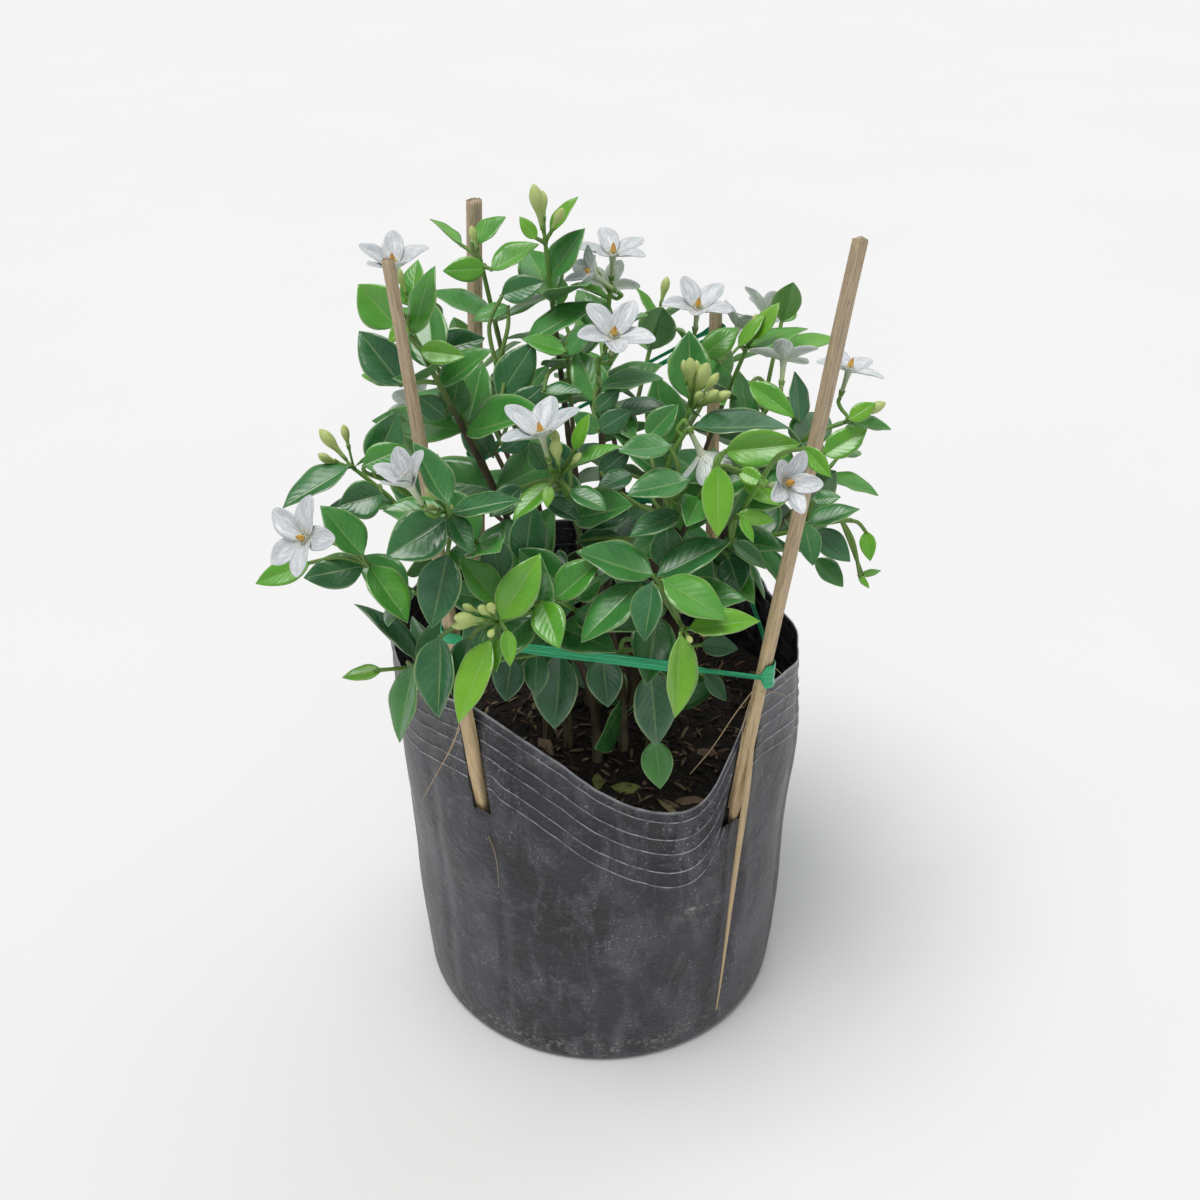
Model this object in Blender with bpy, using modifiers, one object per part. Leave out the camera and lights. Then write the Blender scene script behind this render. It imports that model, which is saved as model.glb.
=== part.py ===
"""Water jasmine bush in a black grow bag, with four bamboo stakes and green tape.

Metres, +Z up. The origin is the middle of the bag's base on the floor and -Y is the front.
"""
import math

import bpy
import bmesh
import numpy as np
from mathutils import Vector
from mathutils.bvhtree import BVHTree

for old in list(bpy.data.objects):
    bpy.data.objects.remove(old, do_unlink=True)

# Driving sizes
BAG_BASE_RADIUS = 0.0921
BAG_RIM_RADIUS = 0.100
BAG_MEAN_HEIGHT = 0.205
FILM = 0.0010
GAP = 0.0004
SOIL_LEVEL = 0.150
STAKE_WIDTH = 0.0055
STAKE_DEPTH = 0.0041
TAPE_HEIGHT = 0.0052
TAPE_THICKNESS = 0.0006
WIDE_WRAP = 2.1
LEAF_THICKNESS = 0.0007
LEAF_LENGTH = 0.034
LEAF_ASPECT = 0.60
YOUNG_ASPECT = 0.44
PETAL_LENGTH = 0.0170
PETAL_WIDTH = 0.0096
PETAL_THICKNESS = 0.0006
PETAL_SWAY = 7.0
BUD_GIRTH = 0.155
TUBE_LENGTH = 0.014
LEAF_CLEARANCE = 0.0005
BUSH_HEART = Vector((0.0, 0.005, 0.245))
BUSH_SHADE = 0.074
SEED = 41

# The photograph's camera, fitted to the bag's base and rim
EYE = Vector((0.0, -0.564, 0.568))
PITCH = math.radians(32.0)
FOCAL = 1398.0
PICTURE_CENTRE = 600.0

UP = Vector((0.0, 0.0, 1.0))
AHEAD = Vector((0.0, math.cos(PITCH), -math.sin(PITCH)))
DOWN = Vector((0.0, -math.sin(PITCH), -math.cos(PITCH)))


def sight_line(px, py):
    """Return the way to what the photograph shows at a pixel, one unit deep."""
    across = Vector(((px - PICTURE_CENTRE) / FOCAL, 0.0, 0.0))
    return across + AHEAD + DOWN * ((py - PICTURE_CENTRE) / FOCAL)


def seen_at(px, py, y):
    """Return the point of the upright plane y that the photograph shows at a pixel."""
    ray = sight_line(px, py)
    return EYE + ray * ((y - EYE.y) / ray.y)


def seen_beside(point, px, py, lean):
    """Return the point shown at a pixel, as deep as another point or nearer by a lean."""
    ray = sight_line(px, py)
    depth = (point - EYE).dot(AHEAD)
    reach = (EYE + ray * depth - point).length
    return EYE + ray * (depth - lean * reach)


# Rim of the bag: degrees from the front towards +X, height, how far it is pulled inward
RIM = (
    (-180, 0.205, 0.000), (-150, 0.207, 0.001), (-120, 0.203, 0.000), (-95, 0.204, 0.000),
    (-75, 0.204, 0.000), (-58, 0.207, 0.001), (-44, 0.212, 0.000), (-34, 0.213, 0.002),
    (-26, 0.207, 0.004), (-11, 0.190, 0.006), (3, 0.171, 0.008), (17, 0.158, 0.009),
    (27, 0.157, 0.007), (32, 0.168, 0.004), (37, 0.193, 0.001), (42, 0.213, 0.000),
    (50, 0.214, 0.000), (62, 0.209, 0.002), (75, 0.200, 0.004), (92, 0.195, 0.003),
    (108, 0.190, 0.003), (130, 0.200, 0.001), (155, 0.206, 0.000),
)

# Where the shoots end, either at a pixel of the photograph and a depth or hidden at the back
TIPS = {
    "far_left": seen_at(366, 563, -0.064),
    "left_buds": seen_at(352, 467, -0.030),
    "left_low": seen_at(380, 670, -0.052),
    "left_stake_top": seen_at(405, 318, -0.076),
    "left_upper": seen_at(440, 372, -0.050),
    "left_middle": seen_at(382, 478, -0.075),
    "left_inner": seen_at(448, 512, -0.116),
    "front_left_buds": seen_at(497, 622, -0.126),
    "front_left": seen_at(500, 588, -0.108),
    "top_left": seen_at(481, 262, 0.010),
    "top_left_inner": seen_at(496, 365, -0.015),
    "top_bud": seen_at(545, 240, 0.000),
    "top_inner": seen_at(567, 348, -0.030),
    "top_pair": seen_at(610, 292, 0.005),
    "upper_middle": seen_at(598, 362, -0.055),
    "middle_bloom": seen_at(560, 475, -0.085),
    "front_middle": seen_at(556, 599, -0.104),
    "front_upper": seen_at(672, 498, -0.092),
    "hanging": seen_at(683, 628, -0.120),
    "front_low": seen_at(620, 655, -0.072),
    "top_right": seen_at(702, 352, 0.010),
    "right_buds": seen_at(692, 408, -0.055),
    "right_inner": seen_at(684, 434, -0.078),
    "right_bright": seen_at(722, 455, -0.098),
    "right_middle": seen_at(733, 540, -0.085),
    "right_top": seen_at(776, 395, -0.010),
    "right_young": seen_at(748, 345, 0.010),
    "far_right": seen_at(848, 421, -0.010),
    "curled": seen_at(845, 520, -0.020),
    "by_right_stake": seen_at(762, 480, -0.108),
    "right_lower": seen_at(806, 530, -0.045),
    "back_left_low": Vector((-0.104, 0.082, 0.256)),
    "back_left": Vector((-0.070, 0.112, 0.300)),
    "back_left_high": Vector((-0.088, 0.052, 0.345)),
    "back_middle": Vector((0.000, 0.128, 0.300)),
    "back_middle_high": Vector((-0.020, 0.078, 0.335)),
    "back_middle_low": Vector((-0.038, 0.125, 0.236)),
    "back_right": Vector((0.066, 0.112, 0.292)),
    "back_right_high": Vector((0.028, 0.082, 0.326)),
    "back_right_low": Vector((0.086, 0.098, 0.240)),
    "back_far_right": Vector((0.118, 0.052, 0.268)),
    "back_far_right_high": Vector((0.084, 0.050, 0.338)),
}
# Joints that shoots pass just before they end
JOINTS = {
    "left_stake_top": seen_at(430, 372, -0.070),
    "front_left_buds": seen_at(545, 602, -0.110),
    "hanging": seen_at(656, 577, -0.104),
    "right_inner": seen_at(658, 462, -0.080),
    "right_bright": seen_at(706, 486, -0.100),
    "far_right": seen_at(815, 424, -0.015),
}

# Leafy stems: the first shoot is the stem's own end, the others branch off it
STEMS = (
    ("leafy_stem_far_left", ("far_left", "left_buds", "left_low")),
    ("leafy_stem_left_stake", ("left_stake_top", "left_upper", "left_middle")),
    ("leafy_stem_left_front", ("left_inner", "front_left_buds", "front_left")),
    ("leafy_stem_top_left", ("top_left", "top_left_inner")),
    ("leafy_stem_top", ("top_bud", "top_inner")),
    ("leafy_stem_top_middle", ("top_pair", "upper_middle")),
    ("leafy_stem_middle", ("middle_bloom", "front_middle")),
    ("leafy_stem_front", ("front_upper", "hanging", "front_low")),
    ("leafy_stem_top_right", ("top_right", "right_buds")),
    ("leafy_stem_right_inner", ("right_inner", "right_bright", "right_middle")),
    ("leafy_stem_right_top", ("right_top", "right_young")),
    ("leafy_stem_far_right", ("far_right", "curled")),
    ("leafy_stem_right_stake", ("by_right_stake", "right_lower")),
    ("leafy_stem_back_left", ("back_left", "back_left_low", "back_left_high")),
    ("leafy_stem_back", ("back_middle", "back_middle_high", "back_middle_low")),
    ("leafy_stem_back_right", ("back_right", "back_right_high", "back_right_low")),
    ("leafy_stem_back_far_right", ("back_far_right", "back_far_right_high")),
)

# Blooms: name, shoot that carries it, middle of the flower, the way it faces, how far it opens, size, petal turn
BLOOMS = (
    ("bloom_left_stake", "left_stake_top", seen_at(393, 264, -0.086), (0.00, -0.20, 0.97), 0.42, 0.80, 10),
    ("bloom_top", "top_pair", seen_at(613, 252, 0.020), (0.05, -0.10, 1.00), 0.70, 0.95, 20),
    ("bloom_top_side", "top_pair", seen_at(592, 274, 0.002), (-0.75, -0.20, 0.62), 0.30, 0.74, 0),
    ("bloom_upper_middle", "upper_middle", seen_at(614, 334, -0.060), (0.08, -0.42, 0.90), 0.64, 0.92, 44),
    ("bloom_top_right", "top_right", seen_at(698, 306, 0.000), (0.05, -0.28, 0.96), 0.62, 0.90, 30),
    ("bloom_right_back", "top_right", seen_at(740, 324, 0.035), (0.40, 0.30, 0.85), 0.50, 0.85, 0),
    ("bloom_right_turned", "right_top", seen_at(784, 356, -0.005), (0.10, 0.62, 0.78), 0.78, 0.88, 36),
    ("bloom_far_right", "far_right", seen_at(850, 367, 0.000), (0.22, 0.05, 0.97), 0.80, 0.88, 12),
    ("bloom_middle", "middle_bloom", seen_at(541, 432, -0.090), (-0.20, -0.10, 0.97), 0.50, 1.02, 4),
    ("bloom_left_cup", "left_inner", seen_at(408, 482, -0.134), (-0.34, -0.26, 0.90), 0.05, 0.80, 30),
    ("bloom_far_left", "far_left", seen_at(303, 538, -0.076), (-0.52, -0.68, 0.50), 0.72, 1.05, -16),
    ("bloom_right_stake", "by_right_stake", seen_at(788, 483, -0.128), (0.42, -0.76, 0.46), 0.42, 0.74, -14),
    ("bloom_right_inner", "right_inner", seen_at(703, 457, -0.078), (0.45, -0.10, -0.88), 0.40, 0.78, 20),
    ("bloom_back_left", "back_left_low", Vector((-0.100, 0.124, 0.262)), (-0.50, 0.70, 0.50), 0.80, 1.00, 0),
    ("bloom_back", "back_middle", Vector((0.004, 0.158, 0.316)), (0.05, 0.80, 0.55), 0.80, 1.00, 36),
    ("bloom_back_right", "back_right", Vector((0.086, 0.134, 0.310)), (0.50, 0.60, 0.60), 0.62, 0.95, 12),
)

# Leaves that stand out in the photograph, by the shoot that carries them: root and tip pixels,
# depth of the root, how far the tip leans to the viewer, width for the length seen, youth
LEAVES = {
    "far_left": (
        (368, 563, 410, 618, -0.066, 0.15, 0.52, 0.50), (364, 557, 322, 501, -0.064, 0.20, 0.55, 0.35),
        (366, 566, 303, 577, -0.060, 0.10, 0.58, 0.20), (312, 562, 254, 583, -0.056, 0.00, 0.42, 0.70),
    ),
    "left_buds": (
        (350, 466, 280, 503, -0.034, 0.20, 0.38, 0.25), (384, 494, 338, 506, -0.045, 0.10, 0.85, 0.20),
    ),
    "left_low": (
        (380, 671, 338, 678, -0.052, 0.00, 0.38, 0.85), (414, 664, 392, 742, -0.062, -0.10, 0.38, 0.28),
        (416, 660, 360, 598, -0.050, -0.10, 0.34, 0.15),
    ),
    "left_stake_top": (
        (398, 328, 358, 284, -0.074, 0.20, 0.80, 0.60), (402, 386, 358, 330, -0.072, 0.10, 0.62, 0.15),
        (414, 336, 428, 265, -0.080, 0.30, 0.38, 0.50), (408, 324, 389, 341, -0.088, 0.30, 0.70, 0.82),
        (402, 386, 362, 371, -0.062, -0.10, 0.36, 0.60), (418, 350, 465, 356, -0.084, 0.20, 0.50, 0.82),
    ),
    "left_upper": (
        (432, 352, 484, 338, -0.048, 0.10, 0.66, 0.12), (438, 388, 487, 345, -0.060, 0.20, 0.34, 0.38),
        (450, 418, 460, 374, -0.062, 0.50, 0.85, 0.30), (446, 418, 418, 396, -0.066, 0.30, 0.80, 0.20),
    ),
    "left_middle": (
        (372, 470, 398, 412, -0.080, 0.20, 0.62, 0.30), (362, 466, 406, 447, -0.086, 0.10, 0.62, 0.40),
    ),
    "left_inner": (
        (447, 519, 387, 556, -0.122, 0.30, 0.78, 0.22), (449, 506, 414, 438, -0.124, 0.10, 0.46, 0.28),
        (451, 505, 521, 484, -0.112, 0.00, 0.30, 0.15), (446, 514, 376, 502, -0.112, 0.10, 0.42, 0.34),
        (454, 513, 476, 551, -0.116, 0.20, 0.58, 0.18), (448, 552, 430, 628, -0.120, 0.05, 0.58, 0.14),
    ),
    "front_left": (
        (500, 604, 462, 557, -0.118, 0.20, 0.56, 0.55), (500, 580, 492, 532, -0.104, 0.20, 0.74, 0.18),
        (486, 600, 443, 590, -0.112, 0.10, 0.70, 0.22), (524, 566, 533, 503, -0.096, 0.20, 0.62, 0.12),
    ),
    "front_left_buds": (
        (496, 622, 536, 556, -0.126, 0.25, 0.52, 0.80), (541, 600, 558, 646, -0.116, 0.50, 0.72, 0.66),
        (492, 638, 453, 722, -0.130, 0.00, 0.36, 0.92), (440, 634, 433, 718, -0.120, 0.05, 0.46, 0.10),
        (470, 636, 450, 700, -0.122, 0.00, 0.40, 0.20), (506, 628, 511, 666, -0.130, 0.20, 0.42, 0.85),
        (499, 634, 494, 672, -0.126, 0.20, 0.34, 0.90),
    ),
    "top_left": (
        (487, 268, 444, 271, 0.006, 0.30, 0.60, 0.70), (470, 244, 504, 215, 0.014, 0.20, 0.44, 0.58),
        (490, 271, 537, 241, 0.002, 0.10, 0.40, 0.55), (462, 246, 432, 216, 0.020, 0.00, 0.22, 0.62),
    ),
    "top_left_inner": (
        (498, 398, 534, 342, -0.026, 0.20, 0.62, 0.12), (510, 306, 472, 318, 0.000, 0.10, 0.40, 0.38),
        (502, 404, 459, 398, -0.034, 0.40, 0.50, 0.20), (500, 296, 543, 281, -0.004, 0.30, 0.62, 0.22),
        (494, 458, 458, 418, -0.050, 0.10, 0.62, 0.12), (502, 452, 533, 428, -0.050, 0.10, 0.60, 0.08),
    ),
    "top_bud": (
        (546, 282, 578, 228, -0.004, 0.30, 0.50, 0.32), (550, 234, 575, 193, -0.002, 0.20, 0.30, 0.85),
        (537, 240, 519, 216, 0.000, 0.20, 0.52, 0.85),
    ),
    "top_inner": (
        (567, 352, 522, 337, -0.034, 0.20, 0.46, 0.52), (526, 342, 600, 291, -0.024, 0.10, 0.30, 0.30),
        (566, 356, 590, 322, -0.034, 0.20, 0.50, 0.35), (510, 414, 543, 386, -0.040, 0.20, 0.62, 0.15),
        (541, 392, 583, 390, -0.044, 0.20, 0.32, 0.25),
    ),
    "upper_middle": (
        (600, 433, 573, 412, -0.066, 0.20, 0.62, 0.32), (597, 431, 632, 410, -0.062, 0.20, 0.62, 0.10),
        (595, 411, 620, 389, -0.058, 0.20, 0.62, 0.22), (600, 386, 661, 371, -0.058, 0.20, 0.30, 0.30),
        (617, 412, 668, 402, -0.054, 0.00, 0.38, 0.02),
    ),
    "middle_bloom": (
        (552, 482, 511, 518, -0.092, 0.20, 0.36, 0.72), (549, 484, 547, 507, -0.096, 0.30, 0.52, 0.90),
        (568, 490, 608, 507, -0.094, 0.20, 0.42, 0.30), (574, 452, 588, 413, -0.082, 0.20, 0.36, 0.85),
        (574, 466, 620, 442, -0.086, 0.10, 0.26, 0.62), (548, 470, 530, 442, -0.074, 0.20, 0.80, 0.30),
        (522, 486, 489, 516, -0.078, 0.10, 0.58, 0.12), (545, 501, 585, 520, -0.076, 0.10, 0.48, 0.08),
        (572, 472, 546, 438, -0.068, 0.10, 0.62, 0.08),
    ),
    "front_middle": (
        (560, 584, 519, 549, -0.102, 0.20, 0.74, 0.32), (554, 600, 600, 556, -0.110, 0.20, 0.56, 0.52),
        (574, 598, 601, 578, -0.100, 0.30, 0.80, 0.32),
    ),
    "front_upper": (
        (690, 480, 628, 489, -0.098, 0.30, 0.46, 0.28), (682, 512, 629, 534, -0.096, 0.20, 0.44, 0.20),
        (672, 446, 619, 449, -0.090, 0.20, 0.46, 0.30), (668, 572, 667, 522, -0.092, 0.20, 0.74, 0.18),
        (646, 438, 678, 404, -0.072, 0.20, 0.60, 0.30), (598, 474, 630, 450, -0.064, 0.20, 0.62, 0.08),
        (644, 474, 682, 443, -0.068, 0.20, 0.60, 0.28), (632, 503, 586, 526, -0.070, 0.10, 0.55, 0.06),
        (634, 474, 596, 487, -0.066, 0.20, 0.52, 0.10), (576, 542, 622, 532, -0.074, 0.20, 0.45, 0.14),
    ),
    "hanging": (
        (655, 576, 578, 548, -0.108, 0.15, 0.48, 0.28), (656, 577, 728, 537, -0.106, 0.10, 0.44, 0.22),
        (661, 579, 729, 617, -0.114, 0.15, 0.52, 0.62), (687, 629, 761, 616, -0.120, 0.00, 0.38, 0.88),
        (680, 632, 681, 719, -0.126, -0.15, 0.34, 0.95), (640, 583, 579, 640, -0.110, 0.10, 0.50, 0.34),
        (653, 581, 640, 652, -0.102, 0.00, 0.50, 0.14),
    ),
    "front_low": (
        (650, 668, 660, 747, -0.082, -0.10, 0.52, 0.10), (655, 738, 660, 790, -0.074, 0.00, 0.62, 0.36),
        (560, 650, 553, 730, -0.076, -0.10, 0.58, 0.06), (602, 654, 608, 708, -0.080, 0.00, 0.68, 0.06),
        (537, 652, 535, 697, -0.080, 0.00, 0.58, 0.12), (512, 656, 505, 702, -0.078, 0.10, 0.72, 0.06),
        (703, 674, 728, 700, -0.066, 0.00, 0.50, 0.10), (700, 644, 738, 648, -0.070, 0.20, 0.60, 0.10),
    ),
    "right_buds": (
        (690, 402, 689, 328, -0.052, 0.10, 0.62, 0.36),
    ),
    "right_inner": (
        (692, 428, 790, 417, -0.070, 0.00, 0.26, 0.08),
    ),
    "right_bright": (
        (722, 452, 801, 444, -0.084, 0.10, 0.50, 0.80), (719, 459, 719, 533, -0.094, 0.00, 0.44, 0.84),
        (742, 474, 779, 505, -0.090, 0.20, 0.48, 0.88), (738, 470, 766, 484, -0.096, 0.40, 0.60, 0.80),
    ),
    "right_middle": (
        (735, 537, 771, 563, -0.086, 0.10, 0.42, 0.20), (728, 556, 740, 590, -0.078, 0.30, 1.00, 0.05),
        (736, 514, 775, 520, -0.096, 0.10, 0.40, 0.84), (740, 516, 755, 542, -0.098, 0.20, 0.34, 0.78),
    ),
    "right_young": (
        (752, 341, 779, 301, 0.004, 0.20, 0.40, 0.90), (742, 350, 805, 320, 0.006, 0.00, 0.24, 0.55),
        (738, 348, 762, 312, 0.002, 0.20, 0.30, 0.86),
    ),
    "right_top": (
        (748, 382, 795, 416, -0.030, 0.20, 0.42, 0.72), (800, 424, 797, 371, -0.014, 0.10, 0.42, 0.12),
    ),
    "far_right": (
        (822, 456, 868, 428, -0.020, 0.10, 0.54, 0.74), (848, 420, 877, 402, -0.012, 0.10, 0.58, 0.84),
        (850, 423, 893, 427, -0.010, 0.00, 0.28, 0.50),
    ),
    "by_right_stake": (
        (803, 446, 832, 478, -0.120, 0.20, 0.46, 0.86),
    ),
    "right_lower": (
        (808, 525, 858, 504, -0.048, 0.10, 0.40, 0.28), (804, 522, 814, 565, -0.052, 0.20, 0.56, 0.26),
        (814, 530, 851, 561, -0.044, 0.10, 0.58, 0.12), (814, 558, 844, 586, -0.042, 0.10, 0.48, 0.36),
        (812, 500, 840, 496, -0.050, 0.40, 0.60, 0.30),
    ),
    "curled": (
        (866, 530, 870, 561, -0.020, 0.10, 0.52, 0.86), (860, 576, 881, 569, -0.022, 0.00, 0.34, 0.84),
        (858, 575, 870, 588, -0.022, 0.00, 0.36, 0.84),
    ),
}

# Bud clusters: shoot that carries them, how many, their mean length
BUDS = (
    ("top_bud", 3, 0.0145), ("top_pair", 4, 0.0130), ("left_buds", 4, 0.0130),
    ("front_left_buds", 6, 0.0120), ("middle_bloom", 3, 0.0120), ("right_buds", 8, 0.0145),
    ("left_inner", 5, 0.0075), ("far_right", 2, 0.0120), ("far_left", 1, 0.0080),
    ("top_left", 1, 0.0085), ("right_young", 1, 0.0085), ("hanging", 2, 0.0060),
    ("upper_middle", 2, 0.0105), ("back_left_high", 1, 0.0110), ("back_middle_high", 1, 0.0110),
    ("back_right_high", 1, 0.0110), ("back_far_right", 1, 0.0100),
)
# Shoots that end by pointing down or sideways instead of upward
TIP_LEANS = {
    "hanging": (0.20, -0.55, -0.80),
    "curled": (0.85, -0.10, 0.25),
    "left_low": (-0.90, -0.20, 0.10),
    "front_low": (0.10, -0.85, -0.30),
    "right_buds": (0.45, -0.15, 0.88),
    "left_buds": (-0.75, -0.10, 0.55),
    "right_lower": (0.80, -0.40, 0.20),
}

parts = bpy.data.collections.new("potted_water_jasmine")
bpy.context.scene.collection.children.link(parts)
cutters = bpy.data.collections.new("cutters")
bpy.context.scene.collection.children.link(cutters)


def material(name, colour, roughness):
    """Make a plain material for one kind of piece."""
    made = bpy.data.materials.new(name)
    made.use_nodes = True
    shader = made.node_tree.nodes["Principled BSDF"]
    shader.inputs["Base Color"].default_value = (*colour, 1.0)
    shader.inputs["Roughness"].default_value = roughness
    return made


BAG_FILM = material("bag_film", (0.035, 0.034, 0.039), 0.45)
POTTING_SOIL = material("potting_soil", (0.020, 0.014, 0.010), 0.95)
BAMBOO = material("bamboo", (0.42, 0.32, 0.20), 0.65)
GREEN_TAPE = material("green_tape", (0.02, 0.30, 0.14), 0.40)
LEAF_GREEN = material("leaf_green", (0.060, 0.150, 0.045), 0.45)
PETAL_WHITE = material("petal_white", (0.80, 0.81, 0.78), 0.55)
STAMEN_ORANGE = material("stamen_orange", (0.75, 0.36, 0.06), 0.60)


def add_object(name, verts, faces, look=None, collection=None):
    """Link a mesh object made from points and faces."""
    mesh = bpy.data.meshes.new(name)
    mesh.from_pydata([tuple(v) for v in verts], [], faces)
    mesh.update()
    if look is not None:
        mesh.materials.append(look)
    made = bpy.data.objects.new(name, mesh)
    (collection or parts).objects.link(made)
    return made


def apply_modifier(obj, modifier):
    """Apply one modifier of an object."""
    with bpy.context.temp_override(object=obj, active_object=obj, selected_objects=[obj]):
        bpy.ops.object.modifier_apply(modifier=modifier.name)


def join_all(obj, others, solver="EXACT"):
    """Fuse a list of objects into one with a single union, then drop them."""
    if not others:
        return
    group = bpy.data.collections.new("joined")
    cutters.children.link(group)
    for other in others:
        for owner in list(other.users_collection):
            owner.objects.unlink(other)
        group.objects.link(other)
    union = obj.modifiers.new("union", "BOOLEAN")
    union.operation = "UNION"
    union.operand_type = "COLLECTION"
    union.collection = group
    union.solver = solver
    apply_modifier(obj, union)
    for other in others:
        bpy.data.objects.remove(other, do_unlink=True)
    bpy.data.collections.remove(group)


def cut(obj, tool):
    """Take one cutter out of an object and keep the cutter hidden."""
    tool.hide_render = True
    tool.display_type = "WIRE"
    difference = obj.modifiers.new("cut", "BOOLEAN")
    difference.operation = "DIFFERENCE"
    difference.solver = "EXACT"
    difference.object = tool
    apply_modifier(obj, difference)


# Shapes given as points and faces
def loft(rings):
    """Join rings of equal length into a closed, capped solid."""
    count = len(rings[0])
    verts = [point for ring in rings for point in ring]
    faces = []
    for i in range(len(rings) - 1):
        a = i * count
        b = a + count
        for j in range(count):
            k = (j + 1) % count
            faces.append((a + j, a + k, b + k, b + j))
    faces.append(tuple(reversed(range(count))))
    faces.append(tuple(range(len(verts) - count, len(verts))))
    return verts, faces


def side_axes(axis):
    """Return two unit vectors square to an axis."""
    helper = UP if abs(axis.z) < 0.9 else Vector((0.0, 1.0, 0.0))
    first = axis.cross(helper).normalized()
    second = axis.cross(first).normalized()
    return first, second


def tube_rings(path, radii, sides):
    """Return the rings of a round tube along a path."""
    rings = []
    first, second = side_axes((path[1] - path[0]).normalized())
    for i, point in enumerate(path):
        before = path[max(i - 1, 0)]
        after = path[min(i + 1, len(path) - 1)]
        along = (after - before).normalized()
        first = (first - along * first.dot(along)).normalized()
        second = along.cross(first)
        ring = []
        for j in range(sides):
            turn = 2.0 * math.pi * j / sides
            ring.append(point + (first * math.cos(turn) + second * math.sin(turn)) * radii[i])
        rings.append(ring)
    return rings


def tube(path, radii, sides):
    """Return a capped tube along a path."""
    return loft(tube_rings(path, radii, sides))


def rod(name, path, radii, rounding, look=None):
    """Make a tapering round rod along a path as a bevelled curve, then as a welded mesh."""
    curve = bpy.data.curves.new(name, "CURVE")
    curve.dimensions = "3D"
    curve.bevel_depth = 1.0
    curve.bevel_resolution = rounding
    curve.use_fill_caps = True
    spline = curve.splines.new("POLY")
    spline.points.add(len(path) - 1)
    for i, (spot, radius) in enumerate(zip(path, radii)):
        spline.points[i].co = (*spot, 1.0)
        spline.points[i].radius = radius
    drawn = bpy.data.objects.new(name, curve)
    parts.objects.link(drawn)
    bpy.context.view_layer.update()
    evaluated = drawn.evaluated_get(bpy.context.evaluated_depsgraph_get())
    mesh = bpy.data.meshes.new_from_object(evaluated)
    bpy.data.objects.remove(drawn, do_unlink=True)
    bpy.data.curves.remove(curve)
    weld = bmesh.new()
    weld.from_mesh(mesh)
    bmesh.ops.remove_doubles(weld, verts=weld.verts, dist=0.00001)
    bmesh.ops.recalc_face_normals(weld, faces=weld.faces)
    weld.to_mesh(mesh)
    weld.free()
    mesh.materials.clear()
    if look is not None:
        mesh.materials.append(look)
    made = bpy.data.objects.new(name, mesh)
    parts.objects.link(made)
    return made


def cone(name, foot, axis, base, top, height, sides, look):
    """Make a blunt cone standing on a point."""
    work = bmesh.new()
    bmesh.ops.create_cone(
        work, cap_ends=True, segments=sides, radius1=base, radius2=top, depth=height
    )
    mesh = bpy.data.meshes.new(name)
    work.to_mesh(mesh)
    work.free()
    mesh.materials.append(look)
    mesh.transform(axis.to_track_quat("Z", "Y").to_matrix().to_4x4())
    made = bpy.data.objects.new(name, mesh)
    made.location = foot + axis * (height / 2)
    parts.objects.link(made)
    return made


def prism(path, across, outward, outline, scales):
    """Return a bar of a given outline along a path, with fixed side directions."""
    rings = []
    for point, scale in zip(path, scales):
        rings.append([point + across * (a * scale) + outward * (b * scale) for a, b in outline])
    return loft(rings)


# Bag film and soil
def rim_values(degrees):
    """Return the rim's height and pull at an angle, smoothed between the listed ones."""
    count = len(RIM)
    for i in range(count):
        start = RIM[i]
        end = RIM[(i + 1) % count]
        span = (end[0] - start[0]) % 360
        into = (degrees - start[0]) % 360
        if into <= span:
            before = RIM[i - 1]
            beyond = RIM[(i + 2) % count]
            t = into / span
            values = []
            for k in (1, 2):
                low = (end[k] - before[k]) * span / (((end[0] - before[0]) % 360) or 360)
                high = (beyond[k] - start[k]) * span / (((beyond[0] - start[0]) % 360) or 360)
                a = 2 * t ** 3 - 3 * t ** 2 + 1
                b = t ** 3 - 2 * t ** 2 + t
                c = 3 * t ** 2 - 2 * t ** 3
                d = t ** 3 - t ** 2
                values.append(a * start[k] + b * low + c * end[k] + d * high)
            return values[0], values[1]
    return BAG_MEAN_HEIGHT, 0.0


def bag_radius(degrees, z):
    """Return the outside radius of the bag at an angle and height."""
    height, pull = rim_values(degrees)
    level = z / BAG_MEAN_HEIGHT
    radius = BAG_BASE_RADIUS + (BAG_RIM_RADIUS - BAG_BASE_RADIUS) * level ** 0.8
    near_rim = min(max((z - height + 0.055) / 0.055, 0.0), 1.0)
    radius -= pull * near_rim * near_rim * (3 - 2 * near_rim)
    turn = math.radians(degrees)
    radius += 0.0006 * math.sin(5 * turn + 9 * level) * math.sin(math.pi * min(level, 1.0))
    radius += 0.0005 * math.sin(11 * turn - 6 * level) * min(level * 2, 1.0)
    return radius


def ring_point(degrees, radius, z):
    """Return the point at an angle from the front, a radius and a height."""
    turn = math.radians(degrees)
    return Vector((radius * math.sin(turn), -radius * math.cos(turn), z))


BAG_ANGLES = tuple(range(-180, -60, 15)) + tuple(range(-60, 21, 9)) + (20, 26, 31, 35, 39, 44, 51)
BAG_ANGLES += tuple(range(60, 180, 15))
BAG_LEVELS = (0.20, 0.45, 0.70, 0.87, 1.0)
ROUNDED_EDGE = ((0.0050, 0.0), (0.0, 0.0045))


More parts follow.
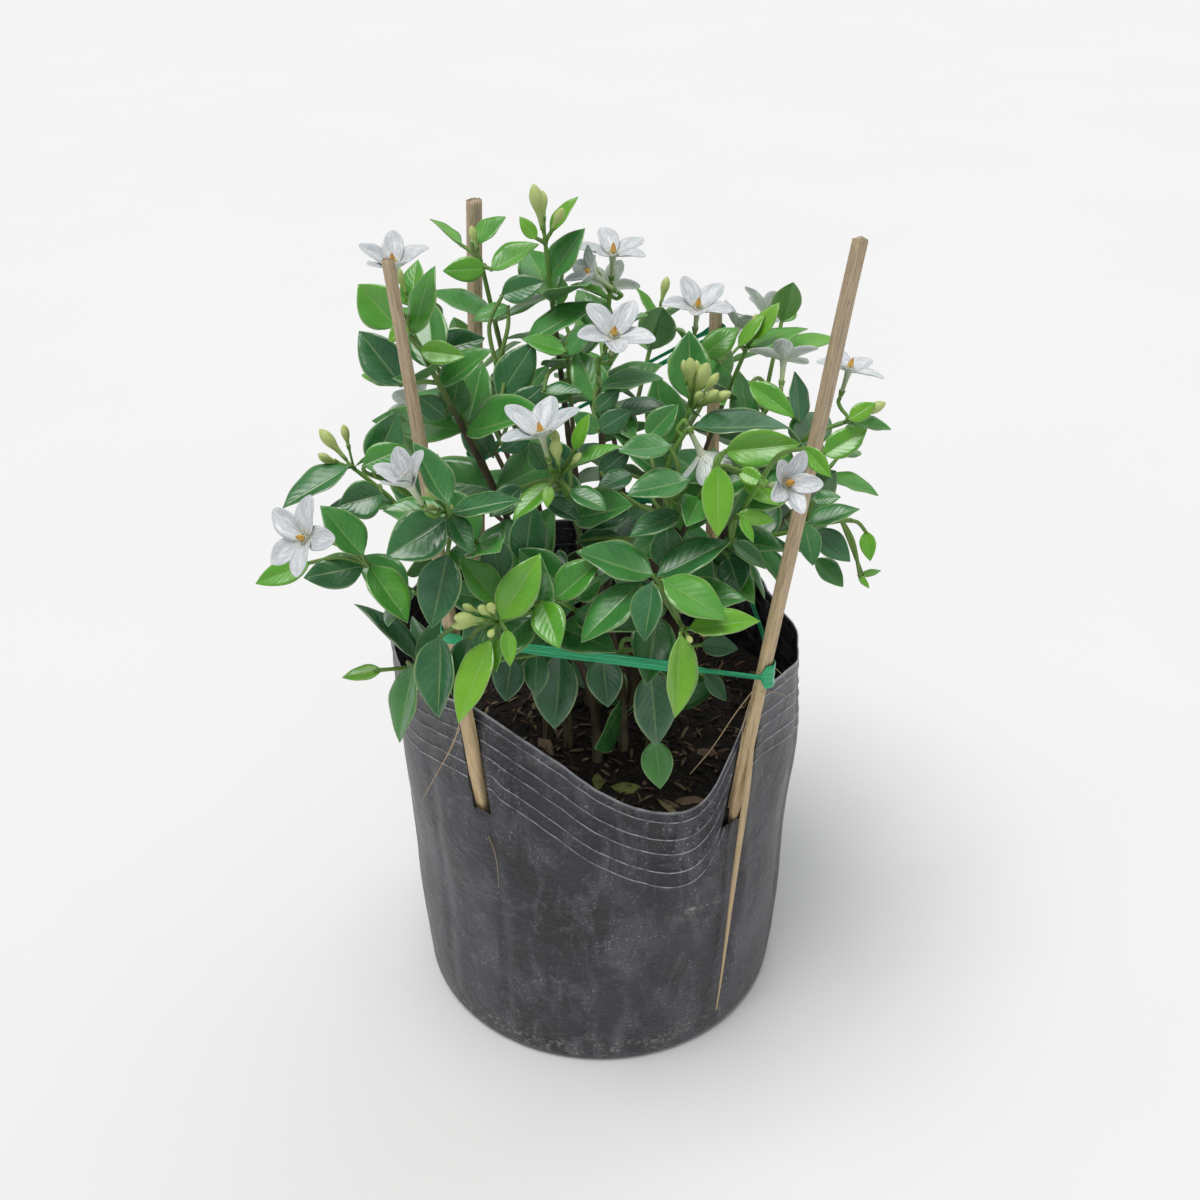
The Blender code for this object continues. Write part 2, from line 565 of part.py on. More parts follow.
def build_bag():
    """Build the open bag film, with its rim cut wavy and slots for the front stakes."""
    verts = []
    faces = []
    rows = []
    for inset, z in ROUNDED_EDGE:
        rows.append([ring_point(a, bag_radius(a, z) - inset, z) for a in BAG_ANGLES])
    for level in BAG_LEVELS:
        row = []
        for a in BAG_ANGLES:
            z = rim_values(a)[0] * level
            row.append(ring_point(a, bag_radius(a, z), z))
        rows.append(row)
    for row in rows:
        verts.extend(row)
    count = len(BAG_ANGLES)
    for i in range(len(rows) - 1):
        for j in range(count):
            k = (j + 1) % count
            faces.append((i * count + j, i * count + k, (i + 1) * count + k, (i + 1) * count + j))
    faces.append(tuple(reversed(range(count))))
    bag = add_object("grow_bag", verts, faces, BAG_FILM)
    shell = bag.modifiers.new("film", "SOLIDIFY")
    shell.thickness = FILM
    shell.offset = -1.0
    shell.use_even_offset = False
    apply_modifier(bag, shell)
    return bag


def soil_height(x, y):
    """Return the height of the soil, a little mounded round the stems."""
    mound = 0.006 * math.exp(-(x * x + (y + 0.01) ** 2) / 0.0018)
    crumbs = 0.0007 * math.sin(210 * x + 60 * y) + 0.0006 * math.sin(190 * y - 80 * x)
    return SOIL_LEVEL + mound + crumbs


def build_soil():
    """Build the soil that fills the bag, a small gap inside the film."""
    inset = FILM + GAP + 0.0002
    rings = []
    for edge, z in ((0.0060, FILM + GAP), (0.0, 0.0075)):
        rings.append([ring_point(a, bag_radius(a, z) - inset - edge, z) for a in BAG_ANGLES])
    for z in (0.050, 0.100, SOIL_LEVEL - 0.002):
        rings.append([ring_point(a, soil_radius(a, z) - inset, z) for a in BAG_ANGLES])
    for share in (0.92, 0.64, 0.34):
        ring = []
        for a in BAG_ANGLES:
            flat = ring_point(a, (soil_radius(a, SOIL_LEVEL) - inset) * share, 0.0)
            ring.append(Vector((flat.x, flat.y, soil_height(flat.x, flat.y))))
        rings.append(ring)
    verts, faces = loft(rings)
    return add_object("soil", verts, faces, POTTING_SOIL)


def soil_radius(degrees, z):
    """Return the bag's outside radius where the soil rests, on the bag's own flat facets."""
    height = rim_values(degrees)[0]
    levels = [ROUNDED_EDGE[1][1] / height] + list(BAG_LEVELS)
    here = z / height
    for low, high in zip(levels, levels[1:]):
        if here <= high:
            t = (here - low) / (high - low)
            return bag_radius(degrees, low * height) * (1 - t) + bag_radius(degrees, high * height) * t
    return bag_radius(degrees, height)


# Stakes: the outline of their bar
STAKE_OUTLINE = (
    (-0.50, -0.50), (0.50, -0.50), (0.50, 0.15), (0.28, 0.50), (-0.28, 0.50), (-0.50, 0.15),
)
# The top of each, a point lower down, the level of the foot, the girth at the foot and at the top
STAKES = {
    "stake_front_left": (seen_at(388, 260, -0.112), Vector((-0.0535, -0.0785, 0.157)), 0.055, 1.40, 0.74),
    "stake_front_right": (seen_at(860, 240, -0.115), Vector((0.0607, -0.0725, 0.147)), 0.050, 1.18, 0.98),
    "stake_back_left": (seen_at(474, 200, 0.050), Vector((-0.0640, 0.0500, 0.150)), 0.045, 1.05, 1.25),
    "stake_back_right": (seen_at(716, 308, 0.050), Vector((0.0580, 0.0520, 0.150)), 0.045, 1.10, 1.05),
}
# How far aside and how thick a stake is along its length
STAKE_WAVES = ((0.0, 0.98), (0.0004, 1.0), (-0.0003, 0.98), (0.0003, 1.02), (0.0, 1.0))
# Slots in the film, as seen from the camera: lowest and highest level, edges beside the stake's middle
SLOTS = {
    "stake_front_left": (0.1513, 0.2010, -0.0049, 0.0060),
    "stake_front_right": (0.1386, 0.1930, -0.0072, 0.0058),
}
SPLINTER_TOP_LEVEL = 0.196
SPLINTER_TIP = Vector((0.0583, -0.0780, 0.022))


def stake_at(name, z):
    """Return the middle of a stake at a height."""
    top, hold = STAKES[name][:2]
    return top + (hold - top) * ((z - top.z) / (hold.z - top.z))


def stake_girth(name, z):
    """Return how many times its plain size a stake is at a height."""
    top, _, low, at_foot, at_top = STAKES[name]
    return at_foot + (at_top - at_foot) * (z - low) / (top.z - low)


def stake_axes(name):
    """Return a stake's sideways and outward directions."""
    top, hold = STAKES[name][:2]
    along = (top - hold).normalized()
    flat = Vector((hold.x, hold.y, 0.0)).normalized()
    across = along.cross(flat).normalized()
    outward = across.cross(along).normalized()
    if outward.dot(flat) < 0:
        outward = -outward
    return across, outward


def stake_shape(name, margin):
    """Return a stake's bar, or the wider bar that cuts its hole."""
    top, hold, low = STAKES[name][:3]
    end = stake_at(name, low - margin * 2)
    start = top + (top - hold).normalized() * margin * 2
    across, outward = stake_axes(name)
    outline = [
        (a * STAKE_WIDTH + math.copysign(margin, a), b * STAKE_DEPTH + math.copysign(margin, b))
        for a, b in STAKE_OUTLINE
    ]
    path = []
    scales = []
    for i, (aside, swell) in enumerate(STAKE_WAVES):
        point = end.lerp(start, i / (len(STAKE_WAVES) - 1))
        path.append(point + across * aside)
        scales.append(stake_girth(name, point.z) * swell)
    return prism(path, across, outward, outline, scales)


def build_stake(name):
    """Build one split bamboo stake, the right front one with its long splinter."""
    verts, faces = stake_shape(name, 0.0)
    stake = add_object(name, verts, faces, BAMBOO)
    make_outward(stake)
    if name == "stake_front_right":
        across, outward = stake_axes(name)
        start = stake_at(name, SPLINTER_TOP_LEVEL) + across * 0.0012 + outward * 0.0008
        outline = [(a * 0.0030, b * 0.0018) for a, b in STAKE_OUTLINE]
        path = [start.lerp(SPLINTER_TIP, t) for t in (0.0, 0.35, 0.7, 1.0)]
        verts, faces = prism(path, across, outward, outline, (1.0, 0.95, 0.65, 0.22))
        splinter = add_object("splinter", verts, faces)
        make_outward(splinter)
        join_all(stake, [splinter])
    return stake


def slot_shape(name):
    """Return the block that cuts the slot where a front stake goes in, along the sight lines."""
    low, high, left, right = SLOTS[name]
    across, _ = stake_axes(name)
    rings = []
    for depth in (-0.018, 0.018):
        ring = []
        for z, aside in ((low, left), (low, right), (high, right), (high, left)):
            corner = stake_at(name, z) + across * aside
            ring.append(corner + (corner - EYE).normalized() * depth)
        rings.append(ring)
    return loft(rings)


def cut_slot(bag, name):
    """Cut the slot for one front stake."""
    verts, faces = slot_shape(name)
    tool = add_object(name + "_slot", verts, faces, None, cutters)
    make_outward(tool)
    cut(bag, tool)


def make_outward(obj):
    """Turn all faces of a closed mesh outward."""
    work = bmesh.new()
    work.from_mesh(obj.data)
    bmesh.ops.recalc_face_normals(work, faces=work.faces)
    work.to_mesh(obj.data)
    work.free()


# Tape
LOWER_TIE = (
    ("stake_front_left", 0.257), ("stake_front_right", 0.234),
    ("stake_back_right", 0.238), ("stake_back_left", 0.248),
)
UPPER_TIE = (("stake_back_left", 0.266), ("stake_back_right", 0.331))
# How tall the tape is along a stretch, by the share of the way from stake to stake
SPREAD_OUT = ((0.05, 0.8), (0.35, 1.0), (0.70, 0.9), (0.95, 0.7))
PINCHED = ((0.05, 0.8), (0.35, 1.0), (0.73, 0.95), (0.81, 0.40), (0.985, 0.42))
TWISTED = ((0.05, 0.5), (0.35, 0.35), (0.70, 0.45), (0.95, 0.5))


def tie_path(stops, stretches):
    """Return the middle line of a tape drawn tight round its stakes, and how tall it is there."""
    count = len(stops)
    middles = [stake_at(stake, z) for stake, z in stops]
    centre = sum(middles, Vector((0.0, 0.0, 0.0))) / count
    path = []
    heights = []
    for i, middle in enumerate(middles):
        before = middles[i - 1]
        after = middles[(i + 1) % count]
        arrive = Vector((middle.x - before.x, middle.y - before.y, 0.0)).normalized()
        leave = Vector((after.x - middle.x, after.y - middle.y, 0.0)).normalized()
        out_a = turn_away(arrive, middle - centre, count)
        out_b = turn_away(leave, middle - centre, count)
        steps = 5 if count == 2 else 3
        reach = tie_reach(*stops[i])
        for k in range(steps):
            out = swing(out_a, out_b, k / (steps - 1), middle - centre)
            path.append(middle + out * reach)
            heights.append(WIDE_WRAP if stops[i][0] == "stake_front_right" else 1.0)
        end = after + turn_away(leave, after - centre, count) * tie_reach(*stops[(i + 1) % count])
        start = path[-1]
        for share, tall in stretches[i]:
            path.append(start.lerp(end, share))
            heights.append(tall)
    return path, heights


def tie_reach(stake, z):
    """Return how far from a stake's middle the tape round it runs."""
    return stake_girth(stake, z) * math.hypot(STAKE_WIDTH, STAKE_DEPTH) / 2 + TAPE_THICKNESS / 2 + 0.0006


def build_tie(name, stops, stretches):
    """Build a closed loop of tape."""
    path, heights = tie_path(stops, stretches)
    verts = []
    faces = []
    total = len(path)
    for i in range(total):
        rise = UP * (TAPE_HEIGHT / 2 * heights[i])
        verts += [path[i] - rise, path[i] + rise]
        j = (i + 1) % total
        faces.append((2 * i, 2 * j, 2 * j + 1, 2 * i + 1))
    tie = add_object(name, verts, faces, GREEN_TAPE)
    ribbon = tie.modifiers.new("ribbon", "SOLIDIFY")
    ribbon.thickness = TAPE_THICKNESS
    ribbon.offset = 0.0
    apply_modifier(tie, ribbon)
    return tie


def turn_away(along, outward, count):
    """Return the level direction square to a span that points away from the middle."""
    side = Vector((along.y, -along.x, 0.0))
    if count == 2:
        return side
    return side if side.dot(outward) > 0 else -side


def swing(first, last, share, outward):
    """Return a level direction part of the way round from one to another, past the outside."""
    start = math.atan2(first.y, first.x)
    end = math.atan2(last.y, last.x)
    turn = (end - start + math.pi) % (2 * math.pi) - math.pi
    middle = start + turn / 2
    if math.cos(middle) * outward.x + math.sin(middle) * outward.y < 0:
        turn -= math.copysign(2 * math.pi, turn)
    angle = start + turn * share
    return Vector((math.cos(angle), math.sin(angle), 0.0))


# Keeping things clear of each other
class Room:
    """Holds what is already placed and answers whether a new shape would cross it."""

    def __init__(self):
        self.items = []

    def add(self, verts, faces, owner):
        """Remember a placed shape."""
        middle, reach = self.ball(verts)
        self.items.append((BVHTree.FromPolygons(verts, faces), middle, reach, owner))

    def ball(self, verts):
        """Return a ball that holds all the points."""
        middle = sum(verts, Vector((0.0, 0.0, 0.0))) / len(verts)
        return middle, max((v - middle).length for v in verts)

    def is_clear(self, verts, faces, skip=()):
        """Tell whether a shape crosses nothing that is placed, apart from skipped owners."""
        middle, reach = self.ball(verts)
        tree = BVHTree.FromPolygons(verts, faces)
        for other, centre, size, owner in self.items:
            if owner in skip or (centre - middle).length > size + reach:
                continue
            if tree.overlap(other):
                return False
        return True


def shape_of(obj):
    """Return an object's points and faces."""
    verts = [v.co.copy() for v in obj.data.vertices]
    faces = [tuple(p.vertices) for p in obj.data.polygons]
    return verts, faces


# Blades: leaves and petals
LEAF_PROFILE = ((0.26, 0.93), (0.64, 0.88))
YOUNG_PROFILE = ((0.42, 0.92),)
PETAL_PROFILE = ((0.38, 0.88), (0.74, 0.82))


class Blade:
    """A leaf or petal: where it is rooted, how it lies and how it bends."""

    def __init__(self, root, along, normal, length, width, profile):
        self.root = root
        self.along = along.normalized()
        self.normal = (normal - self.along * normal.dot(self.along)).normalized()
        self.across = self.along.cross(self.normal)
        self.length = length
        self.width = width
        self.profile = profile
        self.droop = 0.0
        self.fold = 0.0
        self.skew = 0.0

    def point(self, t, side):
        """Return the point at a share of the length and a sideways distance."""
        lift = abs(side) * self.fold - self.droop * self.length * t * t
        shift = side + self.skew * self.width * t
        return self.root + self.along * (self.length * t) + self.normal * lift + self.across * shift

    def shape(self, thickness, start=0.0, margin=0.0):
        """Return the thin closed blade, or the thicker one used to test for room."""
        up = self.normal * (thickness / 2 + margin)
        verts = [self.point(start, 0.0)]
        columns = (-1.0, 0.0, 1.0) if self.fold else (-1.0, 1.0)
        for t, share in self.profile:
            half = self.width / 2 * share + margin
            row = [self.point(t, half * column) for column in columns]
            verts.extend([p + up for p in row] + [p - up for p in row])
        verts.append(self.point(1.0, 0.0) + self.along * margin)
        return verts, blade_faces(len(self.profile), len(columns))


def blade_faces(sections, columns):
    """Return the triangles of a blade, split alike on both faces."""
    faces = []
    row = 2 * columns
    tip = 1 + row * sections
    last = row * (sections - 1)
    for start in (1, 1 + columns):
        for j in range(columns - 1):
            a = start + j
            faces.append((0, a + 1, a))
            for i in range(sections - 1):
                b = a + row * i
                if 2 * j < columns - 1:
                    faces += [(b, b + 1, b + row), (b + 1, b + row + 1, b + row)]
                else:
                    faces += [(b, b + 1, b + row + 1), (b, b + row + 1, b + row)]
            faces.append((a + last, a + last + 1, tip))
    for a in (1, columns):
        faces.append((0, a, a + columns))
        for i in range(sections - 1):
            b = a + row * i
            faces += [(b, b + row, b + row + columns), (b, b + row + columns, b + columns)]
        faces.append((a + last, tip, a + last + columns))
    return faces


# Blooms
def petal_roll(facing, degrees):
    """Return the turn of a bloom's first petal, given from the way that looks up in the picture."""
    first, second = side_axes(facing)
    return math.atan2(-DOWN.dot(second), -DOWN.dot(first)) + math.radians(degrees)


def bloom_petals(middle, facing, openness, size, roll):
    """Return the five petals of a bloom as blades."""
    first, second = side_axes(facing)
    petals = []
    for k in range(5):
        turn = roll + 2 * math.pi * k / 5
        lift = math.radians(8 + 55 * (1 - openness) + PETAL_SWAY * math.sin(2.6 * k + 4 * roll))
        out = first * math.cos(turn) + second * math.sin(turn)
        along = out * math.cos(lift) + facing * math.sin(lift)
        normal = facing * math.cos(lift) - out * math.sin(lift)
        root = middle - facing * 0.0016 + out * 0.0006
        petal = Blade(root, along, normal, PETAL_LENGTH * size, PETAL_WIDTH * size, PETAL_PROFILE)
        petal.droop = 0.10
        petal.skew = 0.16
        petals.append(petal)
    return petals


def bloom_base(middle, facing):
    """Return where the tube of a bloom starts."""
    return middle - facing * TUBE_LENGTH


def clear_middle(middle, facing, openness, size, roll, room):
    """Return the middle of a bloom, moved forward until the whole bloom has room."""
    for step in range(14):
        moved = middle + facing * 0.0025 * step
        shapes = [tube([bloom_base(moved, facing), moved], (0.0018, 0.0028), 6)]
        for petal in bloom_petals(moved, facing, openness, size, roll):
            shapes.append(petal.shape(PETAL_THICKNESS, margin=0.0006))
        if all(room.is_clear(verts, faces) for verts, faces in shapes):
            return moved
    raise RuntimeError("no room for a bloom")


def build_bloom(name, middle, facing, openness, size, roll, room):
    """Build a bloom of five petals on its tube, and its stamen cone."""
    base = bloom_base(middle, facing)
    throat = middle - facing * 0.0006
    bloom = rod(name, [base, throat], (0.0010, 0.0020), 1, PETAL_WHITE)
    room.add(*tube([base, throat], (0.0010, 0.0020), 6), name)
    petals = []
    for petal in bloom_petals(middle, facing, openness, size, roll):
        verts, faces = petal.shape(PETAL_THICKNESS)
        piece = add_object("petal", verts, faces)
        make_outward(piece)
        petals.append(piece)
        room.add(verts, faces, name)
    join_all(bloom, petals)
    foot = throat + facing * GAP
    cone(name.replace("bloom", "stamens"), foot, facing, 0.0012, 0.0004, 0.0045, 5, STAMEN_ORANGE)
    room.add(*tube([foot, foot + facing * 0.0045], (0.0013, 0.0005), 5), name)


# Stems
MAIN_STEPS = 6
SIDE_STEPS = 4


def bend(a, b, c, d, steps):
    """Return points along a smooth curve from a to d, led by b and c."""
    points = []
    for i in range(steps + 1):
        t = i / steps
        s = 1 - t
        points.append(a * s ** 3 + b * (3 * s * s * t) + c * (3 * s * t * t) + d * t ** 3)
    return points


class Shoot:
    """A stem or side shoot: its path from the root end to the tip, and its thickness."""

    def __init__(self, key, path, radii, sides, owner):
        self.key = key
        self.path = path
        self.radii = radii
        self.sides = sides
        self.owner = owner
        self.lengths = [0.0]
        for a, b in zip(path, path[1:]):
            self.lengths.append(self.lengths[-1] + (b - a).length)

    def at(self, distance):
        """Return the point, direction and thickness at a distance back from the tip."""
        wanted = max(self.lengths[-1] - distance, 0.0)
        for i in range(len(self.path) - 1):
            if wanted <= self.lengths[i + 1] or i == len(self.path) - 2:
                step = self.lengths[i + 1] - self.lengths[i]
                t = (wanted - self.lengths[i]) / step
                point = self.path[i].lerp(self.path[i + 1], t)
                radius = self.radii[i] * (1 - t) + self.radii[i + 1] * t
                return point, (self.path[i + 1] - self.path[i]).normalized(), radius
        return self.path[0], UP, self.radii[0]

    def shape(self, margin=0.0, skip=0):
        """Return the tube, or a thicker one used to test for room."""
        radii = [r + margin for r in self.radii]
        return tube(self.path[skip:], radii[skip:], self.sides)


def tip_direction(key, start, tip):
    """Return the way a shoot points at its end."""
    if key in TIP_LEANS:
        return Vector(TIP_LEANS[key]).normalized()
    flat = Vector((tip.x - start.x, tip.y - start.y, 0.0))
    rise = max(tip.z - start.z, 0.02)
    return (flat * 0.9 + UP * rise * 0.75).normalized()


def lead_in(key, tip, toward, reach):
    """Return the last guide point of a shoot, which leads it past its joint."""
    if key in JOINTS:
        return JOINTS[key] + (JOINTS[key] - tip) * 0.35
    return tip - toward * reach * 0.32


def place_roots():
    """Spread the stems over the soil, each towards the side where it leads."""
    heart = Vector((0.0, -0.012, 0.0))
    roots = {}
    for name, shoots in STEMS:
        tip = TIPS[shoots[0]]
        flat = Vector((tip.x, tip.y, 0.0)) - heart
        angle = math.atan2(flat.y, flat.x)
        for k in range(80):
            turn = angle + ((k + 1) // 2) * 0.22 * (-1) ** k
            reach = 0.010 + 0.17 * flat.length + 0.0025 * (k // 6)
            spot = heart + Vector((math.cos(turn), math.sin(turn), 0.0)) * reach
            if all((spot - other).length > 0.0105 for other in roots.values()):
                break
        roots[name] = spot
    return roots


def grow_stem(name, key, root, rng, room):
    """Find a clear path for a main stem from its hole to its tip."""
    foot = root + UP * (SOIL_LEVEL - 0.030)
    start = root + UP * (SOIL_LEVEL + 0.014)
    tip = TIPS[key]
    toward = tip_direction(key, start, tip)
    reach = (tip - start).length
    for attempt in range(200):
        shake = 0.0006 * attempt
        lead = start + UP * reach * 0.33 + Vector(rng.normal(size=3)) * shake
        follow = lead_in(key, tip, toward, reach) + Vector(rng.normal(size=3)) * shake
        curve = bend(start, lead, follow, tip, MAIN_STEPS)
        path = [foot] + curve
        radii = [0.0031 - 0.0022 * (i / (len(path) - 1)) ** 0.5 for i in range(len(path))]
        shoot = Shoot(key, path, radii, 6, name)
        verts, faces = shoot.shape(margin=0.0007, skip=1)
        if room.is_clear(verts, faces):
            return shoot
    raise RuntimeError("no clear path for " + name)


def grow_side_shoot(name, key, main, rng, room):
    """Find a clear path for a side shoot off its main stem."""
    tip = TIPS[key]
    for attempt in range(240):
        share = (0.42, 0.52, 0.32, 0.60, 0.24, 0.68)[attempt % 6]
        start, leading, girth = main.at(main.lengths[-1] * (1 - share))
        if start.z < SOIL_LEVEL + 0.018 or start.z > max(tip.z + 0.02, SOIL_LEVEL + 0.05):
            continue
        toward = tip_direction(key, start, tip)
        reach = (tip - start).length
        aim = (tip - start).normalized()
        shake = 0.0005 * attempt
        lead = start + (leading * 0.6 + aim * 0.6) * reach * 0.33 + Vector(rng.normal(size=3)) * shake
        follow = lead_in(key, tip, toward, reach) + Vector(rng.normal(size=3)) * shake
        path = bend(start, lead, follow, tip, SIDE_STEPS)
        thick = min(0.0014, girth * 0.72)
        radii = [thick - (thick - 0.0009) * i / SIDE_STEPS for i in range(SIDE_STEPS + 1)]
        shoot = Shoot(key, path, radii, 4, name)
        verts, faces = shoot.shape(margin=0.0006)
        if room.is_clear(verts, faces, skip=(name,)):
            return shoot
    return None


def add_stalk(shoot, middle, facing, rng, room):
    """Join a bloom's tube to its shoot with a thin stalk that stops a hair short."""
    base = bloom_base(middle, facing)
    tip, direction, girth = shoot.at(0.0012)
    for attempt in range(60):
        shake = 0.0004 * attempt
        reach = (base - tip).length
        lead = tip + direction * reach * 0.35 + Vector(rng.normal(size=3)) * shake
        follow = base - facing * (reach * 0.35 + 0.001)
        path = bend(tip, lead, follow, base - facing * 0.0025, 3)
        path.append(base - facing * 0.0005)
        radii = (0.0008, 0.0008, 0.0009, 0.0009, 0.0010)
        wide, wide_faces = tube(path[:4], (0.0012, 0.0013, 0.0013, 0.0013), 4)
        if room.is_clear(wide, wide_faces, skip=(shoot.owner,)):
            room.add(*tube(path, radii, 4), shoot.owner)
            return path, radii
    return None


def bud_line(start, direction, stalk, length):
    """Return the path and radii of a club-shaped bud on its short stalk."""
    path = [
        start, start + direction * stalk, start + direction * (stalk + length * 0.66),
        start + direction * (stalk + length),
    ]
    return path, (0.0006, 0.0007, length * BUD_GIRTH, 0.0004)


def add_buds(shoot, count, length, rng, room):
    """Set a loose cluster of buds round the end of a shoot."""
    made = []
    tip, direction, _ = shoot.at(0.0010)
    first, second = side_axes(direction)
    for k in range(count):
        for attempt in range(30):
            turn = 2.4 * k + rng.uniform(-0.5, 0.5) + attempt * 0.5
            lean = rng.uniform(0.05, 0.25) if k == 0 else rng.uniform(0.30, 0.85)
            out = first * math.cos(turn) + second * math.sin(turn)
            aim = (direction * math.cos(lean) + out * math.sin(lean) + UP * 0.25).normalized()
            size = length * (1.3 if k == 0 else rng.uniform(0.70, 1.1))
            stalk = rng.uniform(0.003, 0.007) + 0.0015 * (k % 3)
            path, radii = bud_line(tip, aim, stalk, size)
            wide = bud_line(path[1], aim, 0.0005, size * 1.15)
            slim = tube(path, [radius + 0.0004 for radius in radii], 4)
            if room.is_clear(*tube(*wide, 4)) and room.is_clear(*slim, skip=(shoot.owner,)):
                room.add(*tube(path, radii, 4), shoot.owner)
                made.append((path, radii))
                break
    return made


# Leaves
TWIG_RADII = (0.0010, 0.0009, 0.0008)
# Pairs of leaves from the tip of a shoot back: size, spread from the shoot, droop, way to the next
PAIRS = (
    (0.62, 0.75, 0.00, 0.012), (0.88, 0.95, 0.05, 0.019), (1.00, 1.10, 0.12, 0.024), (1.00, 1.20, 0.22, 0.027),
)
# First pair, its way back from the tip and how loosely the pairs follow: where some are given, elsewhere
PAIRS_BEHIND_SEEN = (1, 0.026, 1.75)
PAIRS_ALONE = (0, 0.003, 1.28)
SHADED_SKIP = 0.85
SMALL_LEAF = 0.94


def leaf_blade(shoot, distance, roll, spread, size, droop, rng):
    """Return one leaf as a blade rooted in its shoot."""
    point, direction, girth = shoot.at(distance)
    first, second = side_axes(direction)
    out = first * math.cos(roll) + second * math.sin(roll)
    along = out * math.sin(spread) + direction * math.cos(spread) - UP * droop
    along.normalize()
    outward = (point - BUSH_HEART).normalized()
    face = UP * 0.75 + outward * 0.65 + Vector(rng.normal(size=3)) * 0.16
    if face.cross(along).length < 0.2:
        face = direction + outward
    root = point + along * girth * 0.2
    length = LEAF_LENGTH * size
    profile = YOUNG_PROFILE if size < SMALL_LEAF else LEAF_PROFILE
    leaf = Blade(root, along, face, length, length * LEAF_ASPECT, profile)
    leaf.droop = rng.uniform(0.04, 0.22)
    return leaf


def seen_leaf(row, shift, shrink, rng):
    """Return a leaf that stands out in the photograph as a blade with the shape it shows."""
    root_x, root_y, tip_x, tip_y, depth, lean, share, youth = row
    root = seen_at(root_x, root_y, depth + shift)
    along = (seen_beside(root, tip_x, tip_y, lean) - root) * shrink
    view = EYE - root
    view = (view - along * view.dot(along) / along.dot(along)).normalized()
    side = along.cross(view).normalized()
    if side.z < 0:
        side.negate()
    shown = share / math.hypot(1.0, lean)
    aspect = max(shown, YOUNG_ASPECT if youth > 0.65 else LEAF_ASPECT)
    turn = math.acos(shown / aspect)
    face = view * math.cos(turn) + side * math.sin(turn) + Vector(rng.normal(size=3)) * 0.05
    leaf = Blade(root, along, face, along.length, along.length * aspect, LEAF_PROFILE)
    leaf.droop = rng.uniform(0.03, 0.12)
    return leaf


def leaf_twig(shoot, leaf, room):
    """Return the path of a twig from a shoot to a leaf, an empty one if they already meet."""
    spots = []
    distance = 0.0015
    while distance < shoot.lengths[-1]:
        point, direction, _ = shoot.at(distance)
        spots.append(((point - leaf.root).length, distance, point, direction))
        distance += 0.003
    spots.sort(key=lambda spot: spot[0] + abs(spot[1] - 0.004) * 0.05)
    if spots[0][0] < 0.004:
        leaf.root = spots[0][2]
        return ()
    for reach, _, point, direction in spots[:14]:
        lead = point + direction * reach * 0.35
        follow = leaf.root - leaf.along * reach * 0.30
        path = bend(point, lead, follow, leaf.root + leaf.along * 0.0012, len(TWIG_RADII) - 1)
        wide = tube(path, [radius + 0.0004 for radius in TWIG_RADII], 3)
        if room.is_clear(*wide, skip=(shoot.owner,)):
            return path
    return None


def add_seen_leaves(shoot, rows, rng, room):
    """Set the leaves that stand out in the photograph, with twigs to carry them."""
    leaves = []
    twigs = []
    for row in rows:
        for attempt in range(20):
            shift = ((attempt + 1) // 2) * 0.003 * (-1) ** attempt
            leaf = seen_leaf(row, shift, 1 - 0.014 * attempt, rng)
            path = leaf_twig(shoot, leaf, room)
            if path is None:
                continue
            outer = leaf.shape(LEAF_THICKNESS, start=0.16, margin=LEAF_CLEARANCE)
            whole = leaf.shape(LEAF_THICKNESS, margin=LEAF_CLEARANCE)
            if room.is_clear(*outer) and room.is_clear(*whole, skip=(shoot.owner,)):
                leaves.append((leaf, row))
                room.add(*leaf.shape(LEAF_THICKNESS), shoot.owner)
                if path:
                    twigs.append(path)
                    room.add(*tube(path, TWIG_RADII, 3), shoot.owner)
                break
        else:
            print("left out leaf", shoot.key, row)
    return leaves, twigs


def add_leaves(shoot, stop, rng, room):
    """Set pairs of leaves back along a shoot, each turned until it has room."""
    made = []
    pair, distance, spacing = PAIRS_BEHIND_SEEN if shoot.key in LEAVES else PAIRS_ALONE
    roll = rng.uniform(0, math.pi)
    end = shoot.lengths[-1] - stop
    while distance < end:
        point, direction, _ = shoot.at(distance)
        if point.z < SOIL_LEVEL + 0.028:
            break
        shaded = (point - BUSH_HEART).length < BUSH_SHADE
        share, spread, droop, way = PAIRS[min(pair, len(PAIRS) - 1)]
        size = share * rng.uniform(0.88, 1.12)
        for side in (0.0, math.pi):
            if shaded and rng.uniform() < SHADED_SKIP:
                continue
            for attempt in range(14):
                turn = roll + side + ((attempt + 1) // 2) * 0.24 * (-1) ** attempt
                open_up = spread + rng.uniform(-0.18, 0.18) * (1 + attempt / 8)
                scale = size * (1.0 - 0.022 * attempt)
                leaf = leaf_blade(shoot, distance, turn, open_up, scale, droop, rng)
                outer = leaf.shape(LEAF_THICKNESS, start=0.13, margin=LEAF_CLEARANCE)
                whole = leaf.shape(LEAF_THICKNESS, margin=LEAF_CLEARANCE)
                if room.is_clear(*outer) and room.is_clear(*whole, skip=(shoot.owner,)):
                    verts, faces = leaf.shape(LEAF_THICKNESS)
                    room.add(verts, faces, shoot.owner)
                    made.append((leaf, pair))
                    break
        roll += math.pi / 2 + rng.uniform(-0.25, 0.25)
        distance += way * rng.uniform(0.9, 1.15) * spacing
        pair += 1
    return made


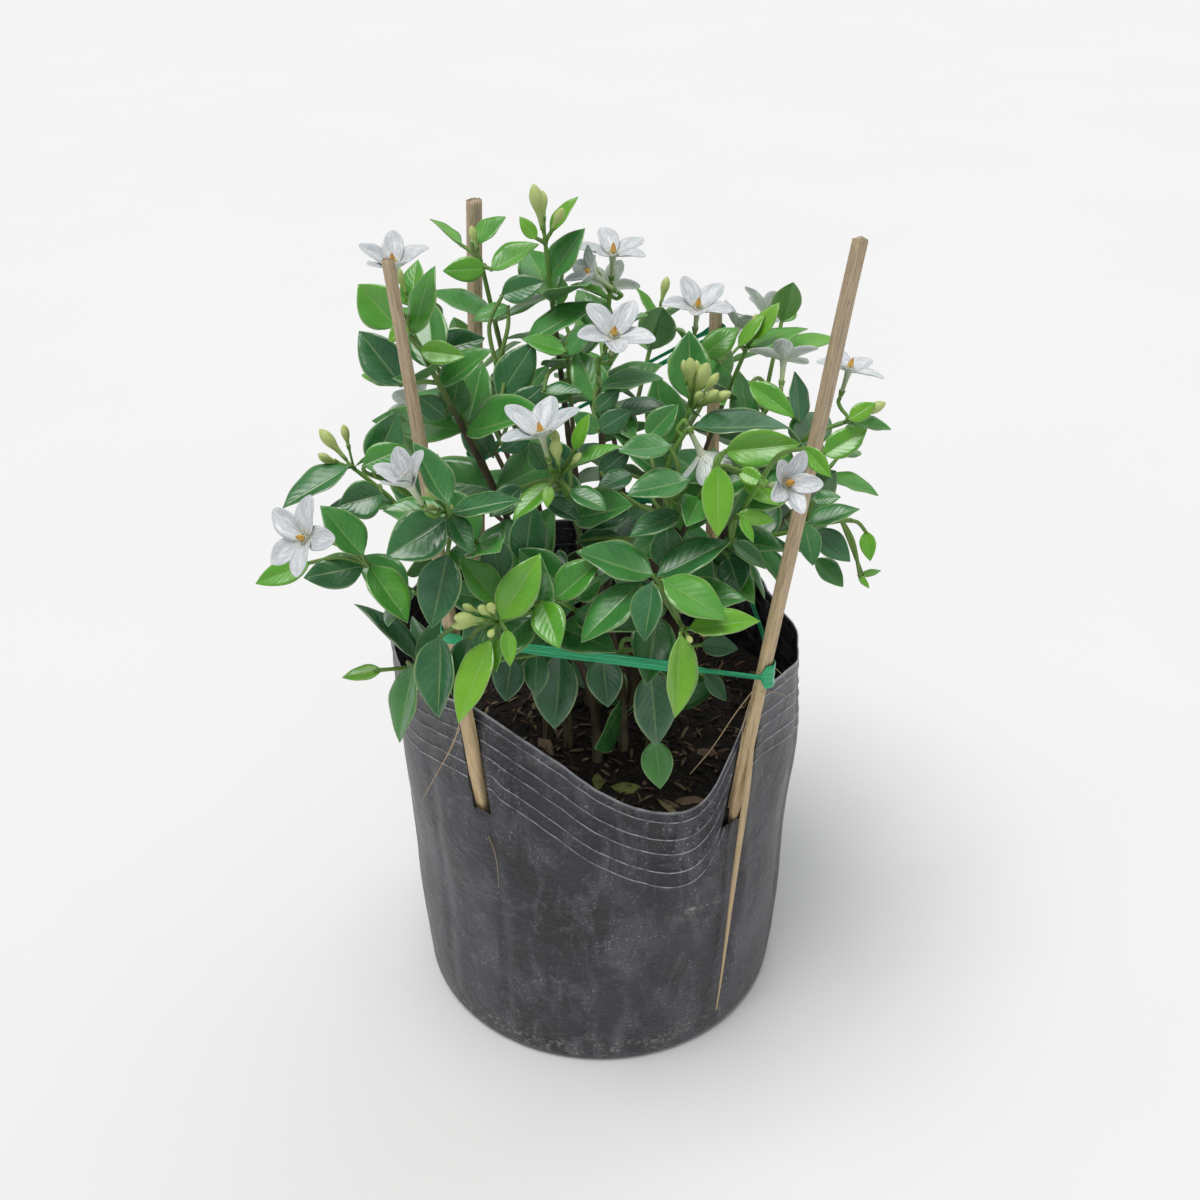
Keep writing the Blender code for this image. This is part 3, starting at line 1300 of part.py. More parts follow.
def grow_bush(middles, room):
    """Grow every shoot, stalk, bud and leaf and return them by leafy stem."""
    rng = np.random.default_rng(SEED)
    roots = place_roots()
    mains = {}
    for name, shoots in STEMS:
        main = grow_stem(name, shoots[0], roots[name], rng, room)
        verts, faces = main.shape()
        room.add(verts, faces, name)
        mains[name] = main
    shoots_by_key = {}
    stems = {}
    for name, shoots in STEMS:
        main = mains[name]
        shoots_by_key[main.key] = (main, 0.0)
        stems[name] = {"main": main, "sides": [], "small": [], "twigs": [], "leaves": []}
        for key in shoots[1:]:
            side = grow_side_shoot(name, key, main, rng, room)
            if side is None:
                print("left out shoot", key)
                continue
            verts, faces = side.shape()
            room.add(verts, faces, name)
            shoots_by_key[key] = (side, 0.012)
            stems[name]["sides"].append(side)
    for bloom in BLOOMS:
        shoot, _ = shoots_by_key[bloom[1]]
        facing = Vector(bloom[3]).normalized()
        stalk = add_stalk(shoot, middles[bloom[0]], facing, rng, room)
        if stalk is None:
            print("no clear stalk for", bloom[0])
        else:
            stems[shoot.owner]["small"].append(stalk)
    for key, count, length in BUDS:
        if key in shoots_by_key:
            shoot, _ = shoots_by_key[key]
            stems[shoot.owner]["small"].extend(add_buds(shoot, count, length, rng, room))
    for key, rows in LEAVES.items():
        if key in shoots_by_key:
            shoot, _ = shoots_by_key[key]
            leaves, twigs = add_seen_leaves(shoot, rows, rng, room)
            stems[shoot.owner]["leaves"].extend(leaves)
            stems[shoot.owner]["twigs"].extend(twigs)
    for key, (shoot, stop) in shoots_by_key.items():
        leaves = add_leaves(shoot, stop, rng, room)
        stems[shoot.owner]["leaves"].extend(leaves)
    return roots, stems


def build_stem(name, stem):
    """Fuse a main stem with its side shoots, stalks, buds and leaves."""
    body = rod(name, stem["main"].path, stem["main"].radii, 1, LEAF_GREEN)
    pieces = [rod("side_shoot", side.path, side.radii, 0) for side in stem["sides"]]
    pieces += [rod("stalk", path, radii, 0) for path, radii in stem["small"]]
    shapes = [tube(path, TWIG_RADII, 3) for path in stem["twigs"]]
    shapes += [leaf.shape(LEAF_THICKNESS) for leaf, _ in stem["leaves"]]
    for verts, faces in shapes:
        piece = add_object("leaf", verts, faces)
        make_outward(piece)
        pieces.append(piece)
    join_all(body, pieces)


def hole_for_stem(root):
    """Return the plain round hole that a stem stands in."""
    low = root + UP * (SOIL_LEVEL - 0.0303)
    high = root + UP * (SOIL_LEVEL + 0.020)
    return tube([low, high], (0.0039, 0.0039), 6)


def cut_soil(soil, roots):
    """Cut the holes for stems and stakes in the soil."""
    tools = []
    for name, root in roots.items():
        tools.append(add_object(name + "_hole", *hole_for_stem(root), None, cutters))
    for name in STAKES:
        tools.append(add_object(name + "_hole", *stake_shape(name, 0.0004), None, cutters))
    for tool in tools:
        make_outward(tool)
        cut(soil, tool)


def main():
    """Build every piece."""
    room = Room()
    bag = build_bag()
    for name in SLOTS:
        cut_slot(bag, name)
    soil = build_soil()
    make_outward(soil)
    for name in STAKES:
        build_stake(name)
    build_tie("tie_lower", LOWER_TIE, (PINCHED, SPREAD_OUT, SPREAD_OUT, SPREAD_OUT))
    build_tie("tie_upper", UPPER_TIE, (TWISTED, TWISTED))
    for obj in list(parts.objects):
        verts, faces = shape_of(obj)
        room.add(verts, faces, obj.name)
    middles = {}
    for name, _, middle, facing, openness, size, turn in BLOOMS:
        facing = Vector(facing).normalized()
        roll = petal_roll(facing, turn)
        middles[name] = clear_middle(middle, facing, openness, size, roll, room)
        build_bloom(name, middles[name], facing, openness, size, roll, room)
    roots, stems = grow_bush(middles, room)
    cut_soil(soil, roots)
    for name, stem in stems.items():
        build_stem(name, stem)
    print("leaves", sum(len(stem["leaves"]) for stem in stems.values()))


main()
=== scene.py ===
"""The looks of a potted water jasmine: its fine pieces and materials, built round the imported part.

Metres, +Z up, in the part's own frame: the origin is the middle of the bag's base on the floor and
-Y is the front. Stems, leaves, buds and blooms are placed by the same seeded rules as in the part.
"""
import math

import bpy
import bmesh
import numpy as np
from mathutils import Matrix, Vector, noise
from mathutils.bvhtree import BVHTree


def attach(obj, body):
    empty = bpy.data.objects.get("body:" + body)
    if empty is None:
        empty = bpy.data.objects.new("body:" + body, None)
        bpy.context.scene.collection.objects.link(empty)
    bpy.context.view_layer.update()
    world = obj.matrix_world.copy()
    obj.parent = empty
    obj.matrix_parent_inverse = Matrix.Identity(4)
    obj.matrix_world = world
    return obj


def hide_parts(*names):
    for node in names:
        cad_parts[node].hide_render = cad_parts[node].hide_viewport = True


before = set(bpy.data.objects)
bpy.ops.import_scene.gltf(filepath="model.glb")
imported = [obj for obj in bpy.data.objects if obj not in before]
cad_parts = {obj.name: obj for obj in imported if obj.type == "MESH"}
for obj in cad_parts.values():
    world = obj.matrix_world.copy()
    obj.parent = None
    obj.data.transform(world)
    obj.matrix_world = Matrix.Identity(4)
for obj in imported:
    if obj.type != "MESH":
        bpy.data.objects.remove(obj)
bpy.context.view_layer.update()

# Sizes shared with the part
BAG_BASE_RADIUS = 0.0921
BAG_RIM_RADIUS = 0.100
BAG_MEAN_HEIGHT = 0.205
GAP = 0.0004
SOIL_LEVEL = 0.150
STAKE_WIDTH = 0.0055
STAKE_DEPTH = 0.0041
TAPE_HEIGHT = 0.0052
TAPE_THICKNESS = 0.0006
WIDE_WRAP = 2.1
LEAF_THICKNESS = 0.0007
LEAF_LENGTH = 0.034
LEAF_ASPECT = 0.60
YOUNG_ASPECT = 0.44
PETAL_LENGTH = 0.0170
PETAL_WIDTH = 0.0096
PETAL_THICKNESS = 0.0006
PETAL_SWAY = 7.0
BUD_GIRTH = 0.155
TUBE_LENGTH = 0.014
LEAF_CLEARANCE = 0.0005
RIM_PULL_REACH = 0.055
BUSH_HEART = Vector((0.0, 0.005, 0.245))
BUSH_SHADE = 0.074
SEED = 41
FULL_TURN = 2 * math.pi
PETAL_COUNT = 5

# The photograph's camera, fitted to the bag's base and rim
EYE = Vector((0.0, -0.564, 0.568))
PITCH = math.radians(32.0)
FOCAL = 1398.0
PICTURE_CENTRE = 600.0
UP = Vector((0.0, 0.0, 1.0))
AHEAD = Vector((0.0, math.cos(PITCH), -math.sin(PITCH)))
DOWN = Vector((0.0, -math.sin(PITCH), -math.cos(PITCH)))


def sight_line(px, py):
    """Return the way to what the photograph shows at a pixel, one unit deep."""
    across = Vector(((px - PICTURE_CENTRE) / FOCAL, 0.0, 0.0))
    return across + AHEAD + DOWN * ((py - PICTURE_CENTRE) / FOCAL)


def seen_at(px, py, y):
    """Return the point of the upright plane y that the photograph shows at a pixel."""
    ray = sight_line(px, py)
    return EYE + ray * ((y - EYE.y) / ray.y)


def seen_beside(point, px, py, lean):
    """Return the point shown at a pixel, as deep as another point or nearer by a lean."""
    ray = sight_line(px, py)
    depth = (point - EYE).dot(AHEAD)
    reach = (EYE + ray * depth - point).length
    return EYE + ray * (depth - lean * reach)


# Rim of the bag: degrees from the front towards +X, height, how far it is pulled inward
RIM = (
    (-180, 0.205, 0.000), (-150, 0.207, 0.001), (-120, 0.203, 0.000), (-95, 0.204, 0.000),
    (-75, 0.204, 0.000), (-58, 0.207, 0.001), (-44, 0.212, 0.000), (-34, 0.213, 0.002),
    (-26, 0.207, 0.004), (-11, 0.190, 0.006), (3, 0.171, 0.008), (17, 0.158, 0.009),
    (27, 0.157, 0.007), (32, 0.168, 0.004), (37, 0.193, 0.001), (42, 0.213, 0.000),
    (50, 0.214, 0.000), (62, 0.209, 0.002), (75, 0.200, 0.004), (92, 0.195, 0.003),
    (108, 0.190, 0.003), (130, 0.200, 0.001), (155, 0.206, 0.000),
)

# Where the shoots end, either at a pixel of the photograph and a depth or hidden at the back
TIPS = {
    "far_left": seen_at(366, 563, -0.064),
    "left_buds": seen_at(352, 467, -0.030),
    "left_low": seen_at(380, 670, -0.052),
    "left_stake_top": seen_at(405, 318, -0.076),
    "left_upper": seen_at(440, 372, -0.050),
    "left_middle": seen_at(382, 478, -0.075),
    "left_inner": seen_at(448, 512, -0.116),
    "front_left_buds": seen_at(497, 622, -0.126),
    "front_left": seen_at(500, 588, -0.108),
    "top_left": seen_at(481, 262, 0.010),
    "top_left_inner": seen_at(496, 365, -0.015),
    "top_bud": seen_at(545, 240, 0.000),
    "top_inner": seen_at(567, 348, -0.030),
    "top_pair": seen_at(610, 292, 0.005),
    "upper_middle": seen_at(598, 362, -0.055),
    "middle_bloom": seen_at(560, 475, -0.085),
    "front_middle": seen_at(556, 599, -0.104),
    "front_upper": seen_at(672, 498, -0.092),
    "hanging": seen_at(683, 628, -0.120),
    "front_low": seen_at(620, 655, -0.072),
    "top_right": seen_at(702, 352, 0.010),
    "right_buds": seen_at(692, 408, -0.055),
    "right_inner": seen_at(684, 434, -0.078),
    "right_bright": seen_at(722, 455, -0.098),
    "right_middle": seen_at(733, 540, -0.085),
    "right_top": seen_at(776, 395, -0.010),
    "right_young": seen_at(748, 345, 0.010),
    "far_right": seen_at(848, 421, -0.010),
    "curled": seen_at(845, 520, -0.020),
    "by_right_stake": seen_at(762, 480, -0.108),
    "right_lower": seen_at(806, 530, -0.045),
    "back_left_low": Vector((-0.104, 0.082, 0.256)),
    "back_left": Vector((-0.070, 0.112, 0.300)),
    "back_left_high": Vector((-0.088, 0.052, 0.345)),
    "back_middle": Vector((0.000, 0.128, 0.300)),
    "back_middle_high": Vector((-0.020, 0.078, 0.335)),
    "back_middle_low": Vector((-0.038, 0.125, 0.236)),
    "back_right": Vector((0.066, 0.112, 0.292)),
    "back_right_high": Vector((0.028, 0.082, 0.326)),
    "back_right_low": Vector((0.086, 0.098, 0.240)),
    "back_far_right": Vector((0.118, 0.052, 0.268)),
    "back_far_right_high": Vector((0.084, 0.050, 0.338)),
}
# Joints that shoots pass just before they end
JOINTS = {
    "left_stake_top": seen_at(430, 372, -0.070),
    "front_left_buds": seen_at(545, 602, -0.110),
    "hanging": seen_at(656, 577, -0.104),
    "right_inner": seen_at(658, 462, -0.080),
    "right_bright": seen_at(706, 486, -0.100),
    "far_right": seen_at(815, 424, -0.015),
}

# Leafy stems: the first shoot is the stem's own end, the others branch off it
STEMS = (
    ("leafy_stem_far_left", ("far_left", "left_buds", "left_low")),
    ("leafy_stem_left_stake", ("left_stake_top", "left_upper", "left_middle")),
    ("leafy_stem_left_front", ("left_inner", "front_left_buds", "front_left")),
    ("leafy_stem_top_left", ("top_left", "top_left_inner")),
    ("leafy_stem_top", ("top_bud", "top_inner")),
    ("leafy_stem_top_middle", ("top_pair", "upper_middle")),
    ("leafy_stem_middle", ("middle_bloom", "front_middle")),
    ("leafy_stem_front", ("front_upper", "hanging", "front_low")),
    ("leafy_stem_top_right", ("top_right", "right_buds")),
    ("leafy_stem_right_inner", ("right_inner", "right_bright", "right_middle")),
    ("leafy_stem_right_top", ("right_top", "right_young")),
    ("leafy_stem_far_right", ("far_right", "curled")),
    ("leafy_stem_right_stake", ("by_right_stake", "right_lower")),
    ("leafy_stem_back_left", ("back_left", "back_left_low", "back_left_high")),
    ("leafy_stem_back", ("back_middle", "back_middle_high", "back_middle_low")),
    ("leafy_stem_back_right", ("back_right", "back_right_high", "back_right_low")),
    ("leafy_stem_back_far_right", ("back_far_right", "back_far_right_high")),
)

# Blooms: name, shoot that carries it, middle of the flower, the way it faces, how far it opens, size,
# turn of its first petal in degrees
BLOOMS = (
    ("bloom_left_stake", "left_stake_top", seen_at(393, 264, -0.086), (0.00, -0.20, 0.97), 0.42, 0.80, 10),
    ("bloom_top", "top_pair", seen_at(613, 252, 0.020), (0.05, -0.10, 1.00), 0.70, 0.95, 20),
    ("bloom_top_side", "top_pair", seen_at(592, 274, 0.002), (-0.75, -0.20, 0.62), 0.30, 0.74, 0),
    ("bloom_upper_middle", "upper_middle", seen_at(614, 334, -0.060), (0.08, -0.42, 0.90), 0.64, 0.92, 44),
    ("bloom_top_right", "top_right", seen_at(698, 306, 0.000), (0.05, -0.28, 0.96), 0.62, 0.90, 30),
    ("bloom_right_back", "top_right", seen_at(740, 324, 0.035), (0.40, 0.30, 0.85), 0.50, 0.85, 0),
    ("bloom_right_turned", "right_top", seen_at(784, 356, -0.005), (0.10, 0.62, 0.78), 0.78, 0.88, 36),
    ("bloom_far_right", "far_right", seen_at(850, 367, 0.000), (0.22, 0.05, 0.97), 0.80, 0.88, 12),
    ("bloom_middle", "middle_bloom", seen_at(541, 432, -0.090), (-0.20, -0.10, 0.97), 0.50, 1.02, 4),
    ("bloom_left_cup", "left_inner", seen_at(408, 482, -0.134), (-0.34, -0.26, 0.90), 0.05, 0.80, 30),
    ("bloom_far_left", "far_left", seen_at(303, 538, -0.076), (-0.52, -0.68, 0.50), 0.72, 1.05, -16),
    ("bloom_right_stake", "by_right_stake", seen_at(788, 483, -0.128), (0.42, -0.76, 0.46), 0.42, 0.74, -14),
    ("bloom_right_inner", "right_inner", seen_at(703, 457, -0.078), (0.45, -0.10, -0.88), 0.40, 0.78, 20),
    ("bloom_back_left", "back_left_low", Vector((-0.100, 0.124, 0.262)), (-0.50, 0.70, 0.50), 0.80, 1.00, 0),
    ("bloom_back", "back_middle", Vector((0.004, 0.158, 0.316)), (0.05, 0.80, 0.55), 0.80, 1.00, 36),
    ("bloom_back_right", "back_right", Vector((0.086, 0.134, 0.310)), (0.50, 0.60, 0.60), 0.62, 0.95, 12),
)

# Leaves that stand out in the photograph, by the shoot that carries them: root and tip pixels,
# depth of the root, how far the tip leans to the viewer, width for the length seen, youth
LEAVES = {
    "far_left": (
        (368, 563, 410, 618, -0.066, 0.15, 0.52, 0.50), (364, 557, 322, 501, -0.064, 0.20, 0.55, 0.35),
        (366, 566, 303, 577, -0.060, 0.10, 0.58, 0.20), (312, 562, 254, 583, -0.056, 0.00, 0.42, 0.70),
    ),
    "left_buds": (
        (350, 466, 280, 503, -0.034, 0.20, 0.38, 0.25), (384, 494, 338, 506, -0.045, 0.10, 0.85, 0.20),
    ),
    "left_low": (
        (380, 671, 338, 678, -0.052, 0.00, 0.38, 0.85), (414, 664, 392, 742, -0.062, -0.10, 0.38, 0.28),
        (416, 660, 360, 598, -0.050, -0.10, 0.34, 0.15),
    ),
    "left_stake_top": (
        (398, 328, 358, 284, -0.074, 0.20, 0.80, 0.60), (402, 386, 358, 330, -0.072, 0.10, 0.62, 0.15),
        (414, 336, 428, 265, -0.080, 0.30, 0.38, 0.50), (408, 324, 389, 341, -0.088, 0.30, 0.70, 0.82),
        (402, 386, 362, 371, -0.062, -0.10, 0.36, 0.60), (418, 350, 465, 356, -0.084, 0.20, 0.50, 0.82),
    ),
    "left_upper": (
        (432, 352, 484, 338, -0.048, 0.10, 0.66, 0.12), (438, 388, 487, 345, -0.060, 0.20, 0.34, 0.38),
        (450, 418, 460, 374, -0.062, 0.50, 0.85, 0.30), (446, 418, 418, 396, -0.066, 0.30, 0.80, 0.20),
    ),
    "left_middle": (
        (372, 470, 398, 412, -0.080, 0.20, 0.62, 0.30), (362, 466, 406, 447, -0.086, 0.10, 0.62, 0.40),
    ),
    "left_inner": (
        (447, 519, 387, 556, -0.122, 0.30, 0.78, 0.22), (449, 506, 414, 438, -0.124, 0.10, 0.46, 0.28),
        (451, 505, 521, 484, -0.112, 0.00, 0.30, 0.15), (446, 514, 376, 502, -0.112, 0.10, 0.42, 0.34),
        (454, 513, 476, 551, -0.116, 0.20, 0.58, 0.18), (448, 552, 430, 628, -0.120, 0.05, 0.58, 0.14),
    ),
    "front_left": (
        (500, 604, 462, 557, -0.118, 0.20, 0.56, 0.55), (500, 580, 492, 532, -0.104, 0.20, 0.74, 0.18),
        (486, 600, 443, 590, -0.112, 0.10, 0.70, 0.22), (524, 566, 533, 503, -0.096, 0.20, 0.62, 0.12),
    ),
    "front_left_buds": (
        (496, 622, 536, 556, -0.126, 0.25, 0.52, 0.80), (541, 600, 558, 646, -0.116, 0.50, 0.72, 0.66),
        (492, 638, 453, 722, -0.130, 0.00, 0.36, 0.92), (440, 634, 433, 718, -0.120, 0.05, 0.46, 0.10),
        (470, 636, 450, 700, -0.122, 0.00, 0.40, 0.20), (506, 628, 511, 666, -0.130, 0.20, 0.42, 0.85),
        (499, 634, 494, 672, -0.126, 0.20, 0.34, 0.90),
    ),
    "top_left": (
        (487, 268, 444, 271, 0.006, 0.30, 0.60, 0.70), (470, 244, 504, 215, 0.014, 0.20, 0.44, 0.58),
        (490, 271, 537, 241, 0.002, 0.10, 0.40, 0.55), (462, 246, 432, 216, 0.020, 0.00, 0.22, 0.62),
    ),
    "top_left_inner": (
        (498, 398, 534, 342, -0.026, 0.20, 0.62, 0.12), (510, 306, 472, 318, 0.000, 0.10, 0.40, 0.38),
        (502, 404, 459, 398, -0.034, 0.40, 0.50, 0.20), (500, 296, 543, 281, -0.004, 0.30, 0.62, 0.22),
        (494, 458, 458, 418, -0.050, 0.10, 0.62, 0.12), (502, 452, 533, 428, -0.050, 0.10, 0.60, 0.08),
    ),
    "top_bud": (
        (546, 282, 578, 228, -0.004, 0.30, 0.50, 0.32), (550, 234, 575, 193, -0.002, 0.20, 0.30, 0.85),
        (537, 240, 519, 216, 0.000, 0.20, 0.52, 0.85),
    ),
    "top_inner": (
        (567, 352, 522, 337, -0.034, 0.20, 0.46, 0.52), (526, 342, 600, 291, -0.024, 0.10, 0.30, 0.30),
        (566, 356, 590, 322, -0.034, 0.20, 0.50, 0.35), (510, 414, 543, 386, -0.040, 0.20, 0.62, 0.15),
        (541, 392, 583, 390, -0.044, 0.20, 0.32, 0.25),
    ),
    "upper_middle": (
        (600, 433, 573, 412, -0.066, 0.20, 0.62, 0.32), (597, 431, 632, 410, -0.062, 0.20, 0.62, 0.10),
        (595, 411, 620, 389, -0.058, 0.20, 0.62, 0.22), (600, 386, 661, 371, -0.058, 0.20, 0.30, 0.30),
        (617, 412, 668, 402, -0.054, 0.00, 0.38, 0.02),
    ),
    "middle_bloom": (
        (552, 482, 511, 518, -0.092, 0.20, 0.36, 0.72), (549, 484, 547, 507, -0.096, 0.30, 0.52, 0.90),
        (568, 490, 608, 507, -0.094, 0.20, 0.42, 0.30), (574, 452, 588, 413, -0.082, 0.20, 0.36, 0.85),
        (574, 466, 620, 442, -0.086, 0.10, 0.26, 0.62), (548, 470, 530, 442, -0.074, 0.20, 0.80, 0.30),
        (522, 486, 489, 516, -0.078, 0.10, 0.58, 0.12), (545, 501, 585, 520, -0.076, 0.10, 0.48, 0.08),
        (572, 472, 546, 438, -0.068, 0.10, 0.62, 0.08),
    ),
    "front_middle": (
        (560, 584, 519, 549, -0.102, 0.20, 0.74, 0.32), (554, 600, 600, 556, -0.110, 0.20, 0.56, 0.52),
        (574, 598, 601, 578, -0.100, 0.30, 0.80, 0.32),
    ),
    "front_upper": (
        (690, 480, 628, 489, -0.098, 0.30, 0.46, 0.28), (682, 512, 629, 534, -0.096, 0.20, 0.44, 0.20),
        (672, 446, 619, 449, -0.090, 0.20, 0.46, 0.30), (668, 572, 667, 522, -0.092, 0.20, 0.74, 0.18),
        (646, 438, 678, 404, -0.072, 0.20, 0.60, 0.30), (598, 474, 630, 450, -0.064, 0.20, 0.62, 0.08),
        (644, 474, 682, 443, -0.068, 0.20, 0.60, 0.28), (632, 503, 586, 526, -0.070, 0.10, 0.55, 0.06),
        (634, 474, 596, 487, -0.066, 0.20, 0.52, 0.10), (576, 542, 622, 532, -0.074, 0.20, 0.45, 0.14),
    ),
    "hanging": (
        (655, 576, 578, 548, -0.108, 0.15, 0.48, 0.28), (656, 577, 728, 537, -0.106, 0.10, 0.44, 0.22),
        (661, 579, 729, 617, -0.114, 0.15, 0.52, 0.62), (687, 629, 761, 616, -0.120, 0.00, 0.38, 0.88),
        (680, 632, 681, 719, -0.126, -0.15, 0.34, 0.95), (640, 583, 579, 640, -0.110, 0.10, 0.50, 0.34),
        (653, 581, 640, 652, -0.102, 0.00, 0.50, 0.14),
    ),
    "front_low": (
        (650, 668, 660, 747, -0.082, -0.10, 0.52, 0.10), (655, 738, 660, 790, -0.074, 0.00, 0.62, 0.36),
        (560, 650, 553, 730, -0.076, -0.10, 0.58, 0.06), (602, 654, 608, 708, -0.080, 0.00, 0.68, 0.06),
        (537, 652, 535, 697, -0.080, 0.00, 0.58, 0.12), (512, 656, 505, 702, -0.078, 0.10, 0.72, 0.06),
        (703, 674, 728, 700, -0.066, 0.00, 0.50, 0.10), (700, 644, 738, 648, -0.070, 0.20, 0.60, 0.10),
    ),
    "right_buds": (
        (690, 402, 689, 328, -0.052, 0.10, 0.62, 0.36),
    ),
    "right_inner": (
        (692, 428, 790, 417, -0.070, 0.00, 0.26, 0.08),
    ),
    "right_bright": (
        (722, 452, 801, 444, -0.084, 0.10, 0.50, 0.80), (719, 459, 719, 533, -0.094, 0.00, 0.44, 0.84),
        (742, 474, 779, 505, -0.090, 0.20, 0.48, 0.88), (738, 470, 766, 484, -0.096, 0.40, 0.60, 0.80),
    ),
    "right_middle": (
        (735, 537, 771, 563, -0.086, 0.10, 0.42, 0.20), (728, 556, 740, 590, -0.078, 0.30, 1.00, 0.05),
        (736, 514, 775, 520, -0.096, 0.10, 0.40, 0.84), (740, 516, 755, 542, -0.098, 0.20, 0.34, 0.78),
    ),
    "right_young": (
        (752, 341, 779, 301, 0.004, 0.20, 0.40, 0.90), (742, 350, 805, 320, 0.006, 0.00, 0.24, 0.55),
        (738, 348, 762, 312, 0.002, 0.20, 0.30, 0.86),
    ),
    "right_top": (
        (748, 382, 795, 416, -0.030, 0.20, 0.42, 0.72), (800, 424, 797, 371, -0.014, 0.10, 0.42, 0.12),
    ),
    "far_right": (
        (822, 456, 868, 428, -0.020, 0.10, 0.54, 0.74), (848, 420, 877, 402, -0.012, 0.10, 0.58, 0.84),
        (850, 423, 893, 427, -0.010, 0.00, 0.28, 0.50),
    ),
    "by_right_stake": (
        (803, 446, 832, 478, -0.120, 0.20, 0.46, 0.86),
    ),
    "right_lower": (
        (808, 525, 858, 504, -0.048, 0.10, 0.40, 0.28), (804, 522, 814, 565, -0.052, 0.20, 0.56, 0.26),
        (814, 530, 851, 561, -0.044, 0.10, 0.58, 0.12), (814, 558, 844, 586, -0.042, 0.10, 0.48, 0.36),
        (812, 500, 840, 496, -0.050, 0.40, 0.60, 0.30),
    ),
    "curled": (
        (866, 530, 870, 561, -0.020, 0.10, 0.52, 0.86), (860, 576, 881, 569, -0.022, 0.00, 0.34, 0.84),
        (858, 575, 870, 588, -0.022, 0.00, 0.36, 0.84),
    ),
}

# Bud clusters: shoot that carries them, how many, their mean length
BUDS = (
    ("top_bud", 3, 0.0145), ("top_pair", 4, 0.0130), ("left_buds", 4, 0.0130),
    ("front_left_buds", 6, 0.0120), ("middle_bloom", 3, 0.0120), ("right_buds", 8, 0.0145),
    ("left_inner", 5, 0.0075), ("far_right", 2, 0.0120), ("far_left", 1, 0.0080),
    ("top_left", 1, 0.0085), ("right_young", 1, 0.0085), ("hanging", 2, 0.0060),
    ("upper_middle", 2, 0.0105), ("back_left_high", 1, 0.0110), ("back_middle_high", 1, 0.0110),
    ("back_right_high", 1, 0.0110), ("back_far_right", 1, 0.0100),
)

# Shoots that end by pointing down or sideways instead of upward
TIP_LEANS = {
    "hanging": (0.20, -0.55, -0.80),
    "curled": (0.85, -0.10, 0.25),
    "left_low": (-0.90, -0.20, 0.10),
    "front_low": (0.10, -0.85, -0.30),
    "right_buds": (0.45, -0.15, 0.88),
    "left_buds": (-0.75, -0.10, 0.55),
    "right_lower": (0.80, -0.40, 0.20),
}


# Plain sums
def clamp(value):
    """Return a value held between 0 and 1."""
    return min(max(value, 0.0), 1.0)


def spoke(first, second, turn):
    """Return the direction at a turn from one axis towards another."""
    return first * math.cos(turn) + second * math.sin(turn)


def curve_weights(t):
    """Return the shares of a start, its slope, an end and its slope on a smooth curve."""
    return (
        2 * t ** 3 - 3 * t ** 2 + 1, t ** 3 - 2 * t ** 2 + t,
        3 * t ** 2 - 2 * t ** 3, t ** 3 - t ** 2,
    )


def zigzag(attempt, step):
    """Return a shift to one side and the other by turns, further each time."""
    return ((attempt + 1) // 2) * step * (-1) ** attempt


def scatter(rng, size):
    """Return a small random shift."""
    return Vector(rng.normal(size=3)) * size


def level(vector):
    """Return a vector without its height."""
    return Vector((vector.x, vector.y, 0.0))


def mean_of(points):
    """Return the middle of some points."""
    return sum(points, Vector((0.0, 0.0, 0.0))) / len(points)


def run_lengths(path):
    """Return how far along a path each of its points is."""
    lengths = [0.0]
    for a, b in zip(path, path[1:]):
        lengths.append(lengths[-1] + (b - a).length)
    return lengths


# Plain shapes
def loft(rings):
    """Join rings of equal length into a closed, capped solid."""
    count = len(rings[0])
    verts = [point for ring in rings for point in ring]
    faces = []
    for i in range(len(rings) - 1):
        a = i * count
        b = a + count
        for j in range(count):
            k = (j + 1) % count
            faces.append((a + j, a + k, b + k, b + j))
    faces.append(tuple(reversed(range(count))))
    faces.append(tuple(range(len(verts) - count, len(verts))))
    return verts, faces


def side_axes(axis):
    """Return two unit vectors square to an axis."""
    helper = UP if abs(axis.z) < 0.9 else Vector((0.0, 1.0, 0.0))
    first = axis.cross(helper).normalized()
    second = axis.cross(first).normalized()
    return first, second


def tube_rings(path, radii, sides):
    """Return the rings of a round tube along a path."""
    rings = []
    first, second = side_axes((path[1] - path[0]).normalized())
    for i, point in enumerate(path):
        before = path[max(i - 1, 0)]
        after = path[min(i + 1, len(path) - 1)]
        along = (after - before).normalized()
        first = (first - along * first.dot(along)).normalized()
        second = along.cross(first)
        ring = []
        for j in range(sides):
            ring.append(point + spoke(first, second, FULL_TURN * j / sides) * radii[i])
        rings.append(ring)
    return rings


def tube(path, radii, sides):
    """Return a capped tube along a path."""
    return loft(tube_rings(path, radii, sides))


def make_outward(obj):
    """Turn all faces of a closed mesh outward."""
    work = bmesh.new()
    work.from_mesh(obj.data)
    bmesh.ops.recalc_face_normals(work, faces=work.faces)
    work.to_mesh(obj.data)
    work.free()


def add_object(name, data):
    """Add an object to the scene."""
    made = bpy.data.objects.new(name, data)
    bpy.context.scene.collection.objects.link(made)
    return made


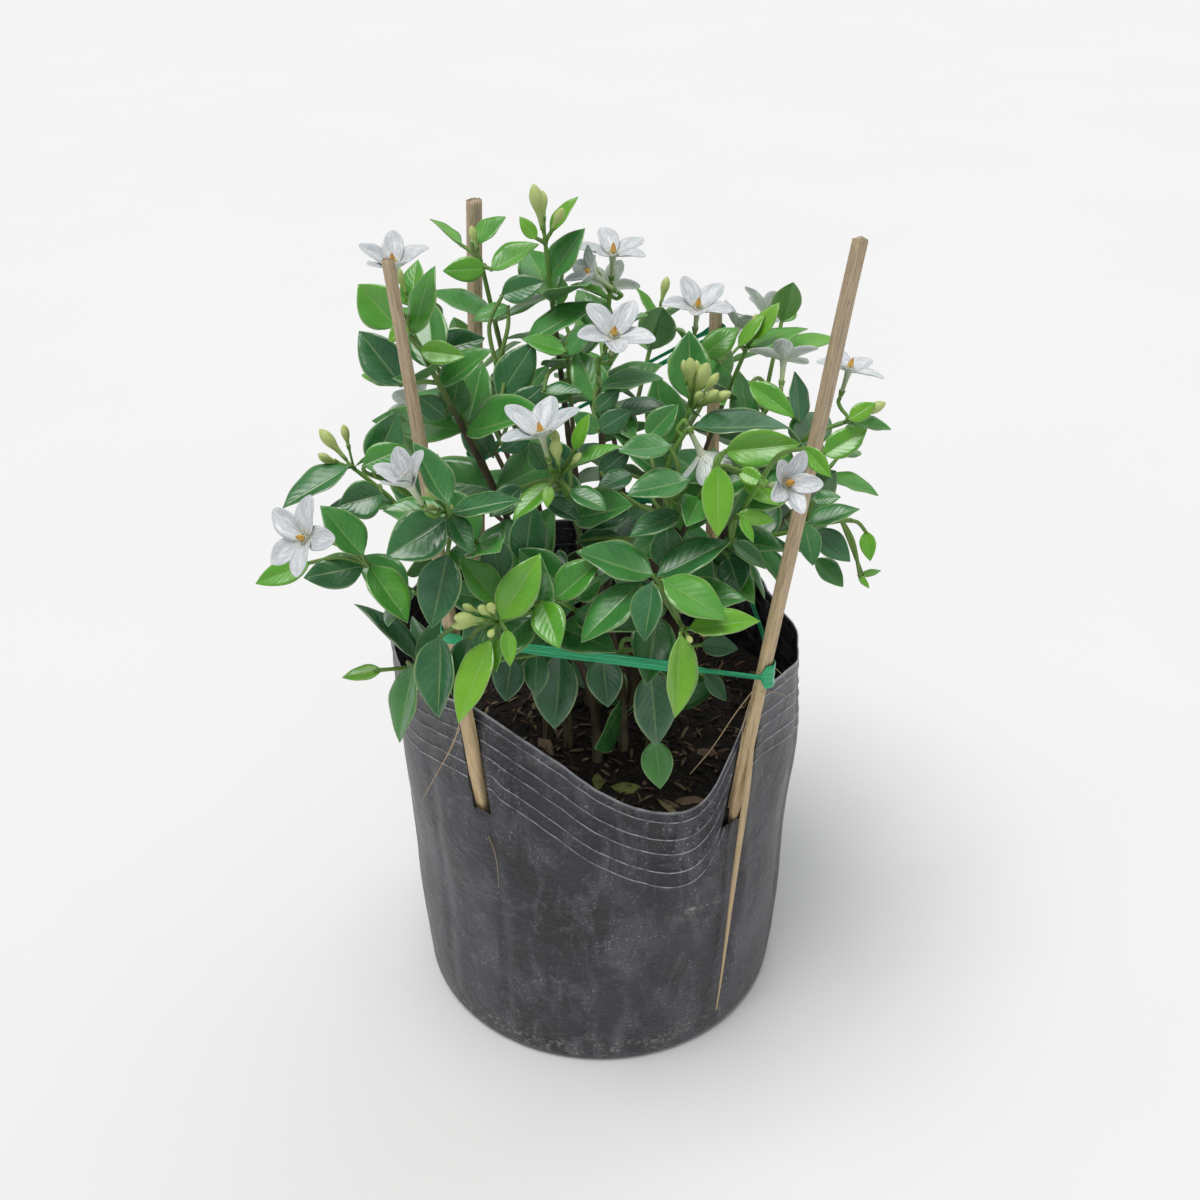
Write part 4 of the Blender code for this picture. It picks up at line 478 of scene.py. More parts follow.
# Bag and soil outlines
def rim_values(degrees):
    """Return the rim's height and pull at an angle, smoothed between the listed ones."""
    count = len(RIM)
    for i in range(count):
        start = RIM[i]
        end = RIM[(i + 1) % count]
        span = (end[0] - start[0]) % 360
        into = (degrees - start[0]) % 360
        if into <= span:
            before = RIM[i - 1]
            beyond = RIM[(i + 2) % count]
            t = into / span
            values = []
            for k in (1, 2):
                low = (end[k] - before[k]) * span / (((end[0] - before[0]) % 360) or 360)
                high = (beyond[k] - start[k]) * span / (((beyond[0] - start[0]) % 360) or 360)
                a, b, c, d = curve_weights(t)
                values.append(a * start[k] + b * low + c * end[k] + d * high)
            return values[0], values[1]
    return BAG_MEAN_HEIGHT, 0.0


def bag_radius(degrees, z):
    """Return the outside radius of the bag at an angle and height."""
    height, pull = rim_values(degrees)
    level = z / BAG_MEAN_HEIGHT
    radius = BAG_BASE_RADIUS + (BAG_RIM_RADIUS - BAG_BASE_RADIUS) * level ** 0.8
    near_rim = clamp((z - height + RIM_PULL_REACH) / RIM_PULL_REACH)
    radius -= pull * near_rim * near_rim * (3 - 2 * near_rim)
    turn = math.radians(degrees)
    radius += 0.0006 * math.sin(5 * turn + 9 * level) * math.sin(math.pi * min(level, 1.0))
    radius += 0.0005 * math.sin(11 * turn - 6 * level) * min(level * 2, 1.0)
    return radius


def ring_point(degrees, radius, z):
    """Return the point at an angle from the front, a radius and a height."""
    turn = math.radians(degrees)
    return Vector((radius * math.sin(turn), -radius * math.cos(turn), z))


def soil_height(x, y):
    """Return the height of the soil, a little mounded round the stems."""
    mound = 0.006 * math.exp(-(x * x + (y + 0.01) ** 2) / 0.0018)
    crumbs = 0.0007 * math.sin(210 * x + 60 * y) + 0.0006 * math.sin(190 * y - 80 * x)
    return SOIL_LEVEL + mound + crumbs


# Stakes: the top of each, a point lower down, the level of the foot, the girth at the foot and the top
STAKES = {
    "stake_front_left": (seen_at(388, 260, -0.112), Vector((-0.0535, -0.0785, 0.157)), 0.055, 1.40, 0.74),
    "stake_front_right": (seen_at(860, 240, -0.115), Vector((0.0607, -0.0725, 0.147)), 0.050, 1.18, 0.98),
    "stake_back_left": (seen_at(474, 200, 0.050), Vector((-0.0640, 0.0500, 0.150)), 0.045, 1.05, 1.25),
    "stake_back_right": (seen_at(716, 308, 0.050), Vector((0.0580, 0.0520, 0.150)), 0.045, 1.10, 1.05),
}
# How far aside and how thick a stake is along its length
STAKE_WAVES = ((0.0, 0.98), (0.0004, 1.0), (-0.0003, 0.98), (0.0003, 1.02), (0.0, 1.0))
# Slots in the film, as seen from the camera: lowest and highest level, edges beside the stake's middle
SLOTS = {
    "stake_front_left": (0.1520, 0.2010, -0.0047, 0.0051),
    "stake_front_right": (0.1392, 0.1930, -0.0056, 0.0055),
}
SPLINTER_TOP_LEVEL = 0.196
SPLINTER_TIP = Vector((0.0583, -0.0780, 0.022))


def stake_at(name, z):
    """Return the middle of a stake at a height."""
    top, hold = STAKES[name][:2]
    return top + (hold - top) * ((z - top.z) / (hold.z - top.z))


def stake_girth(name, z):
    """Return how many times its plain size a stake is at a height."""
    top, _, low, at_foot, at_top = STAKES[name]
    return at_foot + (at_top - at_foot) * (z - low) / (top.z - low)


def stake_axes(name):
    """Return a stake's sideways and outward directions."""
    top, hold = STAKES[name][:2]
    along = (top - hold).normalized()
    flat = level(hold).normalized()
    across = along.cross(flat).normalized()
    outward = across.cross(along).normalized()
    if outward.dot(flat) < 0:
        outward = -outward
    return across, outward


def slot_shape(name):
    """Return the block that cuts the slot where a front stake goes in, along the sight lines."""
    low, high, left, right = SLOTS[name]
    across, _ = stake_axes(name)
    rings = []
    for depth in (-0.018, 0.018):
        ring = []
        for z, aside in ((low, left), (low, right), (high, right), (high, left)):
            corner = stake_at(name, z) + across * aside
            ring.append(corner + (corner - EYE).normalized() * depth)
        rings.append(ring)
    return loft(rings)


# Tape
LOWER_TIE = (
    ("stake_front_left", 0.257), ("stake_front_right", 0.234),
    ("stake_back_right", 0.238), ("stake_back_left", 0.248),
)
UPPER_TIE = (("stake_back_left", 0.266), ("stake_back_right", 0.331))
# How tall the tape is along a stretch, by the share of the way from stake to stake
SPREAD_OUT = ((0.05, 0.8), (0.35, 1.0), (0.70, 0.9), (0.95, 0.7))
PINCHED = ((0.05, 0.8), (0.35, 1.0), (0.73, 0.95), (0.81, 0.40), (0.985, 0.42))
TWISTED = ((0.05, 0.5), (0.35, 0.35), (0.70, 0.45), (0.95, 0.5))


def tie_path(stops, stretches):
    """Return the middle line of a tape drawn tight round its stakes, and how tall it is there."""
    count = len(stops)
    middles = [stake_at(stake, z) for stake, z in stops]
    centre = mean_of(middles)
    path = []
    heights = []
    for i, middle in enumerate(middles):
        before = middles[i - 1]
        after = middles[(i + 1) % count]
        arrive = level(middle - before).normalized()
        leave = level(after - middle).normalized()
        out_a = turn_away(arrive, middle - centre, count)
        out_b = turn_away(leave, middle - centre, count)
        steps = 5 if count == 2 else 3
        reach = tie_reach(*stops[i])
        for k in range(steps):
            out = swing(out_a, out_b, k / (steps - 1), middle - centre)
            path.append(middle + out * reach)
            heights.append(WIDE_WRAP if stops[i][0] == "stake_front_right" else 1.0)
        end = after + turn_away(leave, after - centre, count) * tie_reach(*stops[(i + 1) % count])
        start = path[-1]
        for share, tall in stretches[i]:
            path.append(start.lerp(end, share))
            heights.append(tall)
    return path, heights


def tie_reach(stake, z):
    """Return how far from a stake's middle the tape round it runs."""
    return stake_girth(stake, z) * math.hypot(STAKE_WIDTH, STAKE_DEPTH) / 2 + TAPE_THICKNESS / 2 + 0.0006


def turn_away(along, outward, count):
    """Return the level direction square to a span that points away from the middle."""
    side = Vector((along.y, -along.x, 0.0))
    if count == 2:
        return side
    return side if side.dot(outward) > 0 else -side


def swing(first, last, share, outward):
    """Return a level direction part of the way round from one to another, past the outside."""
    start = math.atan2(first.y, first.x)
    end = math.atan2(last.y, last.x)
    turn = (end - start + math.pi) % FULL_TURN - math.pi
    middle = start + turn / 2
    if math.cos(middle) * outward.x + math.sin(middle) * outward.y < 0:
        turn -= math.copysign(FULL_TURN, turn)
    angle = start + turn * share
    return Vector((math.cos(angle), math.sin(angle), 0.0))


# Keeping things clear of each other
class Room:
    """Holds what is already placed and answers whether a new shape would cross it."""

    def __init__(self):
        self.items = []

    def add(self, verts, faces, owner):
        """Remember a placed shape."""
        middle, reach = self.ball(verts)
        self.items.append((BVHTree.FromPolygons(verts, faces), middle, reach, owner))

    def ball(self, verts):
        """Return a ball that holds all the points."""
        middle = mean_of(verts)
        return middle, max((v - middle).length for v in verts)

    def is_clear(self, verts, faces, skip=()):
        """Tell whether a shape crosses nothing that is placed, apart from skipped owners."""
        middle, reach = self.ball(verts)
        tree = BVHTree.FromPolygons(verts, faces)
        for other, centre, size, owner in self.items:
            if owner in skip or (centre - middle).length > size + reach:
                continue
            if tree.overlap(other):
                return False
        return True


def shape_of(obj):
    """Return an object's points and faces."""
    verts = [v.co.copy() for v in obj.data.vertices]
    faces = [tuple(p.vertices) for p in obj.data.polygons]
    return verts, faces


# Blades: leaves and petals
LEAF_PROFILE = ((0.26, 0.93), (0.64, 0.88))
YOUNG_PROFILE = ((0.42, 0.92),)
PETAL_PROFILE = ((0.38, 0.88), (0.74, 0.82))


class Blade:
    """A leaf or petal: where it is rooted, how it lies and how it bends."""

    def __init__(self, root, along, normal, length, width, profile):
        self.root = root
        self.along = along.normalized()
        self.normal = (normal - self.along * normal.dot(self.along)).normalized()
        self.across = self.along.cross(self.normal)
        self.length = length
        self.width = width
        self.profile = profile
        self.droop = 0.0
        self.skew = 0.0

    def point(self, t, side):
        """Return the point at a share of the length and a sideways distance."""
        lift = -self.droop * self.length * t * t
        shift = side + self.skew * self.width * t
        return self.root + self.along * (self.length * t) + self.normal * lift + self.across * shift

    def shape(self, thickness, start=0.0, margin=0.0):
        """Return the thin closed blade, or the thicker one used to test for room."""
        up = self.normal * (thickness / 2 + margin)
        verts = [self.point(start, 0.0)]
        for t, share in self.profile:
            half = self.width / 2 * share + margin
            row = [self.point(t, -half), self.point(t, half)]
            verts.extend([p + up for p in row] + [p - up for p in row])
        verts.append(self.point(1.0, 0.0) + self.along * margin)
        return verts, blade_faces(len(self.profile))


def blade_faces(sections):
    """Return the triangles of a blade, split alike on both faces."""
    faces = []
    tip = 1 + 4 * sections
    last = 4 * (sections - 1)
    for a in (1, 3):
        faces.append((0, a + 1, a))
        for b in range(a, a + last, 4):
            faces += [(b, b + 1, b + 4), (b + 1, b + 5, b + 4)]
        faces.append((a + last, a + last + 1, tip))
    for a in (1, 2):
        faces.append((0, a, a + 2))
        for b in range(a, a + last, 4):
            faces += [(b, b + 4, b + 6), (b, b + 6, b + 2)]
        faces.append((a + last, tip, a + last + 2))
    return faces


# Where the blooms, shoots, buds and leaves are, by the part's own rules
BLOOM_TRIES = 14
BLOOM_STEP = 0.0025


def petal_roll(facing, degrees):
    """Return the turn of a bloom's first petal, given from the way that looks up in the picture."""
    first, second = side_axes(facing)
    return math.atan2(-DOWN.dot(second), -DOWN.dot(first)) + math.radians(degrees)


def bloom_petals(middle, facing, openness, size, roll):
    """Return the five petals of a bloom as blades."""
    first, second = side_axes(facing)
    petals = []
    for k in range(PETAL_COUNT):
        turn = roll + FULL_TURN * k / PETAL_COUNT
        lift = math.radians(8 + 55 * (1 - openness) + PETAL_SWAY * math.sin(2.6 * k + 4 * roll))
        out = spoke(first, second, turn)
        along = spoke(out, facing, lift)
        normal = facing * math.cos(lift) - out * math.sin(lift)
        root = middle - facing * 0.0016 + out * 0.0006
        petal = Blade(root, along, normal, PETAL_LENGTH * size, PETAL_WIDTH * size, PETAL_PROFILE)
        petal.droop = 0.10
        petal.skew = 0.16
        petals.append(petal)
    return petals


def bloom_base(middle, facing):
    """Return where the tube of a bloom starts."""
    return middle - facing * TUBE_LENGTH


def clear_middle(middle, facing, openness, size, roll, room):
    """Return the middle of a bloom, moved forward until the whole bloom has room."""
    for step in range(BLOOM_TRIES):
        moved = middle + facing * BLOOM_STEP * step
        shapes = [tube([bloom_base(moved, facing), moved], (0.0018, 0.0028), 6)]
        for petal in bloom_petals(moved, facing, openness, size, roll):
            shapes.append(petal.shape(PETAL_THICKNESS, margin=0.0006))
        if all(room.is_clear(verts, faces) for verts, faces in shapes):
            return moved
    raise RuntimeError("no room for a bloom")


# Stems
MAIN_STEPS = 6
SIDE_STEPS = 4
MAIN_SIDES = 6
SIDE_SIDES = 4
MAIN_RADIUS = 0.0031
MAIN_THINNING = 0.0022
SIDE_RADIUS = 0.0014
SIDE_TIP_RADIUS = 0.0009
STALK_RADII = (0.0008, 0.0008, 0.0009, 0.0009, 0.0010)
STALK_ROOM = (0.0012, 0.0013, 0.0013, 0.0013)
MAIN_MARGIN = 0.0007
SIDE_MARGIN = 0.0006
TWIG_MARGIN = 0.0004
# How far the guide points of a path move at each new try
MAIN_SHAKE = 0.0006
SIDE_SHAKE = 0.0005
STALK_SHAKE = 0.0004
MAIN_TRIES = 200
SIDE_TRIES = 240
STALK_TRIES = 60
BUD_TRIES = 30
ROOT_HEART = Vector((0.0, -0.012, 0.0))
ROOT_TRIES = 80
ROOT_TURN = 0.22
ROOT_GAP = 0.0105
ROOT_DEPTH = 0.030
# Where side shoots leave their stem, as shares of its length, tried one after another
SIDE_STARTS = (0.42, 0.52, 0.32, 0.60, 0.24, 0.68)


def bend(a, b, c, d, steps):
    """Return points along a smooth curve from a to d, led by b and c."""
    points = []
    for i in range(steps + 1):
        t = i / steps
        s = 1 - t
        points.append(a * s ** 3 + b * (3 * s * s * t) + c * (3 * s * t * t) + d * t ** 3)
    return points


class Shoot:
    """A stem or side shoot: its path from the root end to the tip, and its thickness."""

    def __init__(self, key, path, radii, sides, owner):
        self.key = key
        self.path = path
        self.radii = radii
        self.sides = sides
        self.owner = owner
        self.lengths = run_lengths(path)

    def at(self, distance):
        """Return the point, direction and thickness at a distance back from the tip."""
        wanted = max(self.lengths[-1] - distance, 0.0)
        for i in range(len(self.path) - 1):
            if wanted <= self.lengths[i + 1] or i == len(self.path) - 2:
                step = self.lengths[i + 1] - self.lengths[i]
                t = (wanted - self.lengths[i]) / step
                point = self.path[i].lerp(self.path[i + 1], t)
                radius = self.radii[i] * (1 - t) + self.radii[i + 1] * t
                return point, (self.path[i + 1] - self.path[i]).normalized(), radius
        return self.path[0], UP, self.radii[0]

    def shape(self, margin=0.0, skip=0):
        """Return the tube, or a thicker one used to test for room."""
        radii = [r + margin for r in self.radii]
        return tube(self.path[skip:], radii[skip:], self.sides)


def tip_direction(key, start, tip):
    """Return the way a shoot points at its end."""
    if key in TIP_LEANS:
        return Vector(TIP_LEANS[key]).normalized()
    flat = level(tip - start)
    rise = max(tip.z - start.z, 0.02)
    return (flat * 0.9 + UP * rise * 0.75).normalized()


def lead_in(key, tip, toward, reach):
    """Return the last guide point of a shoot, which leads it past its joint."""
    if key in JOINTS:
        return JOINTS[key] + (JOINTS[key] - tip) * 0.35
    return tip - toward * reach * 0.32


def place_roots():
    """Spread the stems over the soil, each towards the side where it leads."""
    roots = {}
    for name, shoots in STEMS:
        tip = TIPS[shoots[0]]
        flat = level(tip) - ROOT_HEART
        angle = math.atan2(flat.y, flat.x)
        for k in range(ROOT_TRIES):
            turn = angle + zigzag(k, ROOT_TURN)
            reach = 0.010 + 0.17 * flat.length + 0.0025 * (k // 6)
            spot = ROOT_HEART + Vector((math.cos(turn), math.sin(turn), 0.0)) * reach
            if all((spot - other).length > ROOT_GAP for other in roots.values()):
                break
        roots[name] = spot
    return roots


def grow_stem(name, key, root, rng, room):
    """Find a clear path for a main stem from its hole to its tip."""
    foot = root + UP * (SOIL_LEVEL - ROOT_DEPTH)
    start = root + UP * (SOIL_LEVEL + 0.014)
    tip = TIPS[key]
    toward = tip_direction(key, start, tip)
    reach = (tip - start).length
    for attempt in range(MAIN_TRIES):
        shake = MAIN_SHAKE * attempt
        lead = start + UP * reach * 0.33 + scatter(rng, shake)
        follow = lead_in(key, tip, toward, reach) + scatter(rng, shake)
        curve = bend(start, lead, follow, tip, MAIN_STEPS)
        path = [foot] + curve
        radii = [MAIN_RADIUS - MAIN_THINNING * (i / len(curve)) ** 0.5 for i in range(len(path))]
        shoot = Shoot(key, path, radii, MAIN_SIDES, name)
        verts, faces = shoot.shape(margin=MAIN_MARGIN, skip=1)
        if room.is_clear(verts, faces):
            return shoot
    raise RuntimeError("no clear path for " + name)


def grow_side_shoot(name, key, main, rng, room):
    """Find a clear path for a side shoot off its main stem."""
    tip = TIPS[key]
    for attempt in range(SIDE_TRIES):
        share = SIDE_STARTS[attempt % len(SIDE_STARTS)]
        start, leading, girth = main.at(main.lengths[-1] * (1 - share))
        if start.z < SOIL_LEVEL + 0.018 or start.z > max(tip.z + 0.02, SOIL_LEVEL + 0.05):
            continue
        toward = tip_direction(key, start, tip)
        reach = (tip - start).length
        aim = (tip - start).normalized()
        shake = SIDE_SHAKE * attempt
        lead = start + (leading * 0.6 + aim * 0.6) * reach * 0.33
        lead = lead + scatter(rng, shake)
        follow = lead_in(key, tip, toward, reach) + scatter(rng, shake)
        path = bend(start, lead, follow, tip, SIDE_STEPS)
        thick = min(SIDE_RADIUS, girth * 0.72)
        radii = [thick - (thick - SIDE_TIP_RADIUS) * i / SIDE_STEPS for i in range(SIDE_STEPS + 1)]
        shoot = Shoot(key, path, radii, SIDE_SIDES, name)
        verts, faces = shoot.shape(margin=SIDE_MARGIN)
        if room.is_clear(verts, faces, skip=(name,)):
            return shoot
    return None


def add_stalk(shoot, middle, facing, rng, room):
    """Join a bloom's tube to its shoot with a thin stalk that stops a hair short."""
    base = bloom_base(middle, facing)
    tip, direction, _ = shoot.at(0.0012)
    for attempt in range(STALK_TRIES):
        shake = STALK_SHAKE * attempt
        reach = (base - tip).length
        lead = tip + direction * reach * 0.35 + scatter(rng, shake)
        follow = base - facing * (reach * 0.35 + 0.001)
        path = bend(tip, lead, follow, base - facing * 0.0025, 3)
        path.append(base - facing * 0.0005)
        if room.is_clear(*tube(path[:4], STALK_ROOM, 4), skip=(shoot.owner,)):
            room.add(*tube(path, STALK_RADII, 4), shoot.owner)
            return path
    return None


def bud_line(start, direction, stalk, length):
    """Return the path and radii of a club-shaped bud on its short stalk."""
    path = [
        start, start + direction * stalk, start + direction * (stalk + length * 0.66),
        start + direction * (stalk + length),
    ]
    return path, (0.0006, 0.0007, length * BUD_GIRTH, 0.0004)


def add_buds(shoot, count, length, rng, room):
    """Set a loose cluster of buds round the end of a shoot."""
    made = []
    tip, direction, _ = shoot.at(0.0010)
    first, second = side_axes(direction)
    for k in range(count):
        for attempt in range(BUD_TRIES):
            turn = 2.4 * k + rng.uniform(-0.5, 0.5) + attempt * 0.5
            lean = rng.uniform(0.05, 0.25) if k == 0 else rng.uniform(0.30, 0.85)
            out = spoke(first, second, turn)
            aim = (spoke(direction, out, lean) + UP * 0.25).normalized()
            size = length * (1.3 if k == 0 else rng.uniform(0.70, 1.1))
            stalk = rng.uniform(0.003, 0.007) + 0.0015 * (k % 3)
            path, radii = bud_line(tip, aim, stalk, size)
            wide = bud_line(path[1], aim, 0.0005, size * 1.15)
            slim = tube(path, [radius + TWIG_MARGIN for radius in radii], 4)
            if room.is_clear(*tube(*wide, 4)) and room.is_clear(*slim, skip=(shoot.owner,)):
                room.add(*tube(path, radii, 4), shoot.owner)
                made.append(path)
                break
    return made


# Leaves
TWIG_RADII = (0.0010, 0.0009, 0.0008)
# Pairs of leaves from the tip of a shoot back: size, spread from the shoot, droop, way to the next
PAIRS = (
    (0.62, 0.75, 0.00, 0.012), (0.88, 0.95, 0.05, 0.019),
    (1.00, 1.10, 0.12, 0.024), (1.00, 1.20, 0.22, 0.027),
)
# First pair, its way back from the tip and how loosely the pairs follow: where some are given, elsewhere
PAIRS_BEHIND_SEEN = (1, 0.026, 1.75)
PAIRS_ALONE = (0, 0.003, 1.28)
SHADED_SKIP = 0.85
SMALL_LEAF = 0.94
SEEN_TRIES = 20
LEAF_TRIES = 14
# How far a leaf moves in depth or turns round its shoot at each new try, and how much it shrinks
SEEN_SHIFT = 0.003
LEAF_TURN = 0.24
SEEN_SHRINK = 0.014
LEAF_SHRINK = 0.022
# Share of a leaf, from its root, that may come near its own stem: where it is given, elsewhere
SEEN_STALK = 0.16
PAIR_STALK = 0.13
LOWEST_LEAF = SOIL_LEVEL + 0.028
# How far from its joint a side shoot's leaves stop
SIDE_STOP = 0.012


def leaf_blade(shoot, distance, roll, spread, size, droop, rng):
    """Return one leaf as a blade rooted in its shoot."""
    point, direction, girth = shoot.at(distance)
    first, second = side_axes(direction)
    out = spoke(first, second, roll)
    along = spoke(direction, out, spread) - UP * droop
    along.normalize()
    outward = (point - BUSH_HEART).normalized()
    face = UP * 0.75 + outward * 0.65 + scatter(rng, 0.16)
    if face.cross(along).length < 0.2:
        face = direction + outward
    root = point + along * girth * 0.2
    length = LEAF_LENGTH * size
    profile = YOUNG_PROFILE if size < SMALL_LEAF else LEAF_PROFILE
    leaf = Blade(root, along, face, length, length * LEAF_ASPECT, profile)
    leaf.droop = rng.uniform(0.04, 0.22)
    return leaf


def seen_leaf(row, shift, shrink, rng):
    """Return a leaf that stands out in the photograph as a blade with the shape it shows."""
    root_x, root_y, tip_x, tip_y, depth, lean, share, youth = row
    root = seen_at(root_x, root_y, depth + shift)
    along = (seen_beside(root, tip_x, tip_y, lean) - root) * shrink
    view = EYE - root
    view = (view - along * view.dot(along) / along.dot(along)).normalized()
    side = along.cross(view).normalized()
    if side.z < 0:
        side.negate()
    shown = share / math.hypot(1.0, lean)
    aspect = max(shown, YOUNG_ASPECT if youth > 0.65 else LEAF_ASPECT)
    turn = math.acos(shown / aspect)
    face = spoke(view, side, turn) + scatter(rng, 0.05)
    leaf = Blade(root, along, face, along.length, along.length * aspect, LEAF_PROFILE)
    leaf.droop = rng.uniform(0.03, 0.12)
    return leaf


def leaf_twig(shoot, leaf, room):
    """Return the path of a twig from a shoot to a leaf, an empty one if they already meet."""
    spots = []
    distance = 0.0015
    while distance < shoot.lengths[-1]:
        point, direction, _ = shoot.at(distance)
        spots.append(((point - leaf.root).length, distance, point, direction))
        distance += 0.003
    spots.sort(key=lambda spot: spot[0] + abs(spot[1] - 0.004) * 0.05)
    if spots[0][0] < 0.004:
        leaf.root = spots[0][2]
        return ()
    for reach, _, point, direction in spots[:14]:
        lead = point + direction * reach * 0.35
        follow = leaf.root - leaf.along * reach * 0.30
        path = bend(point, lead, follow, leaf.root + leaf.along * 0.0012, len(TWIG_RADII) - 1)
        wide = tube(path, [radius + TWIG_MARGIN for radius in TWIG_RADII], 3)
        if room.is_clear(*wide, skip=(shoot.owner,)):
            return path
    return None


def keep_leaf(leaf, shoot, stalk, pair, youth, room):
    """Keep a leaf where it has room, and tell whether it had."""
    outer = leaf.shape(LEAF_THICKNESS, start=stalk, margin=LEAF_CLEARANCE)
    whole = leaf.shape(LEAF_THICKNESS, margin=LEAF_CLEARANCE)
    if not (room.is_clear(*outer) and room.is_clear(*whole, skip=(shoot.owner,))):
        return False
    room.add(*leaf.shape(LEAF_THICKNESS), shoot.owner)
    leaf.item = len(room.items) - 1
    leaf.key = shoot.key
    leaf.pair = pair
    leaf.youth = youth
    return True


def add_seen_leaves(shoot, rows, rng, room):
    """Set the leaves that stand out in the photograph, with twigs to carry them."""
    leaves = []
    twigs = []
    for row in rows:
        for attempt in range(SEEN_TRIES):
            shift = zigzag(attempt, SEEN_SHIFT)
            leaf = seen_leaf(row, shift, 1 - SEEN_SHRINK * attempt, rng)
            path = leaf_twig(shoot, leaf, room)
            if path is None:
                continue
            if keep_leaf(leaf, shoot, SEEN_STALK, 0, row[-1], room):
                leaves.append(leaf)
                if path:
                    twigs.append(path)
                    room.add(*tube(path, TWIG_RADII, 3), shoot.owner)
                break
    return leaves, twigs


def add_leaves(shoot, stop, rng, room):
    """Set pairs of leaves back along a shoot, each turned until it has room."""
    made = []
    pair, distance, spacing = PAIRS_BEHIND_SEEN if shoot.key in LEAVES else PAIRS_ALONE
    roll = rng.uniform(0, math.pi)
    end = shoot.lengths[-1] - stop
    while distance < end:
        point = shoot.at(distance)[0]
        if point.z < LOWEST_LEAF:
            break
        shaded = (point - BUSH_HEART).length < BUSH_SHADE
        share, spread, droop, way = PAIRS[min(pair, len(PAIRS) - 1)]
        size = share * rng.uniform(0.88, 1.12)
        for side in (0.0, math.pi):
            if shaded and rng.uniform() < SHADED_SKIP:
                continue
            for attempt in range(LEAF_TRIES):
                turn = roll + side + zigzag(attempt, LEAF_TURN)
                open_up = spread + rng.uniform(-0.18, 0.18) * (1 + attempt / 8)
                scale = size * (1.0 - LEAF_SHRINK * attempt)
                leaf = leaf_blade(shoot, distance, turn, open_up, scale, droop, rng)
                if keep_leaf(leaf, shoot, PAIR_STALK, pair, None, room):
                    made.append(leaf)
                    break
        roll += math.pi / 2 + rng.uniform(-0.25, 0.25)
        distance += way * rng.uniform(0.9, 1.15) * spacing
        pair += 1
    return made


def grow_shoots(rng, room):
    """Grow all main stems, then their side shoots, and say where each shoot's leaves stop."""
    roots = place_roots()
    mains = {}
    for name, shoots in STEMS:
        mains[name] = grow_stem(name, shoots[0], roots[name], rng, room)
        room.add(*mains[name].shape(), name)
    shoots_by_key = {}
    stems = {}
    for name, shoots in STEMS:
        main = mains[name]
        shoots_by_key[main.key] = (main, 0.0)
        stems[name] = {"main": main, "sides": [], "stalks": [], "buds": [], "twigs": [], "leaves": []}
        for key in shoots[1:]:
            side = grow_side_shoot(name, key, main, rng, room)
            if side is not None:
                room.add(*side.shape(), name)
                shoots_by_key[key] = (side, SIDE_STOP)
                stems[name]["sides"].append(side)
    return stems, shoots_by_key


def grow_bush(middles, room):
    """Grow every shoot, stalk, bud and leaf and return them by leafy stem."""
    rng = np.random.default_rng(SEED)
    stems, shoots_by_key = grow_shoots(rng, room)
    for bloom in BLOOMS:
        shoot, _ = shoots_by_key[bloom[1]]
        facing = Vector(bloom[3]).normalized()
        stalk = add_stalk(shoot, middles[bloom[0]], facing, rng, room)
        if stalk is not None:
            stems[shoot.owner]["stalks"].append(stalk)
    for key, count, length in BUDS:
        if key in shoots_by_key:
            shoot, _ = shoots_by_key[key]
            stems[shoot.owner]["buds"].extend(add_buds(shoot, count, length, rng, room))
    for key, rows in LEAVES.items():
        if key in shoots_by_key:
            shoot, _ = shoots_by_key[key]
            leaves, twigs = add_seen_leaves(shoot, rows, rng, room)
            stems[shoot.owner]["leaves"].extend(leaves)
            stems[shoot.owner]["twigs"].extend(twigs)
    for key, (shoot, stop) in shoots_by_key.items():
        stems[shoot.owner]["leaves"].extend(add_leaves(shoot, stop, rng, room))
    return stems


# Gathering a piece
class Piece:
    """Gathers points, faces and values of one visible piece until it becomes an object."""

    VALUES = ("tone", "across", "along", "under")

    def __init__(self, name, looks, slot, *nodes):
        self.name = name
        self.looks = looks
        self.slot = slot
        self.nodes = nodes
        self.points = []
        self.faces = []
        self.look = []
        self.values = {key: [] for key in self.VALUES}
        self.count = 0

    def add(self, points, faces, look=0, **values):
        """Add a closed shape, with one look and a number or a list for each value."""
        points = np.array([tuple(p) for p in points], dtype=float)
        self.points.append(points)
        self.faces += [tuple(i + self.count for i in face) for face in faces]
        self.look += [look] * len(faces)
        for key in self.VALUES:
            value = np.asarray(values.get(key, 0.0), dtype=float).ravel()
            self.values[key].append(np.broadcast_to(value, (len(points),)))
        self.count += len(points)

    def finish(self):
        """Make the object, and say what it rides on and what it replaces."""
        mesh = bpy.data.meshes.new(self.name)
        mesh.from_pydata(np.concatenate(self.points).tolist(), [], self.faces)
        for look in self.looks:
            mesh.materials.append(look)
        mesh.polygons.foreach_set("material_index", self.look)
        for key in self.VALUES:
            stored = mesh.attributes.new(key, "FLOAT", "POINT")
            stored.data.foreach_set("value", np.concatenate(self.values[key]).astype(np.float32))
        mesh.update()
        mesh.shade_smooth()
        made = add_object(self.name, mesh)
        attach(made, "root")
        if self.nodes:
            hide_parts(*self.nodes)
        return made


